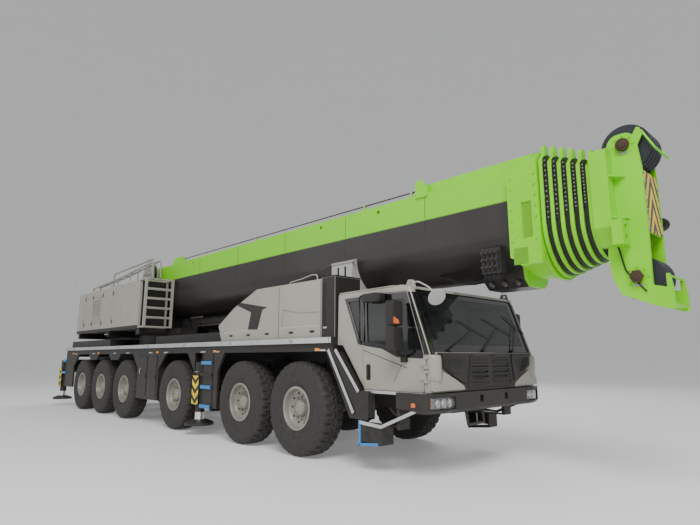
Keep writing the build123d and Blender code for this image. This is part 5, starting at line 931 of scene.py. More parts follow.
for side_name, side in SIDES:
    node = f"cab_door_{side_name}"
    turn = (lambda solid: solid) if side < 0 else mirrored
    shell = framed(DOOR, DOOR_HOLE, -CAB + 0.04, -CAB)
    piece(
        f"door_shell_{side_name}", turn(shell), GREY, node, bevel=0.002, stands_for=(node,)
    )
    piece(
        f"door_pane_{side_name}", turn(slab_of(swollen(DOOR_HOLE, 0.004), -CAB + 0.013, -CAB + 0.017)), GLASS,
        node, stands_for=(node,)
    )
    frit = framed(DOOR_BLACK, swollen(DOOR_HOLE, -0.045), -CAB + 0.004, -CAB - 0.002)
    piece(f"door_border_{side_name}", turn(frit), BORDER, node, stands_for=(node,))
    inner_seal = framed(swollen(DOOR_HOLE, 0.03), swollen(DOOR_HOLE, -0.012), -CAB + 0.048, -CAB + 0.038)
    piece(f"door_seal_{side_name}", turn(inner_seal), BLACK, node)
    # thin dark lines laid along the door's creases: painted shade in the creases
    bits = [
        creased_strip(
            [(ahead(1.43), SILL + 0.034), (ahead(2.25), SILL - 0.209)], 0.005, -CAB - 0.0012, -CAB + 0.002
        ),
        creased_strip(
            [(ahead(2.02), FLOOR + 0.13), (ahead(2.16), FLOOR + 0.36)], 0.003, -CAB - 0.001, -CAB + 0.002
        )
    ]
    piece(f"door_crease_shade_{side_name}", turn(stack(*bits)), DARK, node)
    recess = slab_of(
        [
            (ahead(1.49), FLOOR + 0.13), (ahead(1.575), FLOOR + 0.13), (ahead(1.575), FLOOR + 0.355),
            (ahead(1.49), FLOOR + 0.355)
        ], -CAB - 0.002, -CAB + 0.004, rounding=0.03
    )
    grip = pillow((ahead(1.534), -CAB - 0.006, FLOOR + 0.243), (0.026, 0.022, 0.185), 0.5)
    piece(f"door_grip_{side_name}", turn(stack(recess, grip)), BLACK, node)
    pinned = []
    for z in (FLOOR + 0.16, FLOOR + 0.34):
        pinned.append(lathe((ahead(2.566), -CAB - 0.016, z - 0.03), (0, 0, 1),
                            [(0, 0), (0, 0.012), (0.15, 0.012), (0.15, 0)], 20))
        pinned.append(brick((ahead(2.486), -CAB - 0.003, z), (ahead(2.526), -CAB + 0.005, z + 0.09)))
        pinned.append(brick((ahead(2.486), -CAB - 0.02, z), (ahead(2.566), -CAB - 0.002, z + 0.09)))
    piece(f"door_hinges_{side_name}", turn(stack(*pinned)), GREY, node, bevel=0.002,
          stands_for=(node,))
    # two mirror housings with soft corners on one bent arm
    arm_x, arm_y = ahead(2.22), -CAB - 0.18
    arm = [(arm_x, -CAB - 0.02, SILL - 0.06), (arm_x, arm_y + 0.02, SILL - 0.03), (arm_x, arm_y, SILL + 0.03),
           (arm_x, arm_y, ROOF - 0.32)]
    foot = pillow((arm_x, -CAB - 0.02, SILL - 0.08), (0.10, 0.05, 0.11), 0.25)
    piece(f"mirror_arm_{side_name}", turn(stack(bent(arm, 0.017, 14), foot)), BLACK, node,
          stands_for=(node,))
    cases = [pillow((arm_x, -CAB - 0.214, (lo + hi) / 2), (0.15, 0.21, hi - lo), 0.22, 24, 40)
             for lo, hi in ((SILL + 0.03, SILL + 0.33), (SILL + 0.345, ROOF - 0.25))]
    piece(f"mirror_cases_{side_name}", turn(stack(*cases)), DARK, node, stands_for=(node,))
    looking = [slab_of([(-CAB - 0.30, lo), (-CAB - 0.13, lo), (-CAB - 0.13, hi), (-CAB - 0.30, hi)],
                       arm_x - 0.077, arm_x - 0.0735, "yz", 0.03) for lo, hi in ((SILL + 0.06, SILL + 0.30),
                                                                               (SILL + 0.38, ROOF - 0.29))]
    piece(f"mirror_glass_{side_name}", turn(stack(*looking)), MIRROR, node)
    reflector = slab_of([(-CAB - 0.305, SILL + 0.37), (-CAB - 0.20, SILL + 0.37), (-CAB - 0.21, SILL + 0.42),
                         (-CAB - 0.305, SILL + 0.46)], arm_x + 0.066, arm_x + 0.0785, "yz", 0.012)
    piece(f"mirror_lamp_{side_name}", turn(reflector), ORANGE, node)
    # kerb mirror over the window
    hood = pillow((ahead(1.71), -CAB - 0.075, ROOF - 0.16), (0.36, 0.15, 0.13), 0.3, 20, 36)
    stay = bent([(ahead(1.62), -CAB + 0.0, ROOF - 0.12), (ahead(1.62), -CAB - 0.05, ROOF - 0.09),
                 (ahead(1.76), -CAB - 0.05, ROOF - 0.09), (ahead(1.80), -CAB - 0.02, ROOF - 0.13)], 0.009)
    piece(f"kerb_mirror_{side_name}", turn(stack(hood, stay)), DARK, node)
print("doors:", len(PIECES))

# %% Windscreen, wipers and the cab's front
LEAN = 0.33 / 0.93


def on_screen(points, lift=0.0):
    """Lays points (x, y, z) on the windscreen's plane: x is added to the plane's own x at that height."""
    p = np.array(points, float)
    p[:, 0] += ahead(2.640) + lift - (p[:, 2] - (SILL - 0.03)) * LEAN
    return p


GLASS_FACE = -0.0115
outer = [(-1.262, SILL + 0.004), (1.262, SILL + 0.004), (1.262, ROOF - 0.075), (-1.262, ROOF - 0.075)]
inner = [(-1.15, SILL + 0.10), (1.15, SILL + 0.10), (1.12, ROOF - 0.15), (-1.12, ROOF - 0.15)]
frit_points, frit_faces = framed(outer, inner, 0.0, 0.0012, "yz", 240)
piece("screen_border", (on_screen(frit_points, GLASS_FACE), frit_faces), BORDER)
seal_points, seal_faces = framed(swollen(outer, 0.012), swollen(outer, -0.006), 0.0, 0.008, "yz", 240)
piece("screen_seal", (on_screen(seal_points, GLASS_FACE + 0.006), seal_faces), BLACK)
wipers = []
for y, tip, z_tip in ((-0.95, -0.18, SILL + 0.34), (-0.10, 0.55, SILL + 0.40), (0.72, 1.08, SILL + 0.46)):
    low = SILL + 0.02
    rail = on_screen(
        [(0, y, low), (0, y + 0.03, low + 0.03), (0, (y + tip) / 2, (low + z_tip) / 2), (0, tip, z_tip)],
        0.022
    )
    blade_mid = np.array([0, tip, z_tip])
    way = np.array([0, 0.62, -0.22]) if y < 0 else np.array([0, 0.45, -0.25])
    blade = on_screen([blade_mid - way * 0.55, blade_mid, blade_mid + way * 0.55], 0.008)
    wipers += [tube(rail, [0.009, 0.008, 0.006, 0.004], 8), tube(blade, 0.006, 6)]
    wipers.append(lathe(on_screen([(0, y, low)], -0.005)[0], (1, 0, 0.35),
                        [(0, 0), (0, 0.022), (0.03, 0.02), (0.036, 0.012), (0.036, 0)], 20))
piece("wipers", stack(*wipers), BLACK)


def pillar_skin(start, end, rows=14, arc_steps=7):
    """A thin shell that wraps the screen pillar's rounded edge between two shares of the way round it.

    At each height the edge is a quarter ellipse, 0.058 deep and 0.055 wide; the shell adds a flat strip on
    the side or on the front where it reaches 0 or 1, and is 1.5 mm proud outside and 3 mm sunk inside.
    """
    z = np.linspace(SILL - 0.035, ROOF - 0.115, rows)[:, None]
    face = ahead(2.640) - (z - (SILL - 0.03)) * LEAN
    door_edge = np.interp(z, [SILL - 0.02, ROOF - 0.105], [ahead(2.546), ahead(2.281)])
    t = np.linspace(start, end, arc_steps)[None, :] * math.pi / 2
    layers = []
    for lift in (0.0015, -0.003):
        x = face - 0.0584 + (0.0584 + lift) * np.sin(t)
        y = np.broadcast_to(-CAB + 0.055 - (0.055 + lift) * np.cos(t), x.shape)
        if start == 0:
            x, y = np.concatenate(
                [np.minimum(door_edge, x[:, :1] - 0.001), x], 1
            ), np.concatenate([y[:, :1], y], 1)
        if end == 1:
            x = np.concatenate([x, x[:, -1:]], 1)
            y = np.concatenate([y, np.full((rows, 1), -CAB + 0.112)], 1)
        layers.append(np.stack([x, y, np.broadcast_to(z, x.shape)], -1))
    loop = np.concatenate([layers[0], layers[1][:, ::-1]], 1)
    cols = loop.shape[1]
    faces = grid_quads(rows, cols, wrap_cols=True).tolist()
    half = cols // 2
    for first in (0, (rows - 1) * cols):
        faces += [
            [first + j, first + j + 1, first + cols - 2 - j, first + cols - 1 - j] for j in range(half - 1)
        ]
    return loop.reshape(-1, 3), faces


# the two black skins leave a strip of grey paint between them along the pillar's rounded edge: a painted
# highlight
piece("pillar_side_black", both(pillar_skin(0, 0.42)), BORDER)
piece("pillar_front_black", both(pillar_skin(0.62, 1)), BORDER)

FACE = ahead(2.640)
PANEL = ahead(2.674)
# the light corner panels with a round upright bulge at each side of the dark mask
bulge_profile = [(0.0, 0.0), (0.0, 0.095), (0.012, 0.105), (0.30, 0.105), (0.335, 0.09), (0.345, 0.0)]
bulge = lathe((FACE - 0.035, -1.265, FLOOR + 0.145), (0, 0, 1), bulge_profile, 40)
piece("corner_bulges", both(bulge), GREY)
lower = [(-1.372, FLOOR + 0.02), (-0.665, FLOOR + 0.02), (-0.70, FLOOR + 0.075), (-0.90, FLOOR + 0.17),
         (-1.14, FLOOR + 0.26), (-1.17, FLOOR + 0.15), (-1.372, FLOOR + 0.145)]
piece("corner_panels", both(slab_of(lower, FACE - 0.005, FACE + 0.045, "yz", 0.012, 160)), GREY,
      bevel=0.006)
mask_low = [(-1.175, SILL - 0.015), (-0.62, SILL - 0.015), (-0.60, SILL - 0.10), (-0.66, FLOOR + 0.10),
            (-0.92, FLOOR + 0.20), (-1.13, FLOOR + 0.33)]
piece("mask_facets", both(slab_of(mask_low, PANEL - 0.002, PANEL + 0.014, "yz", 0.012, 160)), DARK,
      bevel=0.008)
# a black slab in the recess behind the chevron vents: painted shade in the recess
recess = [(-1.145, SILL - 0.06), (-0.70, SILL - 0.10), (-0.70, SILL - 0.16), (-0.93, FLOOR + 0.215),
          (-1.07, FLOOR + 0.30)]
piece("vent_recess_shade", both(slab_of(recess, PANEL + 0.010, PANEL + 0.0155, "yz", 0.008)), BLACK)
vents = []
for k in range(4):
    d = 0.046 * k
    path = [(PANEL + 0.018, -1.11 + d, SILL - 0.075), (PANEL + 0.018, -1.055 + d, SILL - 0.17),
            (PANEL + 0.018, -0.955 + d, SILL - 0.255 - 0.012 * k)]
    vents.append(bent(path, 0.0055, 6))
piece("chevron_vents", both(stack(*vents)), DARK_STEEL)
surround = framed(
    [(-0.60, FLOOR + 0.045), (0.60, FLOOR + 0.045), (0.50, SILL - 0.05), (-0.50, SILL - 0.05)],
    [(-0.565, FLOOR + 0.075), (0.565, FLOOR + 0.075), (0.475, SILL - 0.085), (-0.475, SILL - 0.085)],
    PANEL - 0.002, PANEL + 0.010, "yz"
)
piece("grille_surround", surround, DARK, bevel=0.003)
# black sheets flush in the gaps between the grille's slats: painted shade in the openings
slats, gap_shade = [], []
for row in range(5):
    z = FLOOR + 0.097 + row * 0.086
    half = 0.54 - 0.018 * row
    for side in (-1, 1):
        y0, y1 = side * 0.075, side * half
        gap_shade.append(brick((PANEL - 0.001, min(y0, y1), z + 0.010), (PANEL + 0.0015, max(y0, y1), z + 0.044)))
        slat = [(PANEL - 0.001, z + 0.040), (PANEL + 0.016, z + 0.034), (PANEL + 0.018, z + 0.040),
                (PANEL + 0.002, z + 0.052)]
        slats.append(prism([(x, zz) for x, zz in slat], min(y0, y1), max(y0, y1)))
piece("grille_gap_shade", stack(*gap_shade), BLACK)
piece("grille_slats", stack(*slats), DARK_STEEL, bevel=0.001)

# lamps in their pockets, with lens, reflector cups and chrome rim
BUMP_Z = (TYRE_R + 0.095, FLOOR - 0.008)
lamp_parts, cups = [], []
lens_path = [(ahead(2.578), -1.418), (ahead(2.640), -1.405), (ahead(2.668), -1.33), (ahead(2.690), -1.17),
             (ahead(2.690), -0.955), (ahead(2.675), -0.955), (ahead(2.672), -1.165), (ahead(2.652), -1.32),
             (ahead(2.628), -1.388), (ahead(2.578), -1.400)]
lamp_parts.append(prism(lens_path, BUMP_Z[0] + 0.058, BUMP_Z[1] - 0.053, "xy"))
for y in (-1.28, -1.15, -1.02):
    cups.append(lathe((ahead(2.60), y, (BUMP_Z[0] + BUMP_Z[1]) / 2), (1, 0, 0),
                      [(0.0, 0.0), (0.0, 0.03), (0.03, 0.052), (0.060, 0.056), (0.060, 0.050), (0.034, 0.046),
                       (0.008, 0.0)], 28))
piece("headlamp_lenses", both(stack(*lamp_parts)), LAMP_GLASS, bevel=0.003)
piece("headlamp_cups", both(stack(*cups)), CHROME)
backs = stack(brick((ahead(2.562), -1.40, BUMP_Z[0] + 0.062), (ahead(2.588), -0.958, BUMP_Z[1] - 0.058)),
              *[brick((ahead(2.586), y, BUMP_Z[0] + 0.062), (ahead(2.602), y + 0.004, BUMP_Z[1] - 0.058))
                for y in np.linspace(-1.39, -0.965, 26)])
piece("headlamp_backs", both(backs), CLEAR)
turn_lamp = pillow((ahead(2.606), -1.372, (BUMP_Z[0] + BUMP_Z[1]) / 2), (0.03, 0.04, 0.08), 0.4)
piece("turn_lamps", both(turn_lamp), ORANGE)
marker = pillow((ahead(2.45), -1.488, BUMP_Z[0] + 0.105), (0.10, 0.022, 0.055), 0.35)
piece("side_markers", both(marker), ORANGE)
silver_sill = brick((ahead(1.46), -CAB - 0.022, FLOOR - 0.045), (ahead(2.56), -CAB + 0.06, FLOOR - 0.004))
piece("sill_strip", both(silver_sill), SILVER, bevel=0.004)

# round mirror on its stay, lifting lug and roof edge
mirror_at = np.array([ahead(2.62), -1.17, ROOF - 0.20])
dish = lathe(
    mirror_at, (0.55, -0.25, -0.45),
    [(-0.05, 0), (-0.045, 0.05), (-0.012, 0.118), (0.0, 0.128), (0.01, 0.124), (0.012, 0.11), (0.012, 0)], 48
)
stay = bent(
    [
        (ahead(2.23), -1.26, ROOF + 0.0), (ahead(2.36), -1.25, ROOF + 0.035),
        (ahead(2.52), -1.2, ROOF - 0.06), tuple(mirror_at + (-0.03, 0.0, 0.03))
    ], 0.011, 12
)
piece("front_mirror", stack(dish, stay), PALE)
lug = framed(
    [
        (ahead(2.15), ROOF - 0.03), (ahead(2.33), ROOF - 0.06), (ahead(2.30), ROOF + 0.06),
        (ahead(2.20), ROOF + 0.07)
    ],
    [
        (ahead(2.225), ROOF + 0.0), (ahead(2.275), ROOF - 0.005), (ahead(2.27), ROOF + 0.035),
        (ahead(2.23), ROOF + 0.04)
    ], -1.262, -1.236, count=60
)
piece("roof_lugs", both(lug), GREY, bevel=0.003)
gutter = bent([(ahead(0.92), -CAB + 0.012, ROOF - 0.028), (ahead(2.02), -CAB + 0.012, ROOF - 0.012),
               (ahead(2.27), -CAB + 0.03, ROOF - 0.045)], 0.012, 8)
piece("roof_gutter", both(gutter), GREY)
quarter_black = [(ahead(1.035), ROOF - 0.118), (ahead(1.419), ROOF - 0.108), (ahead(1.419), SILL + 0.10),
                 (ahead(1.32), SILL + 0.125)]
quarter_frit = framed(quarter_black, swollen(QUARTER, -0.02), -CAB + 0.004, -CAB - 0.002)
piece("quarter_border", both(quarter_frit), BORDER)
rod_bar = bent(
    [
        (ahead(1.41), -CAB + 0.002, ROOF - 0.10), (ahead(1.41), -CAB - 0.05, ROOF - 0.12),
        (ahead(1.41), -CAB - 0.05, SILL + 0.17), (ahead(1.405), -CAB + 0.002, SILL + 0.13)
    ], 0.014, 14
)
piece("grab_rods", both(rod_bar), BLACK)
rear_frit = framed([(-0.80, SILL + 0.30), (0.80, SILL + 0.30), (0.80, ROOF - 0.12), (-0.80, ROOF - 0.12)],
                   [(-0.76, SILL + 0.34), (0.76, SILL + 0.34), (0.76, ROOF - 0.16), (-0.76, ROOF - 0.16)],
                   ahead(0.88) + 0.022, ahead(0.88) + 0.0235, "yz")
piece("rear_window_border", rear_frit, BORDER)
print("cab front:", len(PIECES))

# %% [markdown]
# Seats are foam under cloth. A cushion's top is crowned, its sides pull in between the corners, and a sewn
# channel is a shallow dip: the height is a product of two cosines less a narrow bell curve along each seam.

# %% Seats, dashboard and steering wheel
def cushion(centre, size, seams=(0.0,), crown=0.02, along="x", rows=26, cols=34):
    """Closed pad: x = a*u, y = b*v with both pulled in, z = c*(1-u^8)(1-v^8)^(1/3) + crown*cos*cos -
    channels."""
    u = np.linspace(-1, 1, rows)[:, None]
    v = np.linspace(-1, 1, cols)[None, :]
    a, b, c = np.asarray(size) / 2
    pull = 1 - 0.035 * np.cos(u * math.pi / 2)
    draw = 1 - 0.035 * np.cos(v * math.pi / 2)
    x, y = a * u * draw, b * v * pull
    edge = ((1 - np.abs(u) ** 8) * (1 - np.abs(v) ** 8)).clip(0, 1) ** (1 / 3)
    swell = crown * np.cos(u * math.pi / 2) * np.cos(v * math.pi / 2)
    dips = sum(0.009 * np.exp(-(((v if along == "x" else u) - s) / 0.035) ** 2) for s in seams)
    tops = c * edge + swell - dips * edge
    lows = -c * edge
    x, y = np.broadcast_arrays(x, y)
    top = np.stack([x, y, tops], -1)
    low = np.stack([x, y, lows], -1)
    n = rows * cols
    up = grid_quads(rows, cols)
    faces = np.concatenate([up, up[:, ::-1] + n])
    pts = np.concatenate([top.reshape(-1, 3), low.reshape(-1, 3)])
    return pts + np.asarray(centre), faces


def leaned(solid, pivot, degrees):
    """Turns a solid about an axis along Y through a pivot."""
    pts, faces = solid
    t = math.radians(degrees)
    p = np.asarray(pts) - pivot
    x = p[:, 0] * math.cos(t) + p[:, 2] * math.sin(t)
    z = -p[:, 0] * math.sin(t) + p[:, 2] * math.cos(t)
    return np.stack([x, p[:, 1], z], -1) + pivot, faces


def seat(name, node, body, x, y, floor_z, cushion_z, width):
    """A suspended seat: base, cushion, back and head pad."""
    base = stack(
        brick((x + 0.12, y - width * 0.36, floor_z), (x + 0.42, y + width * 0.36, cushion_z - 0.02)),
        brick((x + 0.02, y - width * 0.48, cushion_z - 0.03), (x + 0.50, y + width * 0.48, cushion_z + 0.01))
    )
    piece(f"{name}_base", base, BLACK, body, bevel=0.008, stands_for=(node,))
    pads = {"cushion": cushion((x + 0.27, y, cushion_z + 0.065), (0.50, width, 0.11), (-0.42, 0.42), 0.022)}
    back = cushion((x + 0.04, y, cushion_z + 0.45), (0.64, width * 0.96, 0.10), (-0.45, 0.45), 0.020)
    pads["back"] = leaned(back, np.array([x + 0.04, y, cushion_z + 0.45]), -82)
    head = cushion((x - 0.03, y, cushion_z + 0.83), (0.15, width * 0.52, 0.085), (), 0.012, rows=18, cols=24)
    pads["head"] = leaned(head, np.array([x - 0.03, y, cushion_z + 0.83]), -84)
    for key, solid in pads.items():
        piece(f"{name}_{key}", solid, CLOTH, body, stands_for=(node,))


for side_name, side in SIDES:
    seat(
        f"cab_seat_{side_name}", "cab_interior", "carrier", ahead(1.40), side * 0.62, FLOOR + 0.04,
        FLOOR + 0.33, 0.48
    )
dash_profile = resampled(
    [
        (ahead(2.33), FLOOR + 0.25), (ahead(2.598), FLOOR + 0.25), (ahead(2.598), SILL - 0.05),
        (ahead(2.40), SILL - 0.02), (ahead(2.30), SILL - 0.13)
    ], 60, 0.02
)
piece("dashboard", prism(dash_profile, -CAB + 0.045, CAB - 0.045), TRIM,
      stands_for=("cab_interior",))
hood = pillow((ahead(2.36), 0.62, SILL + 0.005), (0.20, 0.46, 0.12), 0.5)
piece("dial_hood", hood, BLACK, stands_for=("cab_interior",))
dials = [
    lathe(
        (ahead(2.268), y, SILL + 0.0), (-1, 0, 0.2),
        [(0, 0), (0, 0.052), (0.012, 0.052), (0.012, 0.046), (0.006, 0.044), (0.006, 0)], 32
    ) for y in (0.54, 0.70)
]
piece("dials", stack(*dials), STEEL, stands_for=("cab_interior",))
wheel_at = np.array([ahead(2.14), 0.62, SILL + 0.06])
axis, wu, wv = across((-0.61, 0, 0.79))
turn_angles = np.linspace(0, 2 * math.pi, 48, endpoint=False)[:, None]
ring = wheel_at + 0.21 * (np.cos(turn_angles) * wu + np.sin(turn_angles) * wv)
spokes = [straight(wheel_at + 0.2 * (math.cos(t) * wu + math.sin(t) * wv), wheel_at, 0.012)
          for t in (0.3, math.pi - 0.3, math.pi / 2)]
column = straight(wheel_at, wheel_at - axis * 0.33, 0.03, 16)
boss = lathe(wheel_at - axis * 0.01, axis, [(0, 0), (0, 0.06), (0.02, 0.055), (0.03, 0.03), (0.032, 0)], 24)
piece("steering_wheel", stack(tube(ring, 0.015, 12, closed=True), *spokes, column, boss), BLACK,
      stands_for=("cab_interior",))
print("crew cab:", len(PIECES))

# %% [markdown]
# A crane's flanks are told apart by small bright things: the silver edge of the deck, blue treads, black and
# yellow warning plates, amber lamps. The warning chevrons are real strips laid on a black plate, because
# their place depends on the plate's own middle.

# %% Deck edge, arches, ladders and fenders
SKIRT = HALF - 0.045  # outer face of the side skirts
ARCH = DECK - 0.22
JACKS = {}
for place in ("front_right", "front_left", "rear_right", "rear_left"):
    JACKS[place] = (float(node_centre(f"outrigger_jack_{place}")[0]), -1 if place.endswith("right") else 1)


def sided(solid, side):
    """A solid drawn for the right side, mirrored for the left."""
    return solid if side < 0 else mirrored(solid)


deck_low, deck_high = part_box("carrier_deck")
strip_front = min(float(deck_high[0]), ahead(0.86))
edge = brick((deck_low[0] + 0.002, -HALF - 0.003, DECK - 0.090), (strip_front, -HALF + 0.002, DECK - 0.002))
piece("deck_edge", both(edge), SILVER, bevel=0.002)
joints = [brick((x - 0.003, -HALF - 0.0045, DECK - 0.091), (x + 0.003, -HALF - 0.001, DECK - 0.001))
          for x in np.arange(float(deck_low[0]) + 1.9, strip_front, 1.9)]
clips = [brick((x - 0.05, -HALF - 0.005, DECK - 0.075), (x + 0.05, -HALF - 0.002, DECK - 0.018))
         for x in np.arange(float(deck_low[0]) + 0.95, strip_front - 0.3, 1.9)]
piece("deck_edge_joints", both(stack(*joints)), DARK)
piece("deck_edge_clips", both(stack(*clips)), STEEL, bevel=0.002)
lips = []
for x, way in (
    (-2.58, 1), (0.56, -1), (-3.14, 1), (-4.89, 1), (-5.78, -1), (-7.16, 1), (-8.09, 1), (-9.78, 1),
    (-11.5, -1)
):
    cx = ahead(x)
    lips.append(prism(
        [
            (cx - 0.10, ARCH + 0.035), (cx + 0.10, ARCH + 0.035), (cx + 0.10 - 0.05 * way, ARCH + 0.008),
            (cx - 0.10 - 0.05 * way, ARCH + 0.008)
        ], -SKIRT - 0.004, -SKIRT + 0.001
    ))
piece("arch_lips", both(stack(*lips)), SILVER)
lamps = [pillow((ahead(x), -SKIRT - 0.012, ARCH + 0.03), (0.10, 0.03, 0.045), 0.4, 12, 20)
         for x in (-2.66, 0.50, -5.35, -9.35, -11.72)]
piece("amber_side_lamps", both(stack(*lamps)), AMBER)

for side_name, side in SIDES:
    front_x = JACKS[f"front_{side_name}"][0]
    rear_x = JACKS[f"rear_{side_name}"][0]
    ladder = (front_x + 0.195, min(front_x + 0.195 + 0.42, AXLE_X[2] - TYRE_R - 0.15))
    rungs = [
        brick((ladder[0] + 0.002, -SKIRT - 0.0415, z - 0.014), (ladder[1] - 0.002, -SKIRT - 0.003, z + 0.054))
        for z in (0.56, 0.94, 1.42)
    ]
    back = rear_x + 0.155
    rungs += [brick((back - 0.0015, -SKIRT - 0.0415, z - 0.014), (back + 0.3215, -SKIRT - 0.003, z + 0.054))
              for z in (1.04, 1.42)]
    piece(f"blue_treads_{side_name}", sided(stack(*rungs), side), BLUE, bevel=0.006)
    teeth = []
    for rung_x, z_list in ((ladder, (0.56, 0.94, 1.42)), ((back, back + 0.32), (1.04, 1.42))):
        for z in z_list:
            for x in np.linspace(rung_x[0] + 0.03, rung_x[1] - 0.03, 7):
                teeth.append(
                    brick((x - 0.006, -SKIRT - 0.038, z + 0.053), (x + 0.006, -SKIRT - 0.008, z + 0.059))
                )
    piece(f"tread_teeth_{side_name}", sided(stack(*teeth), side), BLUE)
    posts = [brick((x - 0.012, -SKIRT - 0.012, 0.50), (x + 0.012, -SKIRT + 0.001, ARCH)) for x in ladder]
    piece(f"ladder_posts_{side_name}", sided(stack(*posts), side), DARK, bevel=0.003)
    box_x = (AXLE_X[4] + TYRE_R + 0.04, AXLE_X[3] - TYRE_R - 0.15)
    trims = []
    for door in (0.27, 0.73):
        mid = box_x[0] + door * (box_x[1] - box_x[0])
        trims.append(pillow((mid + 0.19, -SKIRT - 0.016, 1.10), (0.05, 0.018, 0.10), 0.4, 10, 18))
        for x in (mid - 0.20, mid + 0.12):
            trims.append(
                straight((x, -SKIRT - 0.016, ARCH - 0.062), (x + 0.08, -SKIRT - 0.016, ARCH - 0.062), 0.010)
            )
    piece(f"locker_latches_{side_name}", sided(stack(*trims), side), BLACK)
    hook = bent(
        [
            (ahead(-6.27), -SKIRT, 1.30), (ahead(-6.27), -SKIRT - 0.028, 1.27),
            (ahead(-6.30), -SKIRT - 0.028, 1.20), (ahead(-6.24), -SKIRT - 0.028, 1.16)
        ], 0.008, 8
    )
    piece(f"locker_hook_{side_name}", sided(hook, side), SILVER)
    fender = [
        creased_strip(
            [(ahead(x0) + 0.0275, z0), (ahead(x1) + 0.0275, z1)], 0.024, -HALF + 0.024, -HALF + 0.030
        ) for (x0, z0),
        (x1, z1) in (
            ((0.74, ARCH + 0.03), (1.29, FLOOR - 0.33)), ((0.90, ARCH + 0.03), (1.395, FLOOR - 0.03))
        )
    ]
    piece(f"fender_edges_{side_name}", sided(stack(*fender), side), SILVER)
    # crew step: silver bar, dark box, blue wraps on its edges
    bar = prism(
        [
            (ahead(2.47), BUMP_Z[0] + 0.061), (ahead(1.86), FLOOR - 0.449), (ahead(1.429), FLOOR - 0.419),
            (ahead(1.429), FLOOR - 0.466), (ahead(1.86), FLOOR - 0.496), (ahead(2.47), BUMP_Z[0] + 0.014)
        ], -HALF + 0.0255, -HALF + 0.022
    )
    piece(f"step_bar_{side_name}", sided(bar, side), SILVER)
    wraps = [brick((ahead(1.426), -HALF + 0.020, FLOOR - 0.765), (ahead(1.463), -CAB + 0.02, FLOOR - 0.42)),
             prism([(ahead(1.43), FLOOR - 0.764), (ahead(1.80), FLOOR - 0.728), (ahead(1.80), FLOOR - 0.688),
                    (ahead(1.43), FLOOR - 0.726)], -HALF + 0.020, -CAB + 0.02)]
    if side < 0:  # only the near step wears its blue wrapping
        piece("step_wraps", stack(*wraps), BLUE, bevel=0.008)
    cover = brick((ahead(1.47), -HALF + 0.031, FLOOR - 0.70), (ahead(1.83), -HALF + 0.036, FLOOR - 0.47))
    piece(f"step_box_{side_name}", sided(cover, side), CHASSIS, bevel=0.003)

for place, (x, side) in JACKS.items():
    low = float(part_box(f"outrigger_beam_{place}")[0][2])
    plate = brick((x - 0.1385, -HALF + 0.0035, low + 0.002), (x + 0.1385, -HALF + 0.0052, low + 0.588))
    body = f"outrigger_beam_{place}"
    piece(f"warning_plate_{place}", sided(plate, side), BLACK, body)
    bands = []
    for z in np.arange(low - 0.09, low + 0.50, 0.195):
        vee = [(x - 0.13, z + 0.11), (x, z), (x + 0.13, z + 0.11), (x + 0.13, z + 0.21), (x, z + 0.10),
               (x - 0.13, z + 0.21)]
        vee = [(a, min(max(b, low + 0.006), low + 0.582)) for a, b in vee]
        bands.append(prism(vee, -HALF + 0.0022, -HALF + 0.0036))
    piece(f"warning_chevrons_{place}", sided(stack(*bands), side), HAZARD_YELLOW, body)
    lamp = pillow((x, -HALF + 0.010, low + 0.52), (0.07, 0.016, 0.05), 0.4, 10, 18)
    hand = bent([(x - 0.06, -HALF + 0.03, low + 0.66), (x - 0.06, -HALF + 0.008, low + 0.66),
                 (x + 0.06, -HALF + 0.008, low + 0.66), (x + 0.06, -HALF + 0.03, low + 0.66)], 0.009, 8)
    piece(f"beam_grip_{place}", sided(hand, side), STEEL, body)
    jack = f"outrigger_jack_{place}"
    foot = node_centre(jack)
    pad_z = float(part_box(jack)[0][2])
    gussets = []
    for k in range(8):
        t = math.pi * (k + 0.5) / 4
        way, flat = np.array([math.cos(t), math.sin(t)]), np.array([-math.sin(t), math.cos(t)]) * 0.006
        corners = [(0.13, 0.050), (0.28, 0.050), (0.28, 0.058), (0.135, 0.114)]
        ring = [(foot[0] + r * way[0] + s * flat[0], foot[1] + r * way[1] + s * flat[1], pad_z + z)
                for s in (-1, 1) for r, z in corners]
        quads = [(0, 1, 2, 3), (7, 6, 5, 4)] + [(i, i + 4, (i + 1) % 4 + 4, (i + 1) % 4) for i in range(4)]
        gussets.append((np.array(ring), quads))
    piece(f"pad_gussets_{place}", stack(*gussets), CAST, jack)
    rod_skin = lathe((foot[0], foot[1], pad_z + 0.112), (0, 0, 1),
                     [(0, 0.0), (0, 0.096), (0.02, 0.0955), (0.145, 0.0955), (0.15, 0.0)], 40)
    piece(f"jack_rod_{place}", rod_skin, CHROME, jack)
print("flanks:", len(PIECES))

# %% Engine covers, intake stacks and boom rest
COVER = HALF - 0.05
mark = [
    (-1.83, 2.585), (-0.90, 2.435), (-1.06, 2.40), (-1.20, 2.05), (-1.52, 2.055), (-1.43, 2.375),
    (-1.90, 2.53)
]
mark_skin = slab_of(
    [(ahead(x), z) for x, z in mark], -COVER - 0.0015, -COVER + 0.001, rounding=0.004, count=240
)
piece("cover_marks", both(mark_skin), DARK)
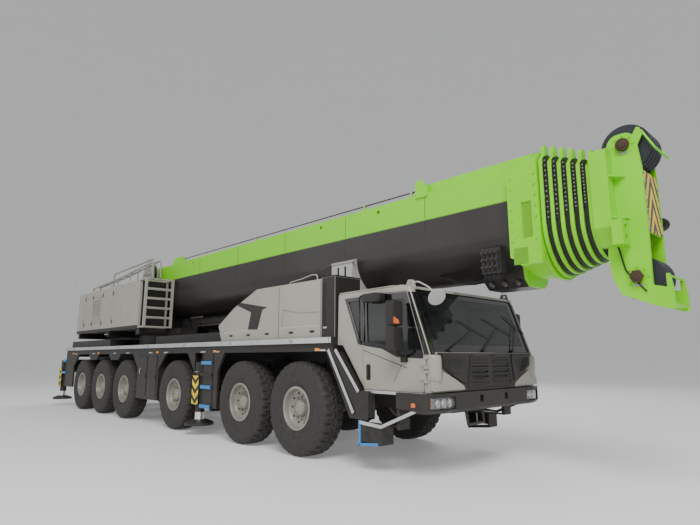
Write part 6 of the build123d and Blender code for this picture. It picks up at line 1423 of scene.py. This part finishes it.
# light strips laid along the cover's two lower creases: painted highlights where each crease catches the
# light
lines = [
    creased_strip(
        [(ahead(-2.36), DECK + 0.155), (ahead(-1.06), DECK + 0.21)], 0.004, -COVER - 0.0012, -COVER + 0.001
    ),
    creased_strip(
        [(ahead(-0.52), DECK + 0.185), (ahead(0.51), DECK + 0.195)], 0.004, -COVER - 0.0012, -COVER + 0.001
    )
]
piece("cover_crease_highlights", both(stack(*lines)), LIGHT_PLATE)
seam = creased_strip(
    [(ahead(-0.56), DECK + 0.02), (ahead(-0.56), DECK + 0.88)], 0.003, -COVER - 0.0005, -COVER + 0.002
)
piece("cover_seam", both(seam), BLACK)
latches = [pillow((ahead(x), -COVER - 0.003, DECK + 0.10), (0.11, 0.014, 0.035), 0.35, 10, 18)
           for x in (-2.1, -1.5, -0.9, -0.2, 0.35)]
piece("cover_latches", both(stack(*latches)), BLACK)
stack_low, stack_high = (ahead(0.5515), -COVER + 0.0275, DECK - 0.01), (ahead(0.8615), -0.858, DECK + 0.9515)
piece("stack_shell", both(brick(stack_low, stack_high)), DARK, bevel=0.012)
# a black skin laid where the stack's upright slot is: painted shade in the slot
slot_shade = slab_of([(ahead(0.585), DECK + 0.18), (ahead(0.655), DECK + 0.18), (ahead(0.655), DECK + 0.86),
                     (ahead(0.585), DECK + 0.86)], -COVER + 0.026, -COVER + 0.029, rounding=0.012)
piece("stack_slot_shade", both(slot_shade), BLACK)
ribs = [brick((ahead(0.70), -COVER + 0.024, z), (ahead(0.84), -COVER + 0.029, z + 0.012))
        for z in np.linspace(DECK + 0.08, DECK + 0.88, 17)]
piece("stack_ribs", both(stack(*ribs)), DARK)
catch = brick((ahead(0.60), -COVER + 0.018, DECK + 0.14), (ahead(0.68), -COVER + 0.028, DECK + 0.165))
piece("stack_catch", both(catch), SILVER, bevel=0.002)
cap = brick((ahead(0.545), -COVER + 0.022, DECK + 0.951), (ahead(0.868), -0.852, DECK + 0.968))
piece("stack_cap", both(cap), BLACK, bevel=0.004)

REST_HALF = BOOM + 0.125
wing = [(ahead(-0.318), DECK + 0.842), (ahead(-0.022), DECK + 0.782), (ahead(-0.022), REST - 0.003),
        (ahead(-0.318), REST - 0.072)]
piece("rest_wings", both(slab_of(wing, -REST_HALF - 0.0015, -REST_HALF + 0.001, rounding=0.004)), DARK)
flange = [
    (ahead(-0.018), REST - 0.001), (ahead(0.645), REST - 0.001), (ahead(0.50), REST - 0.043),
    (ahead(-0.018), REST - 0.043)
]
piece("rest_flange", both(slab_of(flange, -REST_HALF - 0.012, -REST_HALF + 0.001, rounding=0.002)), GREY)
# black strips where the bracket's two slots are: painted shade in the slots
shadow = [
    brick(
        (ahead(x) - 0.024, -REST_HALF - 0.0008, DECK + 0.985),
        (ahead(x) + 0.024, -REST_HALF + 0.02, REST - 0.092)
    ) for x in (0.15, 0.33)
]
piece("rest_slot_shadows", both(stack(*shadow)), BLACK)
rest_bolts = [
    (ahead(x), -REST_HALF - 0.0015, DECK + z) for x in (0.03, 0.10, 0.38, 0.46) for z in (0.86, 0.92)
]
piece("rest_bolts", both(bolts(rest_bolts, (0, -1, 0))), STEEL)
rail = bent(
    [
        (ahead(-0.28), -0.815, DECK + 0.93), (ahead(-0.28), -0.815, DECK + 1.16),
        (ahead(-0.42), -0.815, DECK + 1.18), (ahead(-0.75), -0.815, DECK + 1.13),
        (ahead(-1.10), -0.815, DECK + 1.10), (ahead(-1.15), -0.815, DECK + 0.93)
    ], 0.012, 12
)
piece("cover_rail", both(rail), PALE)

# %% Axles, brakes and the rear end
CHAMBER = [
    (0, 0), (0, 0.05), (0.012, 0.075), (0.06, 0.085), (0.066, 0.095), (0.076, 0.095), (0.082, 0.085),
    (0.15, 0.08), (0.165, 0.05), (0.165, 0)
]
chambers = []
for n in AXLES:
    for side in (-1, 1):
        for dx in (-0.21, 0.21):
            place = (AXLE_X[n] + dx, side * 0.86, TYRE_R + 0.10)
            chambers.append(lathe(place, (0, -side, 0), CHAMBER, 28))
piece("brake_chambers", stack(*chambers), CAST)
REAR = float(deck_low[0])
housings, reds, ambers, whites = [], [], [], []
for side in (-1, 1):
    housings.append(pillow((REAR - 0.03, side * 1.17, DECK - 0.05), (0.07, 0.46, 0.13), 0.2, 14, 30))
    for y, group in ((1.34, ambers), (1.24, reds), (1.12, reds), (1.01, whites)):
        group.append(lathe((REAR - 0.058, side * y, DECK - 0.05), (-1, 0, 0),
                           [(0, 0), (0, 0.046), (0.010, 0.045), (0.016, 0.036), (0.019, 0.0)], 28))
piece("rear_lamp_cases", stack(*housings), BLACK)
for name, group, material in (("rear_lamps_red", reds, RED), ("rear_lamps_amber", ambers, AMBER),
                              ("rear_lamps_clear", whites, CLEAR)):
    piece(name, stack(*group), material)
plate = slab_of([(-0.27, DECK - 0.165), (0.27, DECK - 0.165), (0.27, DECK - 0.045), (-0.27, DECK - 0.045)],
                REAR - 0.010, REAR - 0.004, "yz")
carrier_plate = slab_of(
    [(-0.29, DECK - 0.18), (0.29, DECK - 0.18), (0.29, DECK - 0.005), (-0.29, DECK - 0.005)], REAR - 0.005,
    REAR + 0.004, "yz"
)
piece("rear_blank_plate", plate, LIGHT_PLATE, bevel=0.001)
piece("rear_plate_holder", carrier_plate, BLACK, bevel=0.002)
print("carrier:", len(PIECES))

# %% [markdown]
# The slewing upper carries its machinery in a housing of flat panels. Panels are quiet things, so their edges
# do the talking: latches, hinges, a dark lower band, louvres with a lip each, and handrails folded down on
# the roof.

# %% Housing, rails and hose reel
SLEW_X = float(SLEW[0])
UPPER_BODY = "superstructure"
PANEL_Y = HOUSE_OUT
REAR_X, FRONT_X = SLEW_X - 4.07, SLEW_X + 0.92
band = brick(
    (REAR_X + 0.03, -PANEL_Y - 0.0025, PLATFORM + 0.151), (FRONT_X - 0.01, -PANEL_Y + 0.001, PLATFORM + 0.245)
)
left_band = brick(
    (REAR_X + 0.03, PANEL_Y - 0.001, PLATFORM + 0.151), (SLEW_X - 0.28, PANEL_Y + 0.0025, PLATFORM + 0.245)
)
piece("housing_band", stack(band, left_band), DARK, UPPER_BODY, bevel=0.001)
latches, hinges, lips = [], [], []
seams = (-3.45, -2.75, -1.90, -1.05, -0.30)
for x in seams:
    for z in (PLATFORM + 0.42, HOUSE_TOP - 0.22):
        latches.append(pillow((SLEW_X + x + 0.07, -PANEL_Y - 0.004, z), (0.04, 0.018, 0.11), 0.35, 10, 18))
    for z in (PLATFORM + 0.50, HOUSE_TOP - 0.32):
        hinges.append(straight(
            (SLEW_X + x - 0.035, -PANEL_Y - 0.006, z), (SLEW_X + x - 0.035, -PANEL_Y - 0.006, z + 0.09),
            0.011, 12
        ))
piece("housing_latches", both(stack(*latches[:-2])), BLACK, UPPER_BODY)
piece("housing_hinges", both(stack(*hinges[:-2])), STEEL, UPPER_BODY)
for k in range(7):
    z = PLATFORM + 0.66 + 0.085 * k
    lip = [(-PANEL_Y + 0.001, z + 0.052), (-PANEL_Y - 0.014, z + 0.036), (-PANEL_Y - 0.012, z + 0.033),
           (-PANEL_Y + 0.001, z + 0.044)]
    lips.append(prism(lip, SLEW_X - 2.66, SLEW_X - 1.99, "yz"))
piece("louvre_lips", both(stack(*lips)), GREY, UPPER_BODY)
corner = bent(
    [
        (REAR_X + 0.004, -PANEL_Y + 0.004, PLATFORM + 0.20),
        (REAR_X + 0.004, -PANEL_Y + 0.004, HOUSE_TOP - 0.04)
    ], 0.010, 10
)
piece("housing_corner_trim", both(corner), SILVER, UPPER_BODY)
rails = []
for y in (-1.33, -1.12):
    z0 = HOUSE_TOP + (0.10 if y < -1.2 else 0.16)
    start, end = ahead(-10.75), ahead(-6.30)
    rails.append(bent(
        [
            (start, y, HOUSE_TOP - 0.01), (start, y, z0), (start + 2.2, y, z0 + 0.10), (end, y, z0 + 0.30),
            (end + 0.05, y, HOUSE_TOP - 0.01)
        ], 0.021, 12
    ))
    for x in (start + 1.5, start + 3.0):
        rails.append(straight((x, y, HOUSE_TOP - 0.01), (x, y, z0 + 0.07 * (x - start) / 1.5), 0.013))
rails.append(bent(
    [
        (ahead(-9.30), -1.22, HOUSE_TOP - 0.01), (ahead(-9.30), -1.22, HOUSE_TOP + 0.42),
        (ahead(-6.50), -1.22, HOUSE_TOP + 0.52), (ahead(-6.45), -1.22, HOUSE_TOP - 0.01)
    ], 0.020, 12
))
for x in np.linspace(ahead(-10.6), ahead(-6.6), 8):  # cross bars between the two folded rails
    rise = HOUSE_TOP + 0.11 + 0.07 * (x - ahead(-10.75)) / 1.5
    rails.append(straight((x, -1.33, rise), (x, -1.12, rise + 0.06), 0.013))
piece("folded_handrails", stack(*rails), RIM, UPPER_BODY)
feet = [
    lathe(
        (x, y, HOUSE_TOP - 0.004), (0, 0, 1),
        [(0, 0), (0, 0.045), (0.012, 0.043), (0.014, 0.022), (0.03, 0.021), (0.03, 0)], 20
    ) for x in (ahead(-10.75), ahead(-9.25), ahead(-7.75)) for y in (-1.33, -1.12)
]
piece("rail_feet", stack(*feet), STEEL, UPPER_BODY)
# warning rod that points back over the tail
rod_from, rod_to = np.array([ahead(-10.9), -1.38, HOUSE_TOP + 0.12]), np.array(
    [ahead(-12.55), -1.38, HOUSE_TOP + 0.40]
)
rod_foot = straight((rod_from[0], rod_from[1], HOUSE_TOP - 0.01), rod_from + (0.0, 0.0, 0.01), 0.016, 12)
piece(
    "tail_rod", stack(rod_foot, straight(rod_from, rod_from + 0.93 * (rod_to - rod_from), 0.013, 12)),
    LIGHT_PLATE, UPPER_BODY
)
piece("tail_rod_tip", straight(rod_from + 0.93 * (rod_to - rod_from), rod_to, 0.018, 12), RED, UPPER_BODY)
rungs = [straight((SLEW_X + 1.215, -PANEL_Y + 0.02, PLATFORM + 0.15 + 0.25 * k), (SLEW_X + 1.215, -0.66,
                  PLATFORM + 0.15 + 0.25 * k), 0.0205, 12) for k in range(1, 5)]
sleeves = [(pts + (0.0, 0.0, 0.02), faces) for pts, faces in rungs]
piece("frame_rungs", stack(*sleeves), LIGHT_PLATE, UPPER_BODY)
inside = brick(
    (FRONT_X - 0.002, -PANEL_Y + 0.065, PLATFORM + 0.195), (FRONT_X + 0.004, -0.715, HOUSE_TOP - 0.045)
)
piece("frame_backing", inside, CHASSIS, UPPER_BODY)
reel_at = np.array([SLEW_X + 0.02, -0.76, HOUSE_TOP + 0.26])
turns = np.linspace(0, 2 * math.pi * 4.6, 230)
COIL_RADIUS, COIL_PITCH = 0.285, 0.0245
# how far out along the reel's axis each point lies
lay = -0.008 - COIL_PITCH * (turns / (2 * math.pi) - 0.35)
coil = reel_at + np.stack([COIL_RADIUS * np.cos(turns), lay, COIL_RADIUS * np.sin(turns)], -1)
reel_barrel = lathe(reel_at, (0, -1, 0), [(-0.029, 0), (-0.029, 0.275), (0.089, 0.275), (0.089, 0)], 48)
piece("reel_hose", stack(tube(coil, 0.0118, 8), reel_barrel), BLACK, UPPER_BODY)
reel_hub = lathe(
    reel_at + (0, -0.119, 0), (0, -1, 0),
    [(0, 0), (0, 0.10), (0.012, 0.095), (0.02, 0.05), (0.04, 0.045), (0.04, 0)], 32
)
reel_arms = [
    straight(
        reel_at + (0.09 * math.cos(t), -0.124, 0.09 * math.sin(t)),
        reel_at + (0.30 * math.cos(t), -0.124, 0.30 * math.sin(t)), 0.010
    ) for t in np.arange(6) * math.pi / 3
]
piece("reel_spokes", stack(reel_hub, *reel_arms), RIM, UPPER_BODY)
beacon = lathe(
    (SLEW_X - 3.80, -1.05, HOUSE_TOP - 0.003), (0, 0, 1),
    [(0, 0), (0, 0.065), (0.03, 0.062), (0.035, 0.055), (0.12, 0.052), (0.145, 0.035), (0.15, 0)], 36
)
piece("tail_beacon", beacon, AMBER, UPPER_BODY)
print("housing:", len(PIECES))

# %% [markdown]
# A rope drum is read from its layer of rope: a row of half circles turned about the drum's axis. The luffing
# cylinder has a gland nut, a feed pipe with clamps along the barrel, and a lock valve at its foot.

# %% Winch rope and luffing cylinder
drum_at = node_centre("winch_drum")
drum_half = float(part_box("winch_drum")[1][1]) - 0.042
strand = 0.0115
lay = []
for start in np.arange(-drum_half, drum_half - 2 * strand, 2 * strand):
    for t in np.linspace(0, math.pi, 6)[:-1]:
        lay.append((start + strand - strand * math.cos(t), 0.304 + strand * 1.1 * math.sin(t)))
lay.append((drum_half, 0.304))
lay = [(-drum_half, 0.299)] + lay + [(drum_half, 0.299)]
piece("rope_layer", lathe(drum_at, (0, 1, 0), lay, 72), ROPE, "winch_drum")
flange_bolts = [(drum_at[0] + 0.36 * math.cos(t), float(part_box("winch_drum")[1][1]) - 0.001,
                 drum_at[2] + 0.36 * math.sin(t)) for t in np.arange(16) * math.pi / 8]
piece(
    "drum_bolts", both(bolts(flange_bolts, (0, 1, 0), 0.010, 0.007)), STEEL, "winch_drum"
)

ram_foot = np.array([SLEW_X + 1.20, 0.0, PLATFORM + 0.31])
ram_head = np.array([ahead(-2.0), 0.0, PLATFORM + 0.34])
ram_way = (ram_head - ram_foot) / np.linalg.norm(ram_head - ram_foot)
barrel = float(np.linalg.norm(ram_head - ram_foot)) - 0.33
gland = [(barrel - 0.16, 0.152), (barrel - 0.15, 0.158), (barrel + 0.002, 0.158), (barrel + 0.012, 0.150),
         (barrel + 0.014, 0.1005), (barrel - 0.14, 0.1005)]
gland_nuts = [ram_foot + ram_way * (barrel + 0.012) + np.array([0, 0.128 * math.cos(t), 0.128 * math.sin(t)])
              for t in np.arange(12) * math.pi / 6]
piece(
    "ram_gland", stack(lathe(ram_foot, ram_way, gland, 64), bolts(gland_nuts, ram_way, 0.010, 0.010)),
    DARK_STEEL, "luff_cylinder"
)
pipe_off = np.array([0, -0.145, -0.085])
pipe = [
    ram_foot + ram_way * 0.30 + pipe_off * 0.8, ram_foot + ram_way * 0.42 + pipe_off * 1.05,
    ram_foot + ram_way * (barrel - 0.5) + pipe_off * 1.05,
    ram_foot + ram_way * (barrel - 0.25) + pipe_off * 0.85
]
ram_clamps = []
for share in np.linspace(0.18, 0.84, 5):
    c = ram_foot + ram_way * barrel * share + pipe_off * 1.0
    ram_clamps.append(brick(c - (0.022, 0.022, 0.022), c + (0.022, 0.022, 0.022)))
piece("ram_pipe", bent(pipe, 0.013, 12), STEEL, "luff_cylinder")
piece("ram_clamps", stack(*ram_clamps), CAST, "luff_cylinder", bevel=0.004)
lock_valve = brick(ram_foot + (0.33, -0.215, -0.17), ram_foot + (0.50, -0.11, -0.06))
piece("ram_lock_valve", lock_valve, CAST, "luff_cylinder", bevel=0.006)
bands = lathe(ram_foot, ram_way, [(0.62, 0.149), (0.62, 0.156), (0.66, 0.156), (0.66, 0.149)], 56)
bands2 = lathe(ram_foot, ram_way, [(2.2, 0.149), (2.2, 0.156), (2.24, 0.156), (2.24, 0.149)], 56)
piece("ram_bands", stack(bands, bands2), DARK_STEEL, "luff_cylinder")
print("luffing gear:", len(PIECES))

# %% [markdown]
# The crane operator sits in a glazed cab that has its own sliding door. The door is rebuilt as a frame with a
# pane in it, and the seat inside gets armrests with a lever on each.

# %% Operator's cab
OPX0, OPX1 = SLEW_X + 0.45, SLEW_X + 2.20
OPY0, OPY1 = 0.66, HALF - 0.06
OPZ0, OPZ1 = PLATFORM + 0.06, PLATFORM + 1.62
DOOR_Y = OPY1 + 0.006
op_door = [
    (OPX0 + 0.60, OPZ0 + 0.05), (OPX1 - 0.315, OPZ0 + 0.05), (OPX1 - 0.16, OPZ0 + 0.36),
    (OPX1 - 0.11, OPZ0 + 0.62), (OPX1 - 0.335, OPZ1 - 0.10), (OPX0 + 0.60, OPZ1 - 0.10)
]
op_hole = [
    (OPX0 + 0.69, OPZ0 + 0.56), (OPX1 - 0.21, OPZ0 + 0.56), (OPX1 - 0.205, OPZ0 + 0.64),
    (OPX1 - 0.39, OPZ1 - 0.19), (OPX0 + 0.69, OPZ1 - 0.19)
]
NODE = "operator_door"
piece(
    "op_door_shell", framed(op_door, op_hole, DOOR_Y, DOOR_Y + 0.030), GREY, NODE, bevel=0.002,
    stands_for=(NODE,)
)
piece("op_door_pane", slab_of(swollen(op_hole, 0.004), DOOR_Y + 0.010, DOOR_Y + 0.018), GLASS, NODE,
      stands_for=(NODE,))
piece(
    "op_door_border",
    framed(swollen(op_hole, 0.02), swollen(op_hole, -0.03), DOOR_Y + 0.026, DOOR_Y + 0.0315), BORDER, NODE,
    stands_for=(NODE,)
)
handle = bent(
    [
        (OPX1 - 0.505, DOOR_Y + 0.028, OPZ0 + 0.435), (OPX1 - 0.505, DOOR_Y + 0.056, OPZ0 + 0.435),
        (OPX1 - 0.305, DOOR_Y + 0.056, OPZ0 + 0.435), (OPX1 - 0.305, DOOR_Y + 0.028, OPZ0 + 0.435)
    ], 0.010, 12
)
piece("op_door_handle", handle, BLACK, NODE, stands_for=(NODE,))
side_hole = [
    (OPX0 + 0.09, OPZ0 + 0.62), (OPX0 + 0.57, OPZ0 + 0.62), (OPX0 + 0.57, OPZ1 - 0.19),
    (OPX0 + 0.10, OPZ1 - 0.19)
]
piece(
    "op_side_border",
    framed(swollen(side_hole, 0.03), swollen(side_hole, -0.02), OPY1 - 0.004, OPY1 + 0.0015), BORDER,
    UPPER_BODY
)


def front_x(z):
    """X of the operator cab's front face at a height: two straight lines that meet at the bend."""
    return float(np.interp(z, [OPZ0 + 0.33, OPZ0 + 0.62, OPZ1 - 0.06], [OPX1 - 0.06, OPX1, OPX1 - 0.23]))


wiper = [
    (front_x(z) + 0.016, y, z) for y, z in ((0.95, OPZ0 + 0.37), (1.0, OPZ0 + 0.66), (1.10, OPZ0 + 1.02))
]
blade = [
    (front_x(z) + 0.006, y, z) for y, z in ((1.12, OPZ0 + 0.72), (1.10, OPZ0 + 1.02), (1.08, OPZ0 + 1.30))
]
piece("op_wiper", stack(tube(wiper, 0.008, 8), tube(blade, 0.008, 6)), BLACK, UPPER_BODY)
work_lamps = [
    pillow((front_x(OPZ1 - 0.09) - 0.01, y, OPZ1 - 0.035), (0.09, 0.15, 0.09), 0.3) for y in (0.80, 1.30)
]
piece("op_work_lamps", stack(*work_lamps), BLACK, UPPER_BODY)
lamp_faces = [
    slab_of(
        [
            (y - 0.06, OPZ1 - 0.065), (y + 0.06, OPZ1 - 0.065), (y + 0.06, OPZ1 - 0.005),
            (y - 0.06, OPZ1 - 0.005)
        ], front_x(OPZ1 - 0.09) + 0.033, front_x(OPZ1 - 0.09) + 0.037, "yz", 0.01
    ) for y in (0.80, 1.30)
]
piece("op_lamp_faces", stack(*lamp_faces), CLEAR, UPPER_BODY)
INSIDE = "operator_interior"
op_floor, mid_y = OPZ0 + 0.03, (OPY0 + OPY1) / 2
seat("op_seat", INSIDE, UPPER_BODY, OPX0 + 0.285, mid_y, op_floor, op_floor + 0.33, 0.46)
arms, levers = [], []
for y in (OPY0 + 0.18, OPY1 - 0.18):
    arms.append(pillow((OPX0 + 0.56, y, op_floor + 0.615), (0.48, 0.075, 0.06), 0.45))
    arms.append(straight((OPX0 + 0.40, y, op_floor + 0.34), (OPX0 + 0.40, y, op_floor + 0.60), 0.018))
    levers.append(lathe(
        (OPX0 + 0.74, y, op_floor + 0.63), (0, 0, 1),
        [(0, 0), (0, 0.028), (0.03, 0.012), (0.09, 0.010), (0.10, 0.020), (0.15, 0.022), (0.165, 0)], 20
    ))
piece("op_armrests", stack(*arms), BLACK, UPPER_BODY, stands_for=(INSIDE,))
piece("op_levers", stack(*levers), BLACK, UPPER_BODY, stands_for=(INSIDE,))
console = slab_of([(OPX1 - 0.42, op_floor), (OPX1 - 0.36, op_floor), (OPX1 - 0.30, op_floor + 0.48),
                   (OPX1 - 0.25, op_floor + 0.70), (OPX1 - 0.33, op_floor + 0.71)], OPY0 + 0.035, OPY0 + 0.20,
                  rounding=0.01)
screen = [(OPX1 - 0.345, op_floor + 0.50), (OPX1 - 0.338, op_floor + 0.50), (OPX1 - 0.325, op_floor + 0.68),
          (OPX1 - 0.332, op_floor + 0.68)]
piece("op_console", console, TRIM, UPPER_BODY, bevel=0.004, stands_for=(INSIDE,))
piece("op_screen", prism(screen, OPY0 + 0.05, OPY0 + 0.185), BORDER, UPPER_BODY,
      stands_for=(INSIDE,))
step_top = [
    brick(
        (OPX0 + 0.71 + 0.04 * k, OPY1 + 0.004, OPZ0 - 0.031),
        (OPX0 + 0.72 + 0.04 * k, OPY1 + 0.036, OPZ0 - 0.026)
    ) for k in range(15)
]
piece("op_step_teeth", stack(*step_top), STEEL, UPPER_BODY)
print("operator's cab:", len(PIECES))

# %% [markdown]
# A studio floor is a sheet that curves up into the background far away, so that no horizon line shows. Soft
# light comes from a large lamp above the camera and a weaker one from the far side; the sky dome fills the
# shadows.

# %% Floor and light
KEY, FILL, BACK, SKY, GLOW = 3200.0, 700.0, 1200.0, 0.24, 0.16  # lamps in watts, dome and floor as strengths


def backdrop():
    """P = (x, y, z(r)): flat out to 60 m, then z rises as a quarter circle; a polar grid closed at its
    middle."""
    turn = np.linspace(0.05, math.pi / 2, 24)
    radii = np.concatenate([[0.0, 10.0, 60.0], 60 + 340 * np.sin(turn)])
    rise = np.concatenate([[0.0, 0.0, 0.0], 480 * (1 - np.cos(turn))])
    a = np.linspace(0, 2 * math.pi, 72, endpoint=False)
    pts = np.stack([radii[None] * np.cos(a)[:, None], radii[None] * np.sin(a)[:, None],
                    np.broadcast_to(rise, (72, len(radii)))], -1)
    return pts.reshape(-1, 3), grid_quads(72, len(radii), wrap_rows=True)


floor_mat, floor_nodes, floor_links, floor_shader, floor_where = shader_tree("studio_floor")
floor_tone = ramp(floor_nodes, floor_links, noise(floor_nodes, floor_links, floor_where, 0.6, 6.0), 0.3, 0.7)
floor_links.new(
    mix_colour(floor_nodes, floor_links, floor_tone, (0.84, 0.84, 0.835), (0.87, 0.87, 0.865)),
    floor_shader.inputs["Base Color"]
)
floor_shader.inputs["Roughness"].default_value = 0.7
floor_shader.inputs["Emission Color"].default_value = (1.0, 1.0, 1.0, 1.0)
floor_shader.inputs["Emission Strength"].default_value = GLOW
floor_points, floor_faces = backdrop()
floor_mesh = bpy.data.meshes.new("floor")
floor_mesh.from_pydata(floor_points.tolist(), [], floor_faces.tolist())
sewn(floor_mesh)
floor_mesh.materials.append(floor_mat)
floor = bpy.data.objects.new("floor", floor_mesh)
bpy.context.scene.collection.objects.link(floor)


def softbox(name, place, aim, size, watts):
    """A square area lamp at place that faces aim."""
    lamp = bpy.data.lights.new(name, "AREA")
    lamp.size = size
    lamp.energy = watts
    obj = bpy.data.objects.new(name, lamp)
    obj.location = place
    way = np.subtract(aim, place)
    flat = math.hypot(way[0], way[1])
    obj.rotation_euler = (math.atan2(flat, -way[2]), 0.0, math.atan2(-way[0], way[1]))
    bpy.context.scene.collection.objects.link(obj)


softbox("key", (14.0, -10.0, 15.0), (0.0, 0.0, 1.5), 9.0, KEY)
softbox("fill", (-9.0, -17.0, 9.0), (-3.0, 0.0, 1.5), 14.0, FILL)
softbox("back", (-6.0, 15.0, 14.0), (0.0, 0.0, 2.0), 12.0, BACK)
world = bpy.data.worlds.new("sky")
world.use_nodes = True
world.node_tree.nodes["Background"].inputs["Color"].default_value = (0.93, 0.96, 1.0, 1.0)
world.node_tree.nodes["Background"].inputs["Strength"].default_value = SKY
bpy.context.scene.world = world
print("stage ready")
